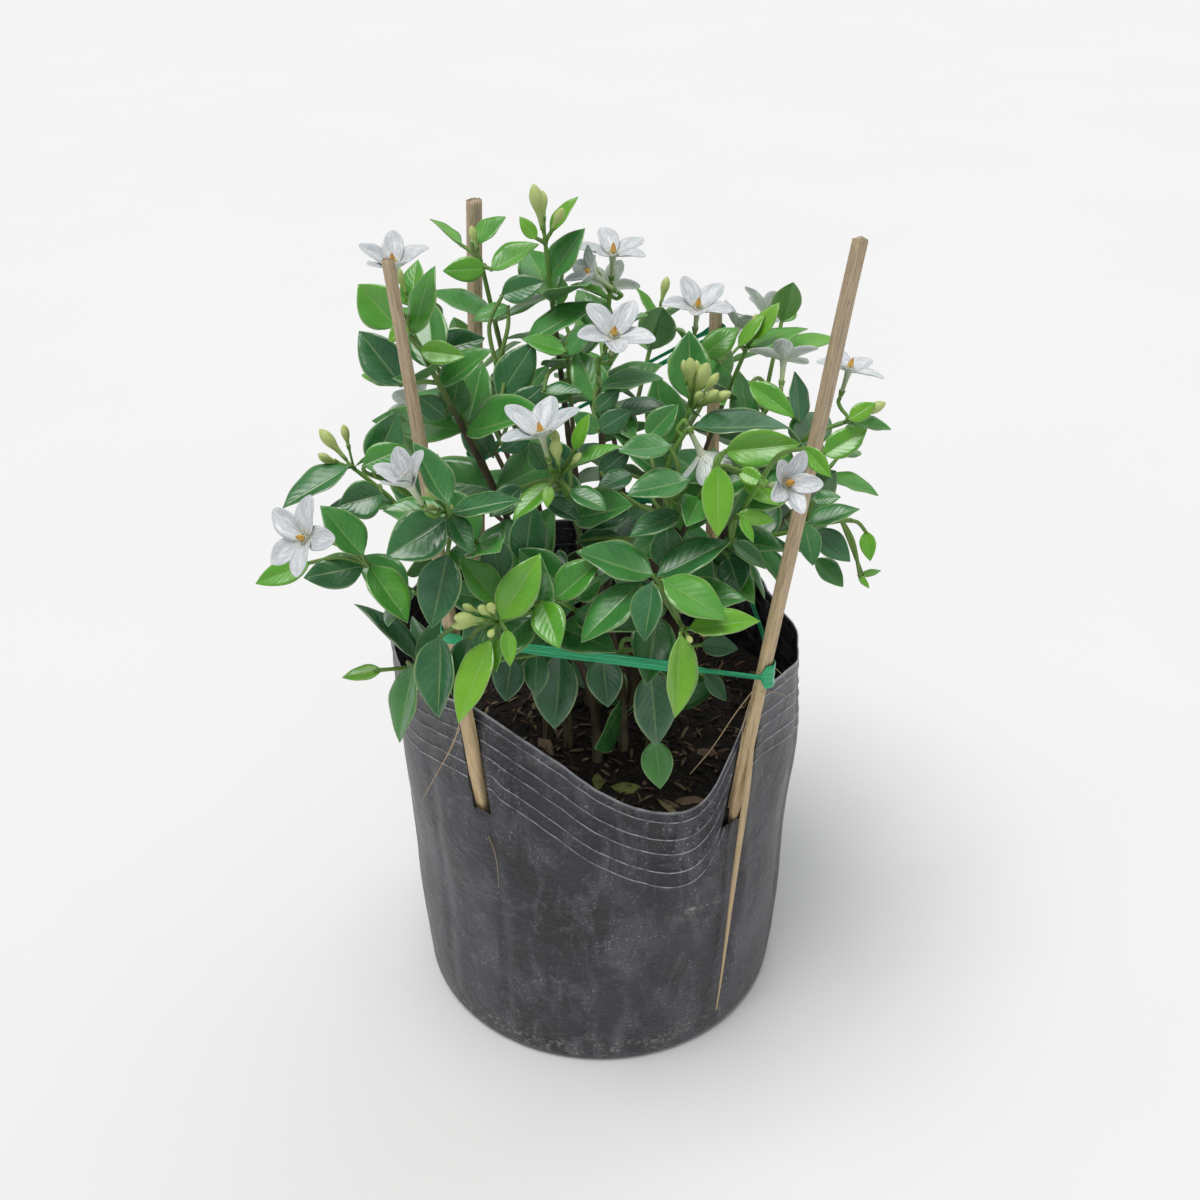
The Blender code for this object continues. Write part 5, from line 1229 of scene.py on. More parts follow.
def sheet_faces(rows, columns):
    """Return the faces of a thin closed sheet given as its upper grid and then its lower grid."""
    lower = rows * columns
    faces = []
    for r in range(rows - 1):
        for c in range(columns - 1):
            a = r * columns + c
            b = a + lower
            faces.append((a, a + 1, a + 1 + columns, a + columns))
            faces.append((b, b + columns, b + 1 + columns, b + 1))
    loop = list(range(columns))
    loop += [r * columns + columns - 1 for r in range(1, rows)]
    loop += [(rows - 1) * columns + c for c in range(columns - 2, -1, -1)]
    loop += [r * columns for r in range(rows - 2, 0, -1)]
    for p, q in zip(loop, loop[1:] + loop[:1]):
        faces.append((q, p, p + lower, q + lower))
    return faces


def smooth_path(path, radii, steps):
    """Return more points and radii on a smooth curve through the given ones."""
    points = []
    widths = []
    last = len(path) - 1
    for i in range(last):
        a, b = path[max(i - 1, 0)], path[i]
        c, d = path[i + 1], path[min(i + 2, last)]
        for k in range(steps):
            t = k / steps
            points.append(
                b + (c - a) * (0.5 * t)
                + (a * 2 - b * 5 + c * 4 - d) * (0.5 * t * t)
                + (b * 3 - a - c * 3 + d) * (0.5 * t ** 3)
            )
            widths.append(radii[i] * (1 - t) + radii[i + 1] * t)
    return points + [path[-1]], widths + [radii[last]]


def add_tube(piece, path, radii, sides, look=0, tones=0.0, under=0.0):
    """Add a round capped tube, with one tone or a tone for each ring."""
    verts, faces = tube(path, radii, sides)
    tones = np.broadcast_to(np.asarray(tones, dtype=float), (len(path),))
    around = np.tile(np.arange(sides) / sides, len(path))
    piece.add(
        verts, faces, look, tone=np.repeat(tones, sides), across=around,
        along=np.repeat(run_lengths(path), sides), under=under,
    )


# Fine leaves
LEAF_ROWS = 18
LEAF_COLUMNS = np.array((-1.0, -0.72, -0.42, -0.13, 0.0, 0.13, 0.42, 0.72, 1.0))
LEAF_STEPS = np.linspace(0.0, 1.0, LEAF_ROWS) ** 1.08
LEAF_STEPS[1:4] = (0.035, 0.07, 0.12)
LEAF_FILM = 0.00032
LEAF_BASE = 0.05
LEAF_BROAD = 0.70
LEAF_POINT = 1.0
LEAF_SHEET = sheet_faces(LEAF_ROWS, len(LEAF_COLUMNS))
ROOTED_ROWS = 3


def sheet_grid(steps, columns):
    """Return how far along and how far aside each point of a sheet's grid is."""
    along = np.repeat(steps[:, None], len(columns), axis=1)
    aside = np.repeat(columns[None, :], len(steps), axis=0)
    return along, aside


def add_sheet(piece, points, faces, steps, columns, tone=0.0):
    """Add a thin sheet whose points know their place and which face they are on."""
    along, aside = (np.tile(values.ravel(), 2) for values in sheet_grid(steps, columns))
    under = np.repeat((0.0, 1.0), len(points) // 2)
    piece.add(points, faces, 0, tone=tone, across=aside, along=along, under=under)


def peak_shape(t, start, end):
    """Return a rounded outline that starts and ends at nothing and is 1 at its widest."""
    peak = start / (start + end)
    return t ** start * (1 - t) ** end / (peak ** start * (1 - peak) ** end)


def to_array(vector):
    """Return a vector as an array."""
    return np.array(vector, dtype=float)


def bent_sheet(blade, t, side, lift, film, rib):
    """Return the upper and lower points of a thin blade, lifted along its normal."""
    along, across, normal = (to_array(v) for v in (blade.along, blade.across, blade.normal))
    lift = lift - blade.droop * blade.length * t * t
    middle = (
        to_array(blade.root) + (t * blade.length)[..., None] * along
        + (side + blade.skew * blade.width * t)[..., None] * across + lift[..., None] * normal
    )
    upper = middle + (film / 2)[..., None] * normal
    lower = middle - (film / 2 + rib)[..., None] * normal
    return np.concatenate([upper.reshape(-1, 3), lower.reshape(-1, 3)])


def leaf_points(leaf, fold, twist, wave):
    """Return a leaf's points: folded along its rib, its edge a little wavy, its stalk thicker."""
    t, u = sheet_grid(LEAF_STEPS, LEAF_COLUMNS)
    blade = np.clip((t - LEAF_BASE) / (1 - LEAF_BASE), 0.0, 1.0)
    outline = np.maximum(peak_shape(blade, LEAF_BROAD, LEAF_POINT), 0.055 * (1 - t) + 0.008)
    half = leaf.width / 2
    side = u * outline * half
    lift = fold * (np.sqrt(side * side + 1e-7) - 0.42 * outline * half)
    lift += 0.22 * half * np.abs(u) * (1 - np.abs(u)) * outline * (0.4 + fold)
    ripple = np.sin(FULL_TURN * (2.2 * t + wave) + 1.3 * np.sign(u))
    lift += 0.045 * half * ripple * np.abs(u) ** 3 * outline
    lift += side * twist * t
    lift -= 0.10 * leaf.length * np.clip(t - 0.72, 0.0, 1.0) ** 2 / 0.28
    stalk = np.clip(1 - t / 0.12, 0.0, 1.0)
    film = LEAF_FILM + 0.0007 * stalk
    rib = 0.00045 * np.exp(-(u / 0.09) ** 2) * (1 - 0.75 * t)
    return bent_sheet(leaf, t, side, lift, film, rib)


def outer_shape(points):
    """Return the part of a leaf beyond its stalk, as points and faces for the room test."""
    rows = LEAF_ROWS - ROOTED_ROWS
    columns = len(LEAF_COLUMNS)
    grid = points.reshape(2, LEAF_ROWS, columns, 3)[:, ROOTED_ROWS:]
    verts = [Vector(p) for p in grid.reshape(-1, 3)]
    return verts, sheet_faces(rows, columns)


def settle_leaf(leaf, fold, twist, wave, room):
    """Fold a leaf as far as it can without touching its neighbours and keep its place."""
    for share in (1.0, 0.62, 0.3, 0.0):
        points = leaf_points(leaf, fold * share, twist * share, wave)
        verts, faces = outer_shape(points)
        middle, reach = room.ball(verts)
        tree = BVHTree.FromPolygons(verts, faces)
        blocked = False
        for i, (other, centre, size, _) in enumerate(room.items):
            near = (centre - middle).length <= size + reach
            if i != leaf.item and near and tree.overlap(other):
                blocked = True
                break
        if not blocked:
            break
    room.items[leaf.item] = (tree, middle, reach, "leaf")
    return points


YOUNG_PAIRS = 2
YOUNG_TONE = 0.68


def leaf_tone(leaf, rng):
    """Return how green and bright a leaf is: 0 is dark and bluish, 1 is young yellow-green. Leaves without a
    given youth also get painted shade deep and low in the bush and painted light high and outside.
    """
    if leaf.youth is not None:
        return clamp(leaf.youth + rng.normal() * 0.03)
    middle = leaf.root + leaf.along * (leaf.length / 2)
    height = clamp((middle.z - 0.20) / 0.19)
    outward = min((middle - BUSH_HEART).length / 0.16, 1.0)
    # Leaves deep in the bush and low down get a lower tone, and leaves high and outside a higher one: painted
    # shade and painted light.
    tone = 0.10 + 0.24 * height + 0.16 * outward + rng.normal() * 0.06
    if leaf.pair < YOUNG_PAIRS and leaf.key not in LEAVES:
        tone = max(tone, YOUNG_TONE - 0.20 * leaf.pair + rng.normal() * 0.06)
    return clamp(tone)


def add_leaf(piece, leaf, room, rng):
    """Add one fine leaf."""
    fold = rng.uniform(0.16, 0.58)
    twist = rng.normal() * 0.14
    wave = rng.uniform()
    tone = leaf_tone(leaf, rng)
    points = settle_leaf(leaf, fold, twist, wave, room)
    add_sheet(piece, points, LEAF_SHEET, LEAF_STEPS, LEAF_COLUMNS, tone)


# Buds and sepals
BUD_OUTLINE = (
    (0.0, 0.050), (0.12, 0.054), (0.26, 0.062), (0.38, 0.080), (0.48, 0.112), (0.58, 0.142),
    (0.68, 0.155), (0.78, 0.148), (0.87, 0.116), (0.95, 0.066), (1.0, 0.016),
)
SEPAL_ROWS = 5
SEPAL_COLUMNS = np.array((-1.0, 0.0, 1.0))
SEPAL_STEPS = np.linspace(0.0, 1.0, SEPAL_ROWS)
SEPAL_SHEET = sheet_faces(SEPAL_ROWS, len(SEPAL_COLUMNS))


def add_sepals(piece, foot, axis, girth, length, look, tone):
    """Add five small pointed sepals that hug a tube."""
    first, second = side_axes(axis)
    t, u = sheet_grid(SEPAL_STEPS, SEPAL_COLUMNS)
    for k in range(PETAL_COUNT):
        turn = FULL_TURN * k / PETAL_COUNT
        out = spoke(first, second, turn)
        sepal = Blade(foot + out * girth, axis + out * 0.22, out, length, length * 0.55, ())
        outline = np.maximum(peak_shape(t, 0.35, 0.8), 0.06)
        side = u * outline * sepal.width / 2
        lift = -0.35 * side * side / (sepal.width / 2)
        film = np.full_like(t, 0.0003)
        points = bent_sheet(sepal, t, side, lift, film, np.zeros_like(t))
        piece.add(points, SEPAL_SHEET, look, tone=tone)


def add_bud(piece, path):
    """Add a bud: a thin stalk, small sepals, a slim tube and the swollen pale head."""
    start, neck, _, tip = path
    axis = (tip - neck).normalized()
    length = (tip - neck).length
    stalk = [start, start.lerp(neck, 0.5), neck + axis * 0.0006]
    add_tube(piece, stalk, (0.0006, 0.00055, 0.0006), 8, 1, 0.1)
    head = [neck + axis * (length * t) for t, _ in BUD_OUTLINE]
    girth = [length * r for _, r in BUD_OUTLINE]
    tones = [0.45 + 0.55 * min(t / 0.5, 1.0) for t, _ in BUD_OUTLINE]
    add_tube(piece, head, girth, 12, 2, tones)
    add_sepals(piece, neck, axis, 0.0004, min(0.0024, length * 0.3), 1, 0.0)


# Fine stems
STEM_SIDES = 12
GREEN_LENGTH = 0.018
JOINT_WAY = 0.0036


def stem_tones(lengths_from_tip, woody):
    """Return how woody a stem is at each point: green at its tip and brown further back."""
    return [clamp((d - GREEN_LENGTH) / woody) for d in lengths_from_tip]


def add_shoot(piece, shoot, woody, steps, rng):
    """Add a stem with slightly swollen joints where leaves stand."""
    path, radii = smooth_path(shoot.path, shoot.radii, steps)
    lengths = run_lengths(path)
    from_tip = [lengths[-1] - s for s in lengths]
    phase = rng.uniform(0, FULL_TURN)
    widths = []
    for radius, s in zip(radii, lengths):
        joint = math.sin(s / JOINT_WAY + phase) ** 8
        widths.append(radius * (1 + 0.10 * joint) + 0.00006 * math.sin(s / 0.0011))
    add_tube(piece, path, widths, STEM_SIDES, 1, stem_tones(from_tip, woody))
    end, direction, girth = shoot.at(0.0)
    point = [end - direction * 0.0008]
    point += [end + direction * reach for reach in (0.0008, 0.0024, 0.0034)]
    add_tube(piece, point, (girth * 0.8, girth * 1.05, girth * 0.6, 0.00015), 8, 1, 0.0)


def build_stem_detail(name, stem, room, rng):
    """Build one leafy stem: its shoots, stalks, buds and leaves."""
    piece = Piece(name + "_detail", (LEAF_LOOK, STEM_LOOK, BUD_LOOK), "leaf_green", name)
    add_shoot(piece, stem["main"], 0.034, 8, rng)
    for side in stem["sides"]:
        add_shoot(piece, side, 0.030, 6, rng)
    for path in stem["stalks"]:
        fine, widths = smooth_path(path, STALK_RADII, 5)
        add_tube(piece, fine, widths, 10, 1, 0.0)
    for path in stem["twigs"]:
        fine, widths = smooth_path(path, TWIG_RADII, 6)
        add_tube(piece, fine, widths, 10, 1, 0.25)
    for path in stem["buds"]:
        add_bud(piece, path)
    for leaf in stem["leaves"]:
        add_leaf(piece, leaf, room, rng)
    return piece.finish()


# Fine blooms
PETAL_ROWS = 14
PETAL_COLUMNS = np.array((-1.0, -0.78, -0.52, -0.25, 0.0, 0.25, 0.52, 0.78, 1.0))
PETAL_STEPS = 0.996 * (1 - (1 - np.linspace(0.0, 1.0, PETAL_ROWS)) ** 1.7)
PETAL_FILM = 0.00030
PETAL_SHEET = sheet_faces(PETAL_ROWS, len(PETAL_COLUMNS))
CROWN_COUNT = 15


def petal_points(petal, cup, curl, wave):
    """Return a petal's points: widest past its middle, cupped across and curled at its short tip."""
    t, u = sheet_grid(PETAL_STEPS, PETAL_COLUMNS)
    outline = np.maximum(peak_shape(t, 0.62, 0.62), 0.24 * (1 - t))
    half = petal.width / 2 * 1.03
    side = u * outline * half
    lift = cup * (side * side / half - 0.3 * half * outline)
    lift += 0.05 * half * np.sin(FULL_TURN * (1.6 * t + wave) + 1.8 * u) * np.abs(u) ** 2 * outline
    lift -= curl * petal.length * np.clip(t - 0.6, 0.0, 1.0) ** 2
    lift -= 0.00025 * np.exp(-(u / 0.16) ** 2) * (1 - t)
    film = PETAL_FILM * (1 + 1.2 * np.clip(1 - t / 0.25, 0.0, 1.0))
    return bent_sheet(petal, t, side, lift, film, np.zeros_like(t))


def build_bloom_detail(name, middle, facing, openness, size, roll, rng):
    """Build one bloom: flared tube, five cupped petals, small crown and sepals."""
    piece = Piece(name + "_detail", (PETAL_LOOK, STEM_LOOK), "petal_white", name)
    base = bloom_base(middle, facing)
    throat = middle - facing * 0.0008
    path = [base.lerp(throat, t) for t in (0.0, 0.04, 0.2, 0.45, 0.7, 0.85, 0.94, 1.0)]
    widths = (0.0008, 0.00105, 0.00100, 0.00105, 0.00125, 0.00155, 0.00185, 0.0021)
    add_tube(piece, path, widths, 14, 0, (1.0, 1.0, 0.9, 0.75, 0.5, 0.25, 0.1, 0.0))
    add_sepals(piece, base + facing * 0.0004, facing, 0.0008, 0.0030, 1, 0.0)
    for petal in bloom_petals(middle, facing, openness, size, roll):
        points = petal_points(petal, rng.uniform(0.25, 0.50), rng.uniform(-0.25, 0.45), rng.uniform())
        add_sheet(piece, points, PETAL_SHEET, PETAL_STEPS, PETAL_COLUMNS)
    add_crown(piece, middle, facing, roll, rng)
    return piece.finish()


def add_crown(piece, middle, facing, roll, rng):
    """Add the short white fringe round the throat."""
    first, second = side_axes(facing)
    for k in range(CROWN_COUNT):
        turn = roll + FULL_TURN * k / CROWN_COUNT + rng.uniform(-0.08, 0.08)
        out = spoke(first, second, turn)
        foot = middle - facing * 0.0011 + out * 0.00185
        height = rng.uniform(0.0013, 0.0023)
        path = [foot, foot + facing * height * 0.6 + out * 0.0001, foot + facing * height + out * 0.0005]
        add_tube(piece, path, (0.00022, 0.00020, 0.00006), 5, 0, 0.0)


STAMEN_HEIGHT = 0.0046
# Anthers: shares of the height with the way from the cone's middle, then radius and tone at each
ANTHER_LINE = ((0.0, 0.00075), (0.2, 0.00085), (0.5, 0.00070), (0.8, 0.00035), (1.0, 0.00012))
ANTHER_RADII = (0.00022, 0.00048, 0.00050, 0.00034, 0.00008)
ANTHER_TONES = (0.1, 0.2, 0.45, 0.8, 1.0)


def build_stamens_detail(name, middle, facing, roll):
    """Build the cone of five anthers that lean together round the style."""
    node = name.replace("bloom", "stamens")
    piece = Piece(node + "_detail", (STAMEN_LOOK,), "stamen_orange", node)
    foot = middle - facing * 0.0004
    first, second = side_axes(facing)
    for k in range(PETAL_COUNT):
        turn = roll + FULL_TURN * (k + 0.5) / PETAL_COUNT
        out = spoke(first, second, turn)
        path = [foot + facing * (STAMEN_HEIGHT * share) + out * reach for share, reach in ANTHER_LINE]
        add_tube(piece, path, ANTHER_RADII, 8, 0, ANTHER_TONES)
    style = [foot, foot + facing * STAMEN_HEIGHT * 0.8, foot + facing * STAMEN_HEIGHT * 1.08]
    add_tube(piece, style, (0.00020, 0.00018, 0.00014), 6, 0, (0.0, 0.5, 0.9))
    return piece.finish()


# Bag film
FILM_COLUMNS = 288
FILM_THICKNESS = 0.0006
WELD_LINES = (0.0055, 0.0150, 0.0225, 0.0320, 0.0395)
WELDED_DEPTH = 0.047
WELD_HEIGHT = 0.00042
WELD_WIDTH = 0.00042
WELD_ROWS = (-0.0010, -0.00045, 0.0, 0.00045, 0.0010)
LOWER_ROWS = 34
# The rounded foot: how far each ring is drawn in, its height
FOOT_ROWS = ((0.0052, 0.0), (0.0030, 0.0005), (0.0013, 0.0017), (0.0004, 0.0034))
FOOT_TOP = 0.0052
BASE_SHARES = (0.25, 0.55, 0.85)
# Creases down the film: angle, depth, half width in degrees, lowest and highest level
CREASES = (
    (-28.5, 0.0011, 1.5, 0.00, 0.86), (40.5, 0.0016, 1.8, 0.10, 0.95), (-52.0, 0.0007, 2.4, 0.05, 0.80),
    (12.0, 0.0005, 3.0, 0.00, 0.55), (72.0, 0.0010, 2.2, 0.00, 0.90), (118.0, 0.0010, 2.0, 0.05, 0.92),
    (-96.0, 0.0009, 2.0, 0.00, 0.90), (165.0, 0.0011, 1.8, 0.00, 0.95), (-140.0, 0.0009, 2.4, 0.10, 0.9),
)


def turn_between(a, b):
    """Return the signed angle from b to a in degrees."""
    return (a - b + 180.0) % 360.0 - 180.0


def film_bulge(degrees, z, below):
    """Return how far the film stands off its smooth shape: buckles, wrinkles, creases and weld lines."""
    spot = ring_point(degrees, 0.1, z)
    level = z / BAG_MEAN_HEIGHT
    soft = min(level * 4, 1.0)
    bulge = 0.0011 * noise.noise(spot * 17.0) * soft
    bulge += 0.00045 * noise.noise(Vector((spot.x * 60, spot.y * 60, spot.z * 34))) * soft
    bulge += 0.00016 * noise.noise(spot * 150.0 + UP * 7.0)
    bulge += 0.00050 * noise.noise(Vector((spot.x * 45, spot.y * 45, 3.0))) * max(0.0, 1 - below / 0.05)
    for angle, depth, width, low, high in CREASES:
        if low <= level <= high + 0.08:
            wander = 1.6 * noise.noise(Vector((angle, z * 22.0, 0.0)))
            off = turn_between(degrees, angle + wander) / width
            fade = min((level - low) / 0.08, (high + 0.08 - level) / 0.08, 1.0)
            bulge -= depth * math.exp(-off * off) * max(fade, 0.0)
            bulge += depth * 0.55 * math.exp(-((off - 2.0) / 1.4) ** 2) * max(fade, 0.0)
    return bulge


def weld_ridge(below):
    """Return how much of a weld line's ridge is at a distance below the rim."""
    return sum(math.exp(-((below - line) / WELD_WIDTH) ** 2) for line in WELD_LINES)


def film_rows():
    """Return the distances below the rim of the fine upper rows."""
    rows = [0.0, 0.0006, 0.0016, 0.0030]
    for line, beyond in zip(WELD_LINES, WELD_LINES[1:] + (WELDED_DEPTH,)):
        rows += [line + step for step in WELD_ROWS]
        gap = beyond - line
        rows += [line + gap * share for share in (0.30, 0.50, 0.70)]
    return rows


def film_point(degrees, z, below, inset):
    """Return one point of the film's outer side."""
    fade = clamp(z / 0.02)
    radius = bag_radius(degrees, z) - inset + film_bulge(degrees, z, below) * fade
    radius += WELD_HEIGHT * weld_ridge(below)
    return ring_point(degrees, radius, z)


def film_grid():
    """Return the rings of the film from its foot to its rim, with a weld and a rim value for each."""
    upper = list(reversed(film_rows()))
    angles = [360.0 * j / FILM_COLUMNS - 180.0 for j in range(FILM_COLUMNS)]
    heights = []
    for a in angles:
        ragged = 0.0005 * noise.noise(ring_point(a, 0.1, 0.0) * 130.0)
        heights.append(rim_values(a)[0] + ragged)
    rings = []
    marks = []
    for inset, z in FOOT_ROWS:
        rings.append([film_point(a, z, 1.0, inset) for a in angles])
        marks.append((0.0, 0.0))
    for i in range(LOWER_ROWS):
        share = i / LOWER_ROWS
        row = []
        for a, height in zip(angles, heights):
            z = FOOT_TOP + (height - upper[0] - FOOT_TOP) * share
            row.append(film_point(a, z, height - z, 0.0))
        rings.append(row)
        marks.append((0.0, 0.0))
    for below in upper:
        rings.append([film_point(a, h - below, below, 0.0) for a, h in zip(angles, heights)])
        marks.append((weld_ridge(below), max(0.0, 1 - below / 0.0012)))
    return rings, marks


# Gritty scuffs on the film: a pixel of the photograph, its depth, half width and half height
SCUFFS = (
    (seen_at(556, 748, -0.088), 0.017, 0.006), (seen_at(636, 812, -0.094), 0.008, 0.003),
    (seen_at(520, 728, -0.086), 0.010, 0.004), (seen_at(452, 730, -0.080), 0.005, 0.009),
    (seen_at(700, 905, -0.085), 0.012, 0.006), (seen_at(470, 940, -0.082), 0.006, 0.012),
)


def scuff_at(point):
    """Return how scuffed the film is at a point."""
    total = 0.0
    for spot, wide, tall in SCUFFS:
        off = point - spot
        total += math.exp(-(off.x * off.x + off.y * off.y) / (wide * wide) - (off.z / tall) ** 2)
    return min(total, 1.0)


def build_film():
    """Build the bag: one fine film with its flat base, slots for the front stakes and a real thickness."""
    rings, marks = film_grid()
    foot = rings[0]
    base = [[Vector((p.x * share, p.y * share, 0.0)) for p in foot] for share in BASE_SHARES]
    rings = base + rings
    marks = [(0.0, 0.0)] * len(base) + marks
    piece = Piece("grow_bag_film", (FILM_LOOK,), "bag_film", "grow_bag")
    verts, faces = loft(rings)
    open_faces = faces[:-1]
    weld = np.repeat([m[0] for m in marks], FILM_COLUMNS)
    edge = np.repeat([m[1] for m in marks], FILM_COLUMNS)
    turns = np.tile(np.linspace(0, 1, FILM_COLUMNS, endpoint=False), len(rings))
    scuffs = [scuff_at(p) for p in verts]
    piece.add(verts, open_faces, 0, tone=weld, under=edge, across=turns, along=scuffs)
    film = piece.finish()
    shell = film.modifiers.new("film", "SOLIDIFY")
    shell.thickness = FILM_THICKNESS
    shell.offset = -1.0
    apply_modifier(film, shell)
    for name in SLOTS:
        cut_out(film, *slot_shape(name))
    return film


def apply_modifier(obj, modifier):
    """Apply one modifier of an object."""
    with bpy.context.temp_override(object=obj, active_object=obj, selected_objects=[obj]):
        bpy.ops.object.modifier_apply(modifier=modifier.name)


def cut_out(obj, verts, faces):
    """Cut a block out of an object."""
    mesh = bpy.data.meshes.new("cutter")
    mesh.from_pydata([tuple(v) for v in verts], [], faces)
    tool = add_object("cutter", mesh)
    make_outward(tool)
    difference = obj.modifiers.new("cut", "BOOLEAN")
    difference.operation = "DIFFERENCE"
    difference.solver = "MANIFOLD"
    difference.object = tool
    apply_modifier(obj, difference)
    bpy.data.objects.remove(tool, do_unlink=True)


# Soil
SOIL_COLUMNS = 192
SOIL_SHARES = np.linspace(1.0, 0.02, 62)
SOIL_INSET = 0.0032
CHIP_COUNT = 1150
CHIP_REACH = 0.088
# Fallen leaves: where one lies, its length and tone
DEAD_LEAVES = (
    (seen_at(628, 772, -0.062), 0.016, 0.90), (seen_at(598, 775, -0.060), 0.012, 0.75),
    (seen_at(668, 806, -0.074), 0.018, 0.62), (seen_at(690, 800, -0.070), 0.016, 0.50),
    (seen_at(705, 725, -0.036), 0.014, 0.45), (seen_at(545, 722, -0.034), 0.013, 0.55),
)


def soil_top(x, y):
    """Return the height of the crumbly soil."""
    spot = Vector((x, y, 0.0))
    lumps = 0.0016 * noise.noise(spot * 70.0) + 0.0013 * abs(noise.noise(spot * 190.0))
    crumbs = 0.0011 * abs(noise.noise(spot * 420.0)) + 0.0005 * noise.noise(spot * 900.0)
    return soil_height(x, y) + lumps + crumbs - 0.0006


def build_soil():
    """Build the soil with its crumbs, bark chips and fallen leaves."""
    rng = np.random.default_rng(SEED + 2)
    piece = Piece("soil_detail", (SOIL_LOOK, CHIP_LOOK), "potting_soil", "soil")
    angles = [360.0 * j / SOIL_COLUMNS - 180.0 for j in range(SOIL_COLUMNS)]
    rings = []
    for inset, z in ((0.010, 0.0016), (0.004, 0.008), (SOIL_INSET, 0.06), (SOIL_INSET, SOIL_LEVEL - 0.004)):
        rings.append([ring_point(a, bag_radius(a, z) - inset, z) for a in angles])
    for share in SOIL_SHARES:
        ring = []
        for a in angles:
            flat = ring_point(a, (bag_radius(a, SOIL_LEVEL) - SOIL_INSET) * share, 0.0)
            ring.append(Vector((flat.x, flat.y, soil_top(flat.x, flat.y))))
        rings.append(ring)
    verts, faces = loft(rings)
    piece.add(verts, faces, 0)
    for _ in range(CHIP_COUNT):
        add_chip(piece, rng)
    for spot, length, tone in DEAD_LEAVES:
        add_dead_leaf(piece, spot, length, tone, rng)
    return piece.finish()


def add_chip(piece, rng):
    """Add one torn sliver of bark lying on the soil."""
    turn = rng.uniform(0, FULL_TURN)
    reach = CHIP_REACH * math.sqrt(rng.uniform())
    x, y = reach * math.sin(turn), -reach * math.cos(turn)
    heading = rng.uniform(0, FULL_TURN)
    along = Vector((math.cos(heading), math.sin(heading), rng.normal() * 0.22)).normalized()
    across = along.cross(UP).normalized()
    outward = across.cross(along)
    length = rng.uniform(0.0020, 0.0105)
    width = rng.uniform(0.0006, 0.0024)
    middle = Vector((x, y, soil_top(x, y) + 0.0004))
    rings = []
    for share, scale in ((-0.5, 0.35), (-0.28, 0.95), (0.05, 1.0), (0.32, 0.8), (0.5, 0.25)):
        ring = []
        sag = along * (length * share) + outward * (length * 0.16 * (0.25 - share * share))
        for k in range(6):
            angle = FULL_TURN * k / 6
            wide = width / 2 * scale * rng.uniform(0.75, 1.2)
            ring.append(
                middle + sag + across * (math.cos(angle) * wide)
                + outward * (math.sin(angle) * wide * 0.45)
            )
        rings.append(ring)
    verts, faces = loft(rings)
    piece.add(verts, faces, 1, tone=0.62 * rng.uniform() ** 2.2, across=rng.uniform())


def add_dead_leaf(piece, spot, length, tone, rng):
    """Add one curled fallen leaf on the soil."""
    heading = rng.uniform(0, FULL_TURN)
    along = Vector((math.cos(heading), math.sin(heading), 0.1))
    foot = Vector((spot.x, spot.y, soil_top(spot.x, spot.y) + 0.0018))
    face = UP + scatter(rng, 0.25)
    leaf = Blade(foot - along * (length / 2), along, face, length, length * 0.45, ())
    leaf.droop = 0.18
    points = leaf_points(leaf, -0.5, rng.normal() * 0.5, rng.uniform())
    piece.add(points, LEAF_SHEET, 1, tone=tone, across=rng.uniform())


# Fine stakes
STAKE_ROWS = 110
STAKE_SIDES = 28
SPLINTER_STEPS = 60
SPLINTER_WIDTH = 0.0033
SPLINTER_DEPTH = 0.0019
FRAY_REACH = 0.022
# Torn fibres: four spots of the photograph that each one passes, and its radius
FIBRES = {
    "stake_front_left": (
        ((462, 712), (454, 742), (440, 768), (421, 802), 0.00020),
        ((482, 813), (488, 834), (496, 858), (499, 888), 0.00016),
        ((470, 705), (463, 722), (455, 738), (448, 752), 0.00014),
    ),
    "stake_front_right": (
        ((755, 688), (735, 714), (712, 748), (690, 774), 0.00022),
        ((764, 664), (775, 668), (783, 676), (789, 684), 0.00013),
        ((760, 692), (772, 692), (781, 694), (787, 697), 0.00013),
        ((750, 700), (744, 722), (741, 742), (738, 760), 0.00018),
    ),
}
FIBRE_LIFT = 0.0008
FIBRE_SLACK = 0.006


def resting_path(name, spots):
    """Return the points shown at some spots, from a stake on along what lies behind them."""
    shapes = [shape_of(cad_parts[node]) for node in (name, "grow_bag")]
    stake, bag = (BVHTree.FromPolygons(*shape) for shape in shapes)
    path = []
    for px, py in spots:
        way = sight_line(px, py).normalized()
        hits = [tree.ray_cast(EYE, way)[3] for tree in (stake, bag)]
        if not path:
            middle = stake_at(name, (EYE + way * (hits[0] or hits[1])).z)
            near = hits[0] or (middle - EYE).dot(way)
        else:
            near = min([hit for hit in hits if hit] + [near + FIBRE_SLACK])
        path.append(EYE + way * (near - FIBRE_LIFT))
    return path


def rounded_outline(width, depth, sides, power):
    """Return points round a bar with soft corners."""
    points = []
    for j in range(sides):
        turn = FULL_TURN * j / sides
        c, s = math.cos(turn), math.sin(turn)
        grow = (abs(c) ** power + abs(s) ** power) ** (-1 / power)
        points.append((c * grow * width / 2, s * grow * depth / 2))
    return points


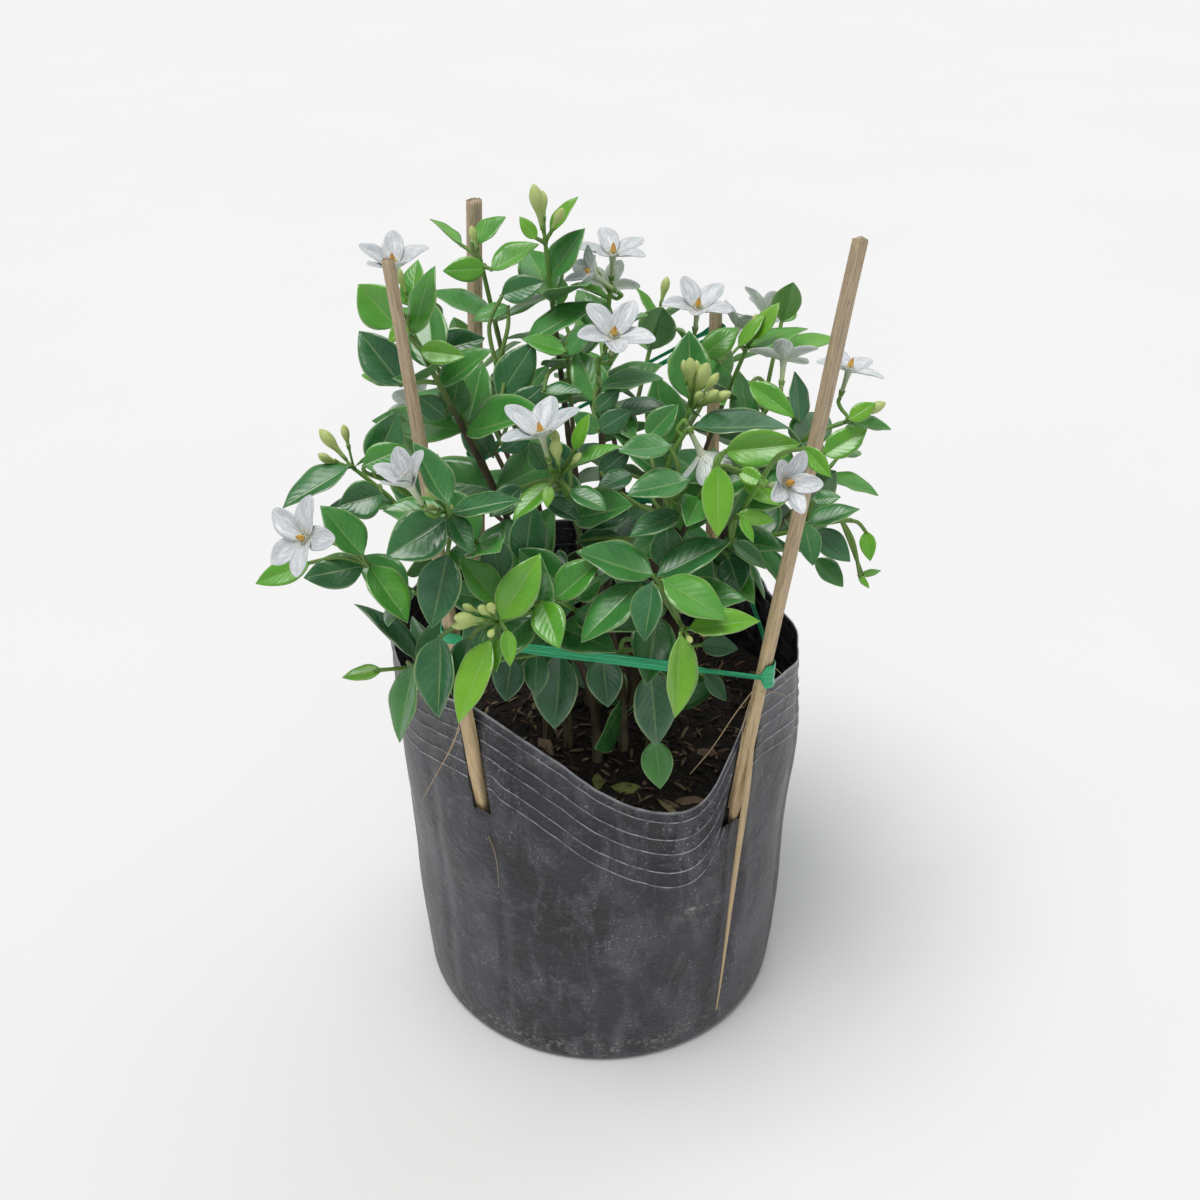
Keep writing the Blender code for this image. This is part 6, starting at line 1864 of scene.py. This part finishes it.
def add_bar(piece, path, across, outward, widths, depths, rough, seed):
    """Add a split bamboo bar with lengthwise fibres and torn ends."""
    rings = []
    lengths = run_lengths(path)
    for i, (point, run) in enumerate(zip(path, lengths)):
        ring = []
        for j, (a, b) in enumerate(rounded_outline(widths[i], depths[i], STAKE_SIDES, 4.0)):
            turn = FULL_TURN * j / STAKE_SIDES
            grain = noise.noise(Vector((math.cos(turn) * 3.2, math.sin(turn) * 3.2 + seed, run * 9.0)))
            fine = noise.noise(Vector((math.cos(turn) * 9.0, math.sin(turn) * 9.0 + seed, run * 30.0)))
            grow = 1 + (0.10 * grain + 0.07 * fine) * rough[i]
            ring.append(point + across * (a * grow) + outward * (b * grow))
        rings.append(ring)
    tear = (path[-1] - path[-2]).normalized()
    for j in range(STAKE_SIDES):
        jag = noise.noise(Vector((j * 0.9, seed, 2.0)))
        rings[-1][j] += tear * (0.0011 * jag)
        rings[0][j] += tear * (0.0011 * jag)
    verts, faces = loft(rings)
    around = np.tile(np.arange(STAKE_SIDES) / STAKE_SIDES, len(rings))
    piece.add(
        verts, faces, 0, tone=seed * 0.13 % 1.0, across=around,
        along=np.repeat(lengths, STAKE_SIDES), under=np.repeat(rough, STAKE_SIDES) * 0.3,
    )


def build_stake_detail(name, seed):
    """Build one split bamboo stake with its fibres, the right front one with its torn splinter."""
    piece = Piece(name + "_detail", (BAMBOO_LOOK,), "bamboo", name)
    top, _, low = STAKES[name][:3]
    across, outward = stake_axes(name)
    end = stake_at(name, low)
    last = len(STAKE_WAVES) - 1
    coarse = [end.lerp(top, i / last) + across * wave[0] for i, wave in enumerate(STAKE_WAVES)]
    path, swell = smooth_path(coarse, [wave[1] for wave in STAKE_WAVES], STAKE_ROWS // last)
    rough = [1.0] * len(path)
    girths = [stake_girth(name, point.z) * grow for point, grow in zip(path, swell)]
    widths = [STAKE_WIDTH * g * (0.985 + 0.03 * math.sin(i * 0.11 + seed)) for i, g in enumerate(girths)]
    depths = [STAKE_DEPTH * g for g in girths]
    if name == "stake_front_right":
        for i, point in enumerate(path):
            frayed = math.exp(-((point.z - SPLINTER_TOP_LEVEL) / FRAY_REACH) ** 2)
            rough[i] += 2.2 * frayed
            widths[i] *= 1 + 0.05 * frayed
    add_bar(piece, path, across, outward, widths, depths, rough, seed)
    if name == "stake_front_right":
        add_splinter(piece, name, across, outward, seed + 3)
    for *spots, radius in FIBRES.get(name, ()):
        knots = resting_path(name, spots)
        fine, widths = smooth_path(knots, [radius, radius, radius * 0.8, radius * 0.45], 8)
        add_tube(piece, fine, widths, 6, 0, 0.9)
    return piece.finish()


def add_splinter(piece, name, across, outward, seed):
    """Add the long splinter that leaves a stake and runs down outside the film."""
    start = stake_at(name, SPLINTER_TOP_LEVEL) + across * 0.0012 + outward * 0.0008
    path = []
    widths = []
    depths = []
    for i in range(SPLINTER_STEPS + 1):
        t = i / SPLINTER_STEPS
        bow = 0.0007 * math.sin(math.pi * t) + 0.0003 * math.sin(9 * t)
        path.append(start.lerp(SPLINTER_TIP, t) + across * bow)
        taper = np.interp(t, (0.0, 0.2, 0.45, 0.7, 1.0), (0.75, 1.1, 0.85, 0.55, 0.20))
        widths.append(SPLINTER_WIDTH * taper)
        depths.append(SPLINTER_DEPTH * max(taper, 0.3))
    add_bar(piece, path, across, outward, widths, depths, [1.5] * len(path), seed)


# Fine tape
TAPE_FILM = 0.00026
TAPE_SHARES = np.linspace(-1.0, 1.0, 9)
TAPE_STEPS = 14


def closed_smooth(path, heights, steps):
    """Return a finer closed path through the same points, rounded at its turns."""
    points = []
    tall = []
    total = len(path)
    for i in range(total):
        a, b = path[i - 1], path[i]
        c, d = path[(i + 1) % total], path[(i + 2) % total]
        span = (c - b).length
        lead = (c - a).normalized() * min((b - a).length, span) * 0.5
        follow = (d - b).normalized() * min((d - c).length, span) * 0.5
        for k in range(steps):
            t = k / steps
            h1, h2, h3, h4 = curve_weights(t)
            points.append(b * h1 + lead * (h2 * 1.4) + c * h3 + follow * (h4 * 1.4))
            tall.append(heights[i] * (1 - t) + heights[(i + 1) % total] * t)
    return points, tall


def tape_rows(path, heights, seed):
    """Return the points round a crumpled tape at each step, and how far along each step is."""
    total = len(path)
    centre = mean_of(path)
    rows = []
    runs = []
    run = 0.0
    for i, point in enumerate(path):
        step = path[(i + 1) % total] - path[i - 1]
        runs.append(run)
        run += step.length / 2
        flat = level(step).normalized()
        out = Vector((flat.y, -flat.x, 0.0))
        if out.dot(point - centre) < 0:
            out = -out
        outer = []
        inner = []
        for share in TAPE_SHARES:
            place = Vector((share * 2.1 + seed, run * 26.0, seed))
            crumple = 0.00034 * noise.noise(place) + 0.00022 * math.sin(share * 7.0 + run * 20.0)
            rise = UP * (TAPE_HEIGHT / 2 * heights[i] * share * (1 + 0.05 * math.sin(run * 160)))
            outer.append(point + rise + out * (crumple + TAPE_FILM / 2))
            inner.append(point + rise + out * (crumple - TAPE_FILM / 2))
        rows.append(outer + inner[::-1])
    return rows, runs


def build_tie_detail(name, stops, stretches, seed):
    """Build one loop of thin tape, folded lengthwise where it is drawn tight."""
    piece = Piece(name + "_detail", (TAPE_LOOK,), "green_tape", name)
    rows, runs = tape_rows(*closed_smooth(*tie_path(stops, stretches), TAPE_STEPS), seed)
    total = len(rows)
    width = len(rows[0])
    verts = [p for row in rows for p in row]
    faces = []
    for i in range(total):
        j = (i + 1) % total
        for k in range(width):
            m = (k + 1) % width
            faces.append((i * width + k, i * width + m, j * width + m, j * width + k))
    across = np.tile(np.concatenate([TAPE_SHARES, TAPE_SHARES[::-1]]), total)
    piece.add(verts, faces, 0, across=across, along=np.repeat(runs, width))
    made = piece.finish()
    make_outward(made)
    return made


# Materials
class Nodes:
    """Builds one material's node tree."""

    def __init__(self, name):
        self.look = bpy.data.materials.new(name)
        self.look.use_nodes = True
        self.tree = self.look.node_tree
        self.shader = self.tree.nodes["Principled BSDF"]

    def add(self, kind, inputs=None, **settings):
        """Add a node, with values or other nodes' outputs on its inputs."""
        node = self.tree.nodes.new("ShaderNode" + kind)
        for key, value in settings.items():
            setattr(node, key, value)
        for key, value in (inputs or {}).items():
            self.put(node.inputs[key], value)
        return node

    def put(self, socket, value):
        """Set a socket to a value or link it to an output."""
        if isinstance(value, bpy.types.NodeSocket):
            self.tree.links.new(value, socket)
        else:
            socket.default_value = value

    def value(self, name):
        """Return one of the piece's stored values."""
        return self.add("Attribute", attribute_name=name).outputs["Fac"]

    def place(self):
        """Return the point in the part's own frame."""
        return self.add("TexCoord").outputs["Object"]

    def math(self, operation, a, b=0.0, c=0.0):
        """Return the result of a sum on numbers."""
        node = self.add("Math", {0: a, 1: b, 2: c}, operation=operation)
        return node.outputs[0]

    def times(self, a, b):
        """Return a product."""
        return self.math("MULTIPLY", a, b)

    def plus(self, a, b):
        """Return a sum."""
        return self.math("ADD", a, b)

    def height(self):
        """Return the height in the part's own frame."""
        return self.add("SeparateXYZ", {0: self.place()}).outputs["Z"]

    def spot(self, x, y, z):
        """Return the point with three values."""
        return self.add("CombineXYZ", {"X": x, "Y": y, "Z": z}).outputs["Vector"]

    def noise(self, vector, scale, detail=3.0, roughness=0.5, distortion=0.0):
        """Return a noise value."""
        node = self.add("TexNoise", {
            "Vector": vector, "Scale": scale, "Detail": detail, "Roughness": roughness,
            "Distortion": distortion,
        })
        return node.outputs["Fac"]

    def stretch(self, vector, scale):
        """Return a point scaled along its axes."""
        return self.add("Mapping", {"Vector": vector, "Scale": scale}).outputs["Vector"]

    def ramp(self, value, low, high, start=0.0, end=1.0):
        """Return a value carried from one range to another, held at its ends."""
        node = self.add("MapRange", {
            "Value": value, "From Min": low, "From Max": high, "To Min": start, "To Max": end,
        })
        return node.outputs["Result"]

    def colours(self, value, *stops):
        """Return a colour from a row of places and colours."""
        node = self.add("ValToRGB", {"Fac": value})
        ramp = node.color_ramp
        while len(ramp.elements) < len(stops):
            ramp.elements.new(1.0)
        for element, (place, colour) in zip(ramp.elements, stops):
            element.position = place
            element.color = (*colour, 1.0)
        return node.outputs["Color"]

    def mix(self, share, a, b, blend="MIX"):
        """Return two colours mixed."""
        node = self.add("Mix", data_type="RGBA", blend_type=blend)
        for name, value in (("Factor_Float", share), ("A_Color", a), ("B_Color", b)):
            socket = next(s for s in node.inputs if s.identifier == name)
            if isinstance(value, tuple):
                value = (*value, 1.0)
            self.put(socket, value)
        return next(s for s in node.outputs if s.identifier == "Result_Color")

    def bump(self, height, strength, distance, normal=None):
        """Return a normal roughened by a height."""
        inputs = {"Height": height, "Strength": strength, "Distance": distance}
        if normal is not None:
            inputs["Normal"] = normal
        return self.add("Bump", inputs).outputs["Normal"]

    def finish(self, **inputs):
        """Set the shader's sockets and return the material."""
        for key, value in inputs.items():
            if isinstance(value, tuple) and len(value) == 3:
                value = (*value, 1.0)
            self.put(self.shader.inputs[key.replace("_", " ")], value)
        return self.look


def leaf_look():
    """Glossy leaves: tone by age and painted shade, pale rib, faint side veins and thin pale edge, a painted
    bluish sheen on the darker ones, duller below.
    """
    net = Nodes("leaf")
    tone, across, along, under = (net.value(key) for key in Piece.VALUES)
    place = net.place()
    blotch = net.noise(place, 70.0, 3.0)
    grain = net.noise(place, 900.0, 2.0)
    shade = net.plus(tone, net.ramp(blotch, 0.3, 0.7, -0.12, 0.12))
    base = net.colours(
        shade, (0.0, (0.016, 0.098, 0.036)), (0.22, (0.032, 0.175, 0.040)), (0.45, (0.064, 0.285, 0.036)),
        (0.70, (0.105, 0.370, 0.022)), (1.0, (0.175, 0.440, 0.014)),
    )
    sideways = net.math("ABSOLUTE", across)
    slant = net.math("MULTIPLY_ADD", sideways, -0.34, along)
    wander = net.math("MULTIPLY_ADD", blotch, 0.10, slant)
    wave = net.math("SINE", net.times(wander, 50.0))
    veins = net.times(net.ramp(wave, 0.80, 1.0), net.ramp(sideways, 0.90, 0.55))
    rib = net.ramp(sideways, 0.070, 0.020)
    edge = net.ramp(sideways, 0.890, 0.965)
    pale = net.mix(0.60, base, (0.40, 0.56, 0.22))
    colour = net.mix(net.times(veins, 0.12), base, pale)
    colour = net.mix(net.times(rib, 0.55), colour, pale)
    colour = net.mix(net.times(edge, 0.95), colour, pale)
    # A bluish tint on the darker leaves: a painted sky sheen.
    painted_sheen = net.times(net.ramp(blotch, 0.45, 0.75), net.ramp(tone, 0.45, 0.10))
    colour = net.mix(net.times(painted_sheen, 0.55), colour, (0.060, 0.170, 0.115))
    below = net.mix(0.45, colour, (0.15, 0.27, 0.12))
    colour = net.mix(under, colour, below)
    colour = net.mix(net.ramp(grain, 0.62, 0.80, 0.0, 0.22), colour, pale)
    height = net.math("MULTIPLY_ADD", wave, -0.10, net.times(rib, -1.4))
    height = net.plus(height, net.times(blotch, 2.2))
    normal = net.bump(height, 0.35, 0.0005)
    normal = net.bump(grain, 0.08, 0.0002, normal)
    rough = net.plus(net.ramp(blotch, 0.3, 0.7, 0.20, 0.38), net.times(under, 0.25))
    return net.finish(Base_Color=colour, Roughness=rough, Specular_IOR_Level=0.75, Normal=normal)


def stem_look():
    """Green at the tips, brown bark with pale flecks further down."""
    net = Nodes("stem")
    woody = net.value("tone")
    place = net.place()
    streak = net.noise(net.stretch(place, (420.0, 420.0, 70.0)), 1.0, 4.0)
    fleck = net.noise(place, 700.0, 2.0)
    green = net.mix(streak, (0.095, 0.23, 0.030), (0.18, 0.34, 0.06))
    bark = net.mix(streak, (0.026, 0.018, 0.012), (0.120, 0.085, 0.050))
    low = net.height()
    dusty = net.times(net.ramp(low, 0.205, 0.160), net.ramp(streak, 0.30, 0.50))
    bark = net.mix(net.times(dusty, 0.85), bark, (0.27, 0.23, 0.145))
    colour = net.mix(woody, green, bark)
    colour = net.mix(net.ramp(fleck, 0.62, 0.75, 0.0, 0.45), colour, (0.26, 0.24, 0.17))
    normal = net.bump(net.plus(streak, net.times(fleck, 0.5)), 0.6, 0.0004)
    rough = net.ramp(woody, 0.0, 1.0, 0.45, 0.85)
    return net.finish(Base_Color=colour, Roughness=rough, Normal=normal)


def bud_look():
    """Pale yellow-green buds, greener at the foot."""
    net = Nodes("bud")
    tone, across, along, _ = (net.value(key) for key in Piece.VALUES)
    ribs = net.math("SINE", net.times(net.plus(across, net.times(along, 40.0)), 31.4))
    mottle = net.noise(net.place(), 500.0, 3.0)
    colour = net.colours(
        tone, (0.0, (0.12, 0.26, 0.04)), (0.6, (0.26, 0.42, 0.09)), (1.0, (0.46, 0.56, 0.17)),
    )
    colour = net.mix(net.ramp(mottle, 0.35, 0.65, 0.0, 0.30), colour, (0.62, 0.68, 0.36))
    normal = net.bump(net.plus(ribs, mottle), 0.20, 0.0002)
    return net.finish(Base_Color=colour, Roughness=net.ramp(mottle, 0.3, 0.7, 0.35, 0.5), Normal=normal)


def petal_look():
    """White petals with soft lengthwise streaks of painted blue-grey shade and painted highlight, a wet
    shine, greenish at the foot.
    """
    net = Nodes("petal")
    tone, across, along, under = (net.value(key) for key in Piece.VALUES)
    place = net.place()
    cloud = net.noise(place, 260.0, 3.0)
    spot = net.spot(net.times(across, 1.7), along, net.times(cloud, 1.4))
    streak = net.noise(spot, 2.2, 3.0, 0.55)
    veins = net.math("SINE", net.times(across, 30.0))
    veins = net.times(net.ramp(veins, 0.55, 1.0), net.ramp(along, 1.0, 0.15))
    # Blue-grey where the streaks are low and near white where they are high: painted shade and painted
    # highlight on white petals.
    white = net.colours(
        streak, (0.32, (0.510, 0.550, 0.585)), (0.50, (0.630, 0.660, 0.685)), (0.68, (0.830, 0.845, 0.855)),
    )
    white = net.mix(net.times(veins, 0.07), white, (0.36, 0.40, 0.44))
    heart = net.ramp(along, 0.25, 0.0)
    white = net.mix(net.times(heart, 0.45), white, (0.70, 0.70, 0.42))
    below = net.mix(net.ramp(along, 0.9, 0.2, 0.10, 0.45), white, (0.56, 0.64, 0.46))
    colour = net.mix(under, white, below)
    colour = net.mix(tone, colour, (0.36, 0.47, 0.20))
    normal = net.bump(net.plus(net.times(streak, 1.5), veins), 0.32, 0.0005)
    net.shader.inputs["Subsurface Radius"].default_value = (1.0, 1.0, 0.9)
    return net.finish(
        Base_Color=colour, Roughness=net.ramp(streak, 0.3, 0.7, 0.20, 0.36), Normal=normal,
        Subsurface_Weight=0.15, Subsurface_Scale=0.0008, Specular_IOR_Level=0.6,
    )


def stamen_look():
    """Orange-yellow anthers with brown tips and grains of pollen."""
    net = Nodes("stamen")
    tone = net.value("tone")
    grain = net.noise(net.place(), 1600.0, 2.0)
    colour = net.colours(
        tone, (0.0, (0.72, 0.60, 0.22)), (0.4, (0.78, 0.42, 0.06)), (0.85, (0.55, 0.24, 0.03)),
        (1.0, (0.20, 0.09, 0.02)),
    )
    colour = net.mix(net.ramp(grain, 0.5, 0.7, 0.0, 0.6), colour, (0.85, 0.68, 0.20))
    normal = net.bump(grain, 0.5, 0.0003)
    return net.finish(Base_Color=colour, Roughness=net.ramp(grain, 0.3, 0.7, 0.45, 0.75), Normal=normal)


def film_look():
    """Black polythene film: dull sheen, dust and specks, weld lines and wrinkle crests with a painted
    highlight, pale rim, sandy foot.
    """
    net = Nodes("bag_film")
    weld, _, scuff, rim = (net.value(key) for key in Piece.VALUES)
    place = net.place()
    cloud = net.noise(place, 24.0, 4.0, 0.6)
    smear = net.noise(net.stretch(place, (75.0, 75.0, 26.0)), 1.0, 6.0, 0.66, 0.9)
    fine = net.noise(place, 420.0, 3.0)
    patch = net.noise(place, 140.0, 3.0)
    wrinkle = net.noise(net.stretch(place, (1.0, 1.0, 1.5)), 90.0, 5.0, 0.62, 1.1)
    colour = net.mix(net.ramp(cloud, 0.38, 0.64), (0.007, 0.007, 0.011), (0.030, 0.030, 0.043))
    colour = net.mix(net.ramp(smear, 0.48, 0.70, 0.0, 0.75), colour, (0.115, 0.113, 0.132))
    # Wrinkle crests painted lighter: a painted sheen on the film's ridges.
    colour = net.mix(net.ramp(wrinkle, 0.58, 0.72, 0.0, 0.45), colour, (0.130, 0.128, 0.146))
    speck = net.noise(place, 1000.0, 1.0)
    height = net.height()
    high = net.ramp(height, 0.135, 0.200, 0.70, 1.0)
    dust = net.times(net.ramp(speck, 0.655, 0.720), net.ramp(smear, 0.42, 0.60))
    colour = net.mix(net.times(dust, net.times(high, 0.85)), colour, (0.42, 0.41, 0.42))
    grit = net.times(scuff, net.ramp(patch, 0.44, 0.60))
    colour = net.mix(net.times(grit, net.ramp(fine, 0.40, 0.60, 0.10, 0.75)), colour, (0.36, 0.34, 0.33))
    gather = net.times(net.ramp(smear, 0.50, 0.62), net.ramp(height, 0.135, 0.020, 0.25, 1.0))
    grain = net.times(net.ramp(net.noise(place, 620.0, 3.0, 0.7), 0.655, 0.695), gather)
    colour = net.mix(net.times(grain, 0.90), colour, (0.54, 0.52, 0.49))
    # Pale broken lines along the weld ridges: a painted highlight on their relief.
    weld_highlight_breaks = net.times(net.ramp(patch, 0.36, 0.56, 0.30, 1.0), net.ramp(fine, 0.36, 0.50, 0.55, 1.0))
    line = net.times(net.ramp(weld, 0.40, 0.90), weld_highlight_breaks)
    colour = net.mix(line, colour, (0.56, 0.56, 0.60))
    colour = net.mix(net.times(rim, net.ramp(patch, 0.32, 0.56, 0.45, 1.0)), colour, (0.50, 0.50, 0.53))
    low = net.times(net.ramp(height, 0.024, 0.001), net.ramp(fine, 0.50, 0.60))
    low = net.times(low, net.ramp(patch, 0.42, 0.60))
    colour = net.mix(net.times(low, 0.90), colour, (0.36, 0.32, 0.27))
    bumps = net.math("MULTIPLY_ADD", wrinkle, 1.6, net.times(fine, 0.16))
    normal = net.bump(bumps, 0.60, 0.0012)
    rough = net.plus(net.ramp(smear, 0.35, 0.75, 0.30, 0.56), net.times(low, 0.35))
    return net.finish(Base_Color=colour, Roughness=rough, Specular_IOR_Level=0.5, Normal=normal)


def soil_look():
    """Damp dark compost."""
    net = Nodes("potting_soil")
    place = net.place()
    lumps = net.noise(place, 190.0, 5.0, 0.65)
    crumbs = net.noise(place, 900.0, 3.0)
    colour = net.colours(
        lumps, (0.32, (0.0035, 0.0028, 0.0026)), (0.52, (0.018, 0.012, 0.010)), (0.72, (0.062, 0.038, 0.028)),
    )
    colour = net.mix(net.ramp(crumbs, 0.62, 0.72, 0.0, 0.7), colour, (0.19, 0.14, 0.11))
    normal = net.bump(net.plus(lumps, crumbs), 0.9, 0.0015)
    return net.finish(Base_Color=colour, Roughness=net.ramp(crumbs, 0.3, 0.7, 0.70, 0.98), Normal=normal)


def chip_look():
    """Bark chips from near black to reddish brown, and fallen leaves in dull yellow-green."""
    net = Nodes("bark_chips")
    tone = net.value("tone")
    fibre = net.noise(net.place(), 800.0, 3.0)
    colour = net.colours(
        tone, (0.0, (0.012, 0.008, 0.007)), (0.15, (0.060, 0.028, 0.018)), (0.32, (0.18, 0.100, 0.064)),
        (0.55, (0.34, 0.25, 0.16)), (0.78, (0.27, 0.32, 0.08)), (1.0, (0.40, 0.45, 0.12)),
    )
    colour = net.mix(net.ramp(fibre, 0.4, 0.7, 0.0, 0.45), colour, (0.05, 0.035, 0.022))
    normal = net.bump(fibre, 0.7, 0.0006)
    return net.finish(Base_Color=colour, Roughness=net.ramp(fibre, 0.3, 0.7, 0.6, 0.9), Normal=normal)


def bamboo_look():
    """Weathered split bamboo: fine lengthwise grain, grey and tan streaks, dark specks."""
    net = Nodes("bamboo")
    seed, across, along, _ = (net.value(key) for key in Piece.VALUES)
    turn = net.times(across, FULL_TURN)
    spot = net.spot(
        net.times(net.math("COSINE", turn), 2.2),
        net.math("MULTIPLY_ADD", net.math("SINE", turn), 2.2, net.times(seed, 37.0)),
        net.times(along, 14.0),
    )
    grain = net.noise(spot, 5.0, 5.0, 0.65)
    broad = net.noise(spot, 1.1, 2.0)
    speck = net.noise(net.place(), 520.0, 2.0)
    colour = net.colours(
        grain, (0.32, (0.110, 0.066, 0.034)), (0.43, (0.370, 0.262, 0.150)), (0.55, (0.600, 0.460, 0.290)),
        (0.72, (0.820, 0.690, 0.490)),
    )
    colour = net.mix(net.ramp(broad, 0.42, 0.66, 0.0, 0.40), colour, (0.58, 0.48, 0.36))
    height = net.height()
    warm = net.times(net.ramp(height, 0.34, 0.20), net.ramp(grain, 0.35, 0.55, 0.15, 0.70))
    colour = net.mix(warm, colour, (0.78, 0.57, 0.29))
    colour = net.mix(net.ramp(speck, 0.66, 0.76, 0.0, 0.6), colour, (0.12, 0.085, 0.05))
    normal = net.bump(net.plus(grain, net.times(speck, 0.25)), 0.65, 0.0006)
    return net.finish(Base_Color=colour, Roughness=net.ramp(grain, 0.3, 0.7, 0.50, 0.72), Normal=normal)


def tape_look():
    """Thin green plastic tape with lengthwise folds, painted shade in their troughs and painted highlight on
    their crests, and a soft shine.
    """
    net = Nodes("green_tape")
    _, across, along, _ = (net.value(key) for key in Piece.VALUES)
    spot = net.spot(net.times(across, 2.5), net.times(along, 18.0), 0.0)
    folds = net.noise(spot, 2.4, 4.0, 0.6)
    # Darker in the troughs of the folds and lighter on their crests: painted shade and painted highlight.
    colour = net.colours(
        folds, (0.34, (0.003, 0.210, 0.085)), (0.50, (0.010, 0.430, 0.170)), (0.66, (0.055, 0.690, 0.320)),
    )
    normal = net.bump(folds, 0.8, 0.0008)
    return net.finish(
        Base_Color=colour, Roughness=net.ramp(folds, 0.3, 0.7, 0.26, 0.42), Normal=normal, Coat_Weight=0.15,
    )


def floor_look():
    """Pale matt studio floor."""
    net = Nodes("floor")
    grain = net.noise(net.place(), 3.0, 3.0)
    colour = net.mix(grain, (0.80, 0.80, 0.80), (0.84, 0.84, 0.84))
    return net.finish(Base_Color=colour, Roughness=0.9, Specular_IOR_Level=0.2)


LEAF_LOOK = leaf_look()
STEM_LOOK = stem_look()
BUD_LOOK = bud_look()
PETAL_LOOK = petal_look()
STAMEN_LOOK = stamen_look()
FILM_LOOK = film_look()
SOIL_LOOK = soil_look()
CHIP_LOOK = chip_look()
BAMBOO_LOOK = bamboo_look()
TAPE_LOOK = tape_look()


# Camera, light and floor
PICTURE_SIZE = 1200.0
SENSOR = 36.0
FLOOR_SIZE = 16.0
WORLD_STRENGTH = 0.41
WORLD_COLOUR = (0.97, 0.985, 1.0)
# Lights: name, the side it shines from, its spread in degrees, its power and its colour
LIGHTS = (
    ("key", (-0.22, -0.20, 1.0), 34.0, 2.05, (1.0, 0.99, 0.97)),
    ("back", (0.45, 0.80, 0.9), 50.0, 0.45, WORLD_COLOUR),
)


def place_camera():
    """Place the camera at the photograph's angle."""
    lens = bpy.data.cameras.new("camera")
    lens.sensor_width = SENSOR
    lens.lens = SENSOR * FOCAL / PICTURE_SIZE
    camera = add_object("camera", lens)
    camera.location = EYE
    camera.rotation_euler = (math.pi / 2 - PITCH, 0.0, 0.0)
    bpy.context.scene.camera = camera


def add_light(name, source, spread, power, colour):
    """Add one far, soft light that shines from a side."""
    lamp = bpy.data.lights.new(name, "SUN")
    lamp.angle = math.radians(spread)
    lamp.energy = power
    lamp.color = colour
    add_object(name, lamp).rotation_euler = Vector(source).to_track_quat("Z", "Y").to_euler()


def light_studio():
    """Light the scene softly from all round, a little more from above and the left."""
    world = bpy.data.worlds.new("studio")
    bpy.context.scene.world = world
    world.use_nodes = True
    background = world.node_tree.nodes["Background"]
    background.inputs["Color"].default_value = (*WORLD_COLOUR, 1.0)
    background.inputs["Strength"].default_value = WORLD_STRENGTH
    for light in LIGHTS:
        add_light(*light)
    bpy.context.scene.view_settings.view_transform = "Standard"


def lay_floor():
    """Lay a wide pale floor under the bag."""
    mesh = bpy.data.meshes.new("floor")
    half = FLOOR_SIZE / 2
    corners = [(-half, -half, 0.0), (half, -half, 0.0), (half, half, 0.0), (-half, half, 0.0)]
    mesh.from_pydata(corners, [], [(0, 1, 2, 3)])
    mesh.materials.append(floor_look())
    floor = add_object("floor", mesh)


def claim_bloom(name, middle, facing, openness, size, roll, room):
    """Keep a bloom's room clear of all that grows later, as in the part."""
    base = bloom_base(middle, facing)
    throat = middle - facing * 0.0006
    room.add(*tube([base, throat], (0.0010, 0.0020), 6), name)
    for petal in bloom_petals(middle, facing, openness, size, roll):
        room.add(*petal.shape(PETAL_THICKNESS), name)
    foot = throat + facing * GAP
    room.add(*tube([foot, foot + facing * 0.0045], (0.0013, 0.0005), 5), name)


def main():
    """Build every fine piece."""
    place_camera()
    light_studio()
    lay_floor()
    room = Room()
    for node in ("grow_bag", "soil", *STAKES, "tie_lower", "tie_upper"):
        verts, faces = shape_of(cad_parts[node])
        room.add(verts, faces, node)
    build_film()
    build_soil()
    for seed, name in enumerate(STAKES):
        build_stake_detail(name, seed + 1)
    build_tie_detail("tie_lower", LOWER_TIE, (PINCHED, SPREAD_OUT, SPREAD_OUT, SPREAD_OUT), 1.0)
    build_tie_detail("tie_upper", UPPER_TIE, (TWISTED, TWISTED), 5.0)
    detail = np.random.default_rng(SEED + 3)
    middles = {}
    for name, _, middle, facing, openness, size, turn in BLOOMS:
        facing = Vector(facing).normalized()
        roll = petal_roll(facing, turn)
        middles[name] = clear_middle(middle, facing, openness, size, roll, room)
        claim_bloom(name, middles[name], facing, openness, size, roll, room)
        build_bloom_detail(name, middles[name], facing, openness, size, roll, detail)
        build_stamens_detail(name, middles[name], facing, roll)
    for name, stem in grow_bush(middles, room).items():
        build_stem_detail(name, stem, room, detail)


main()
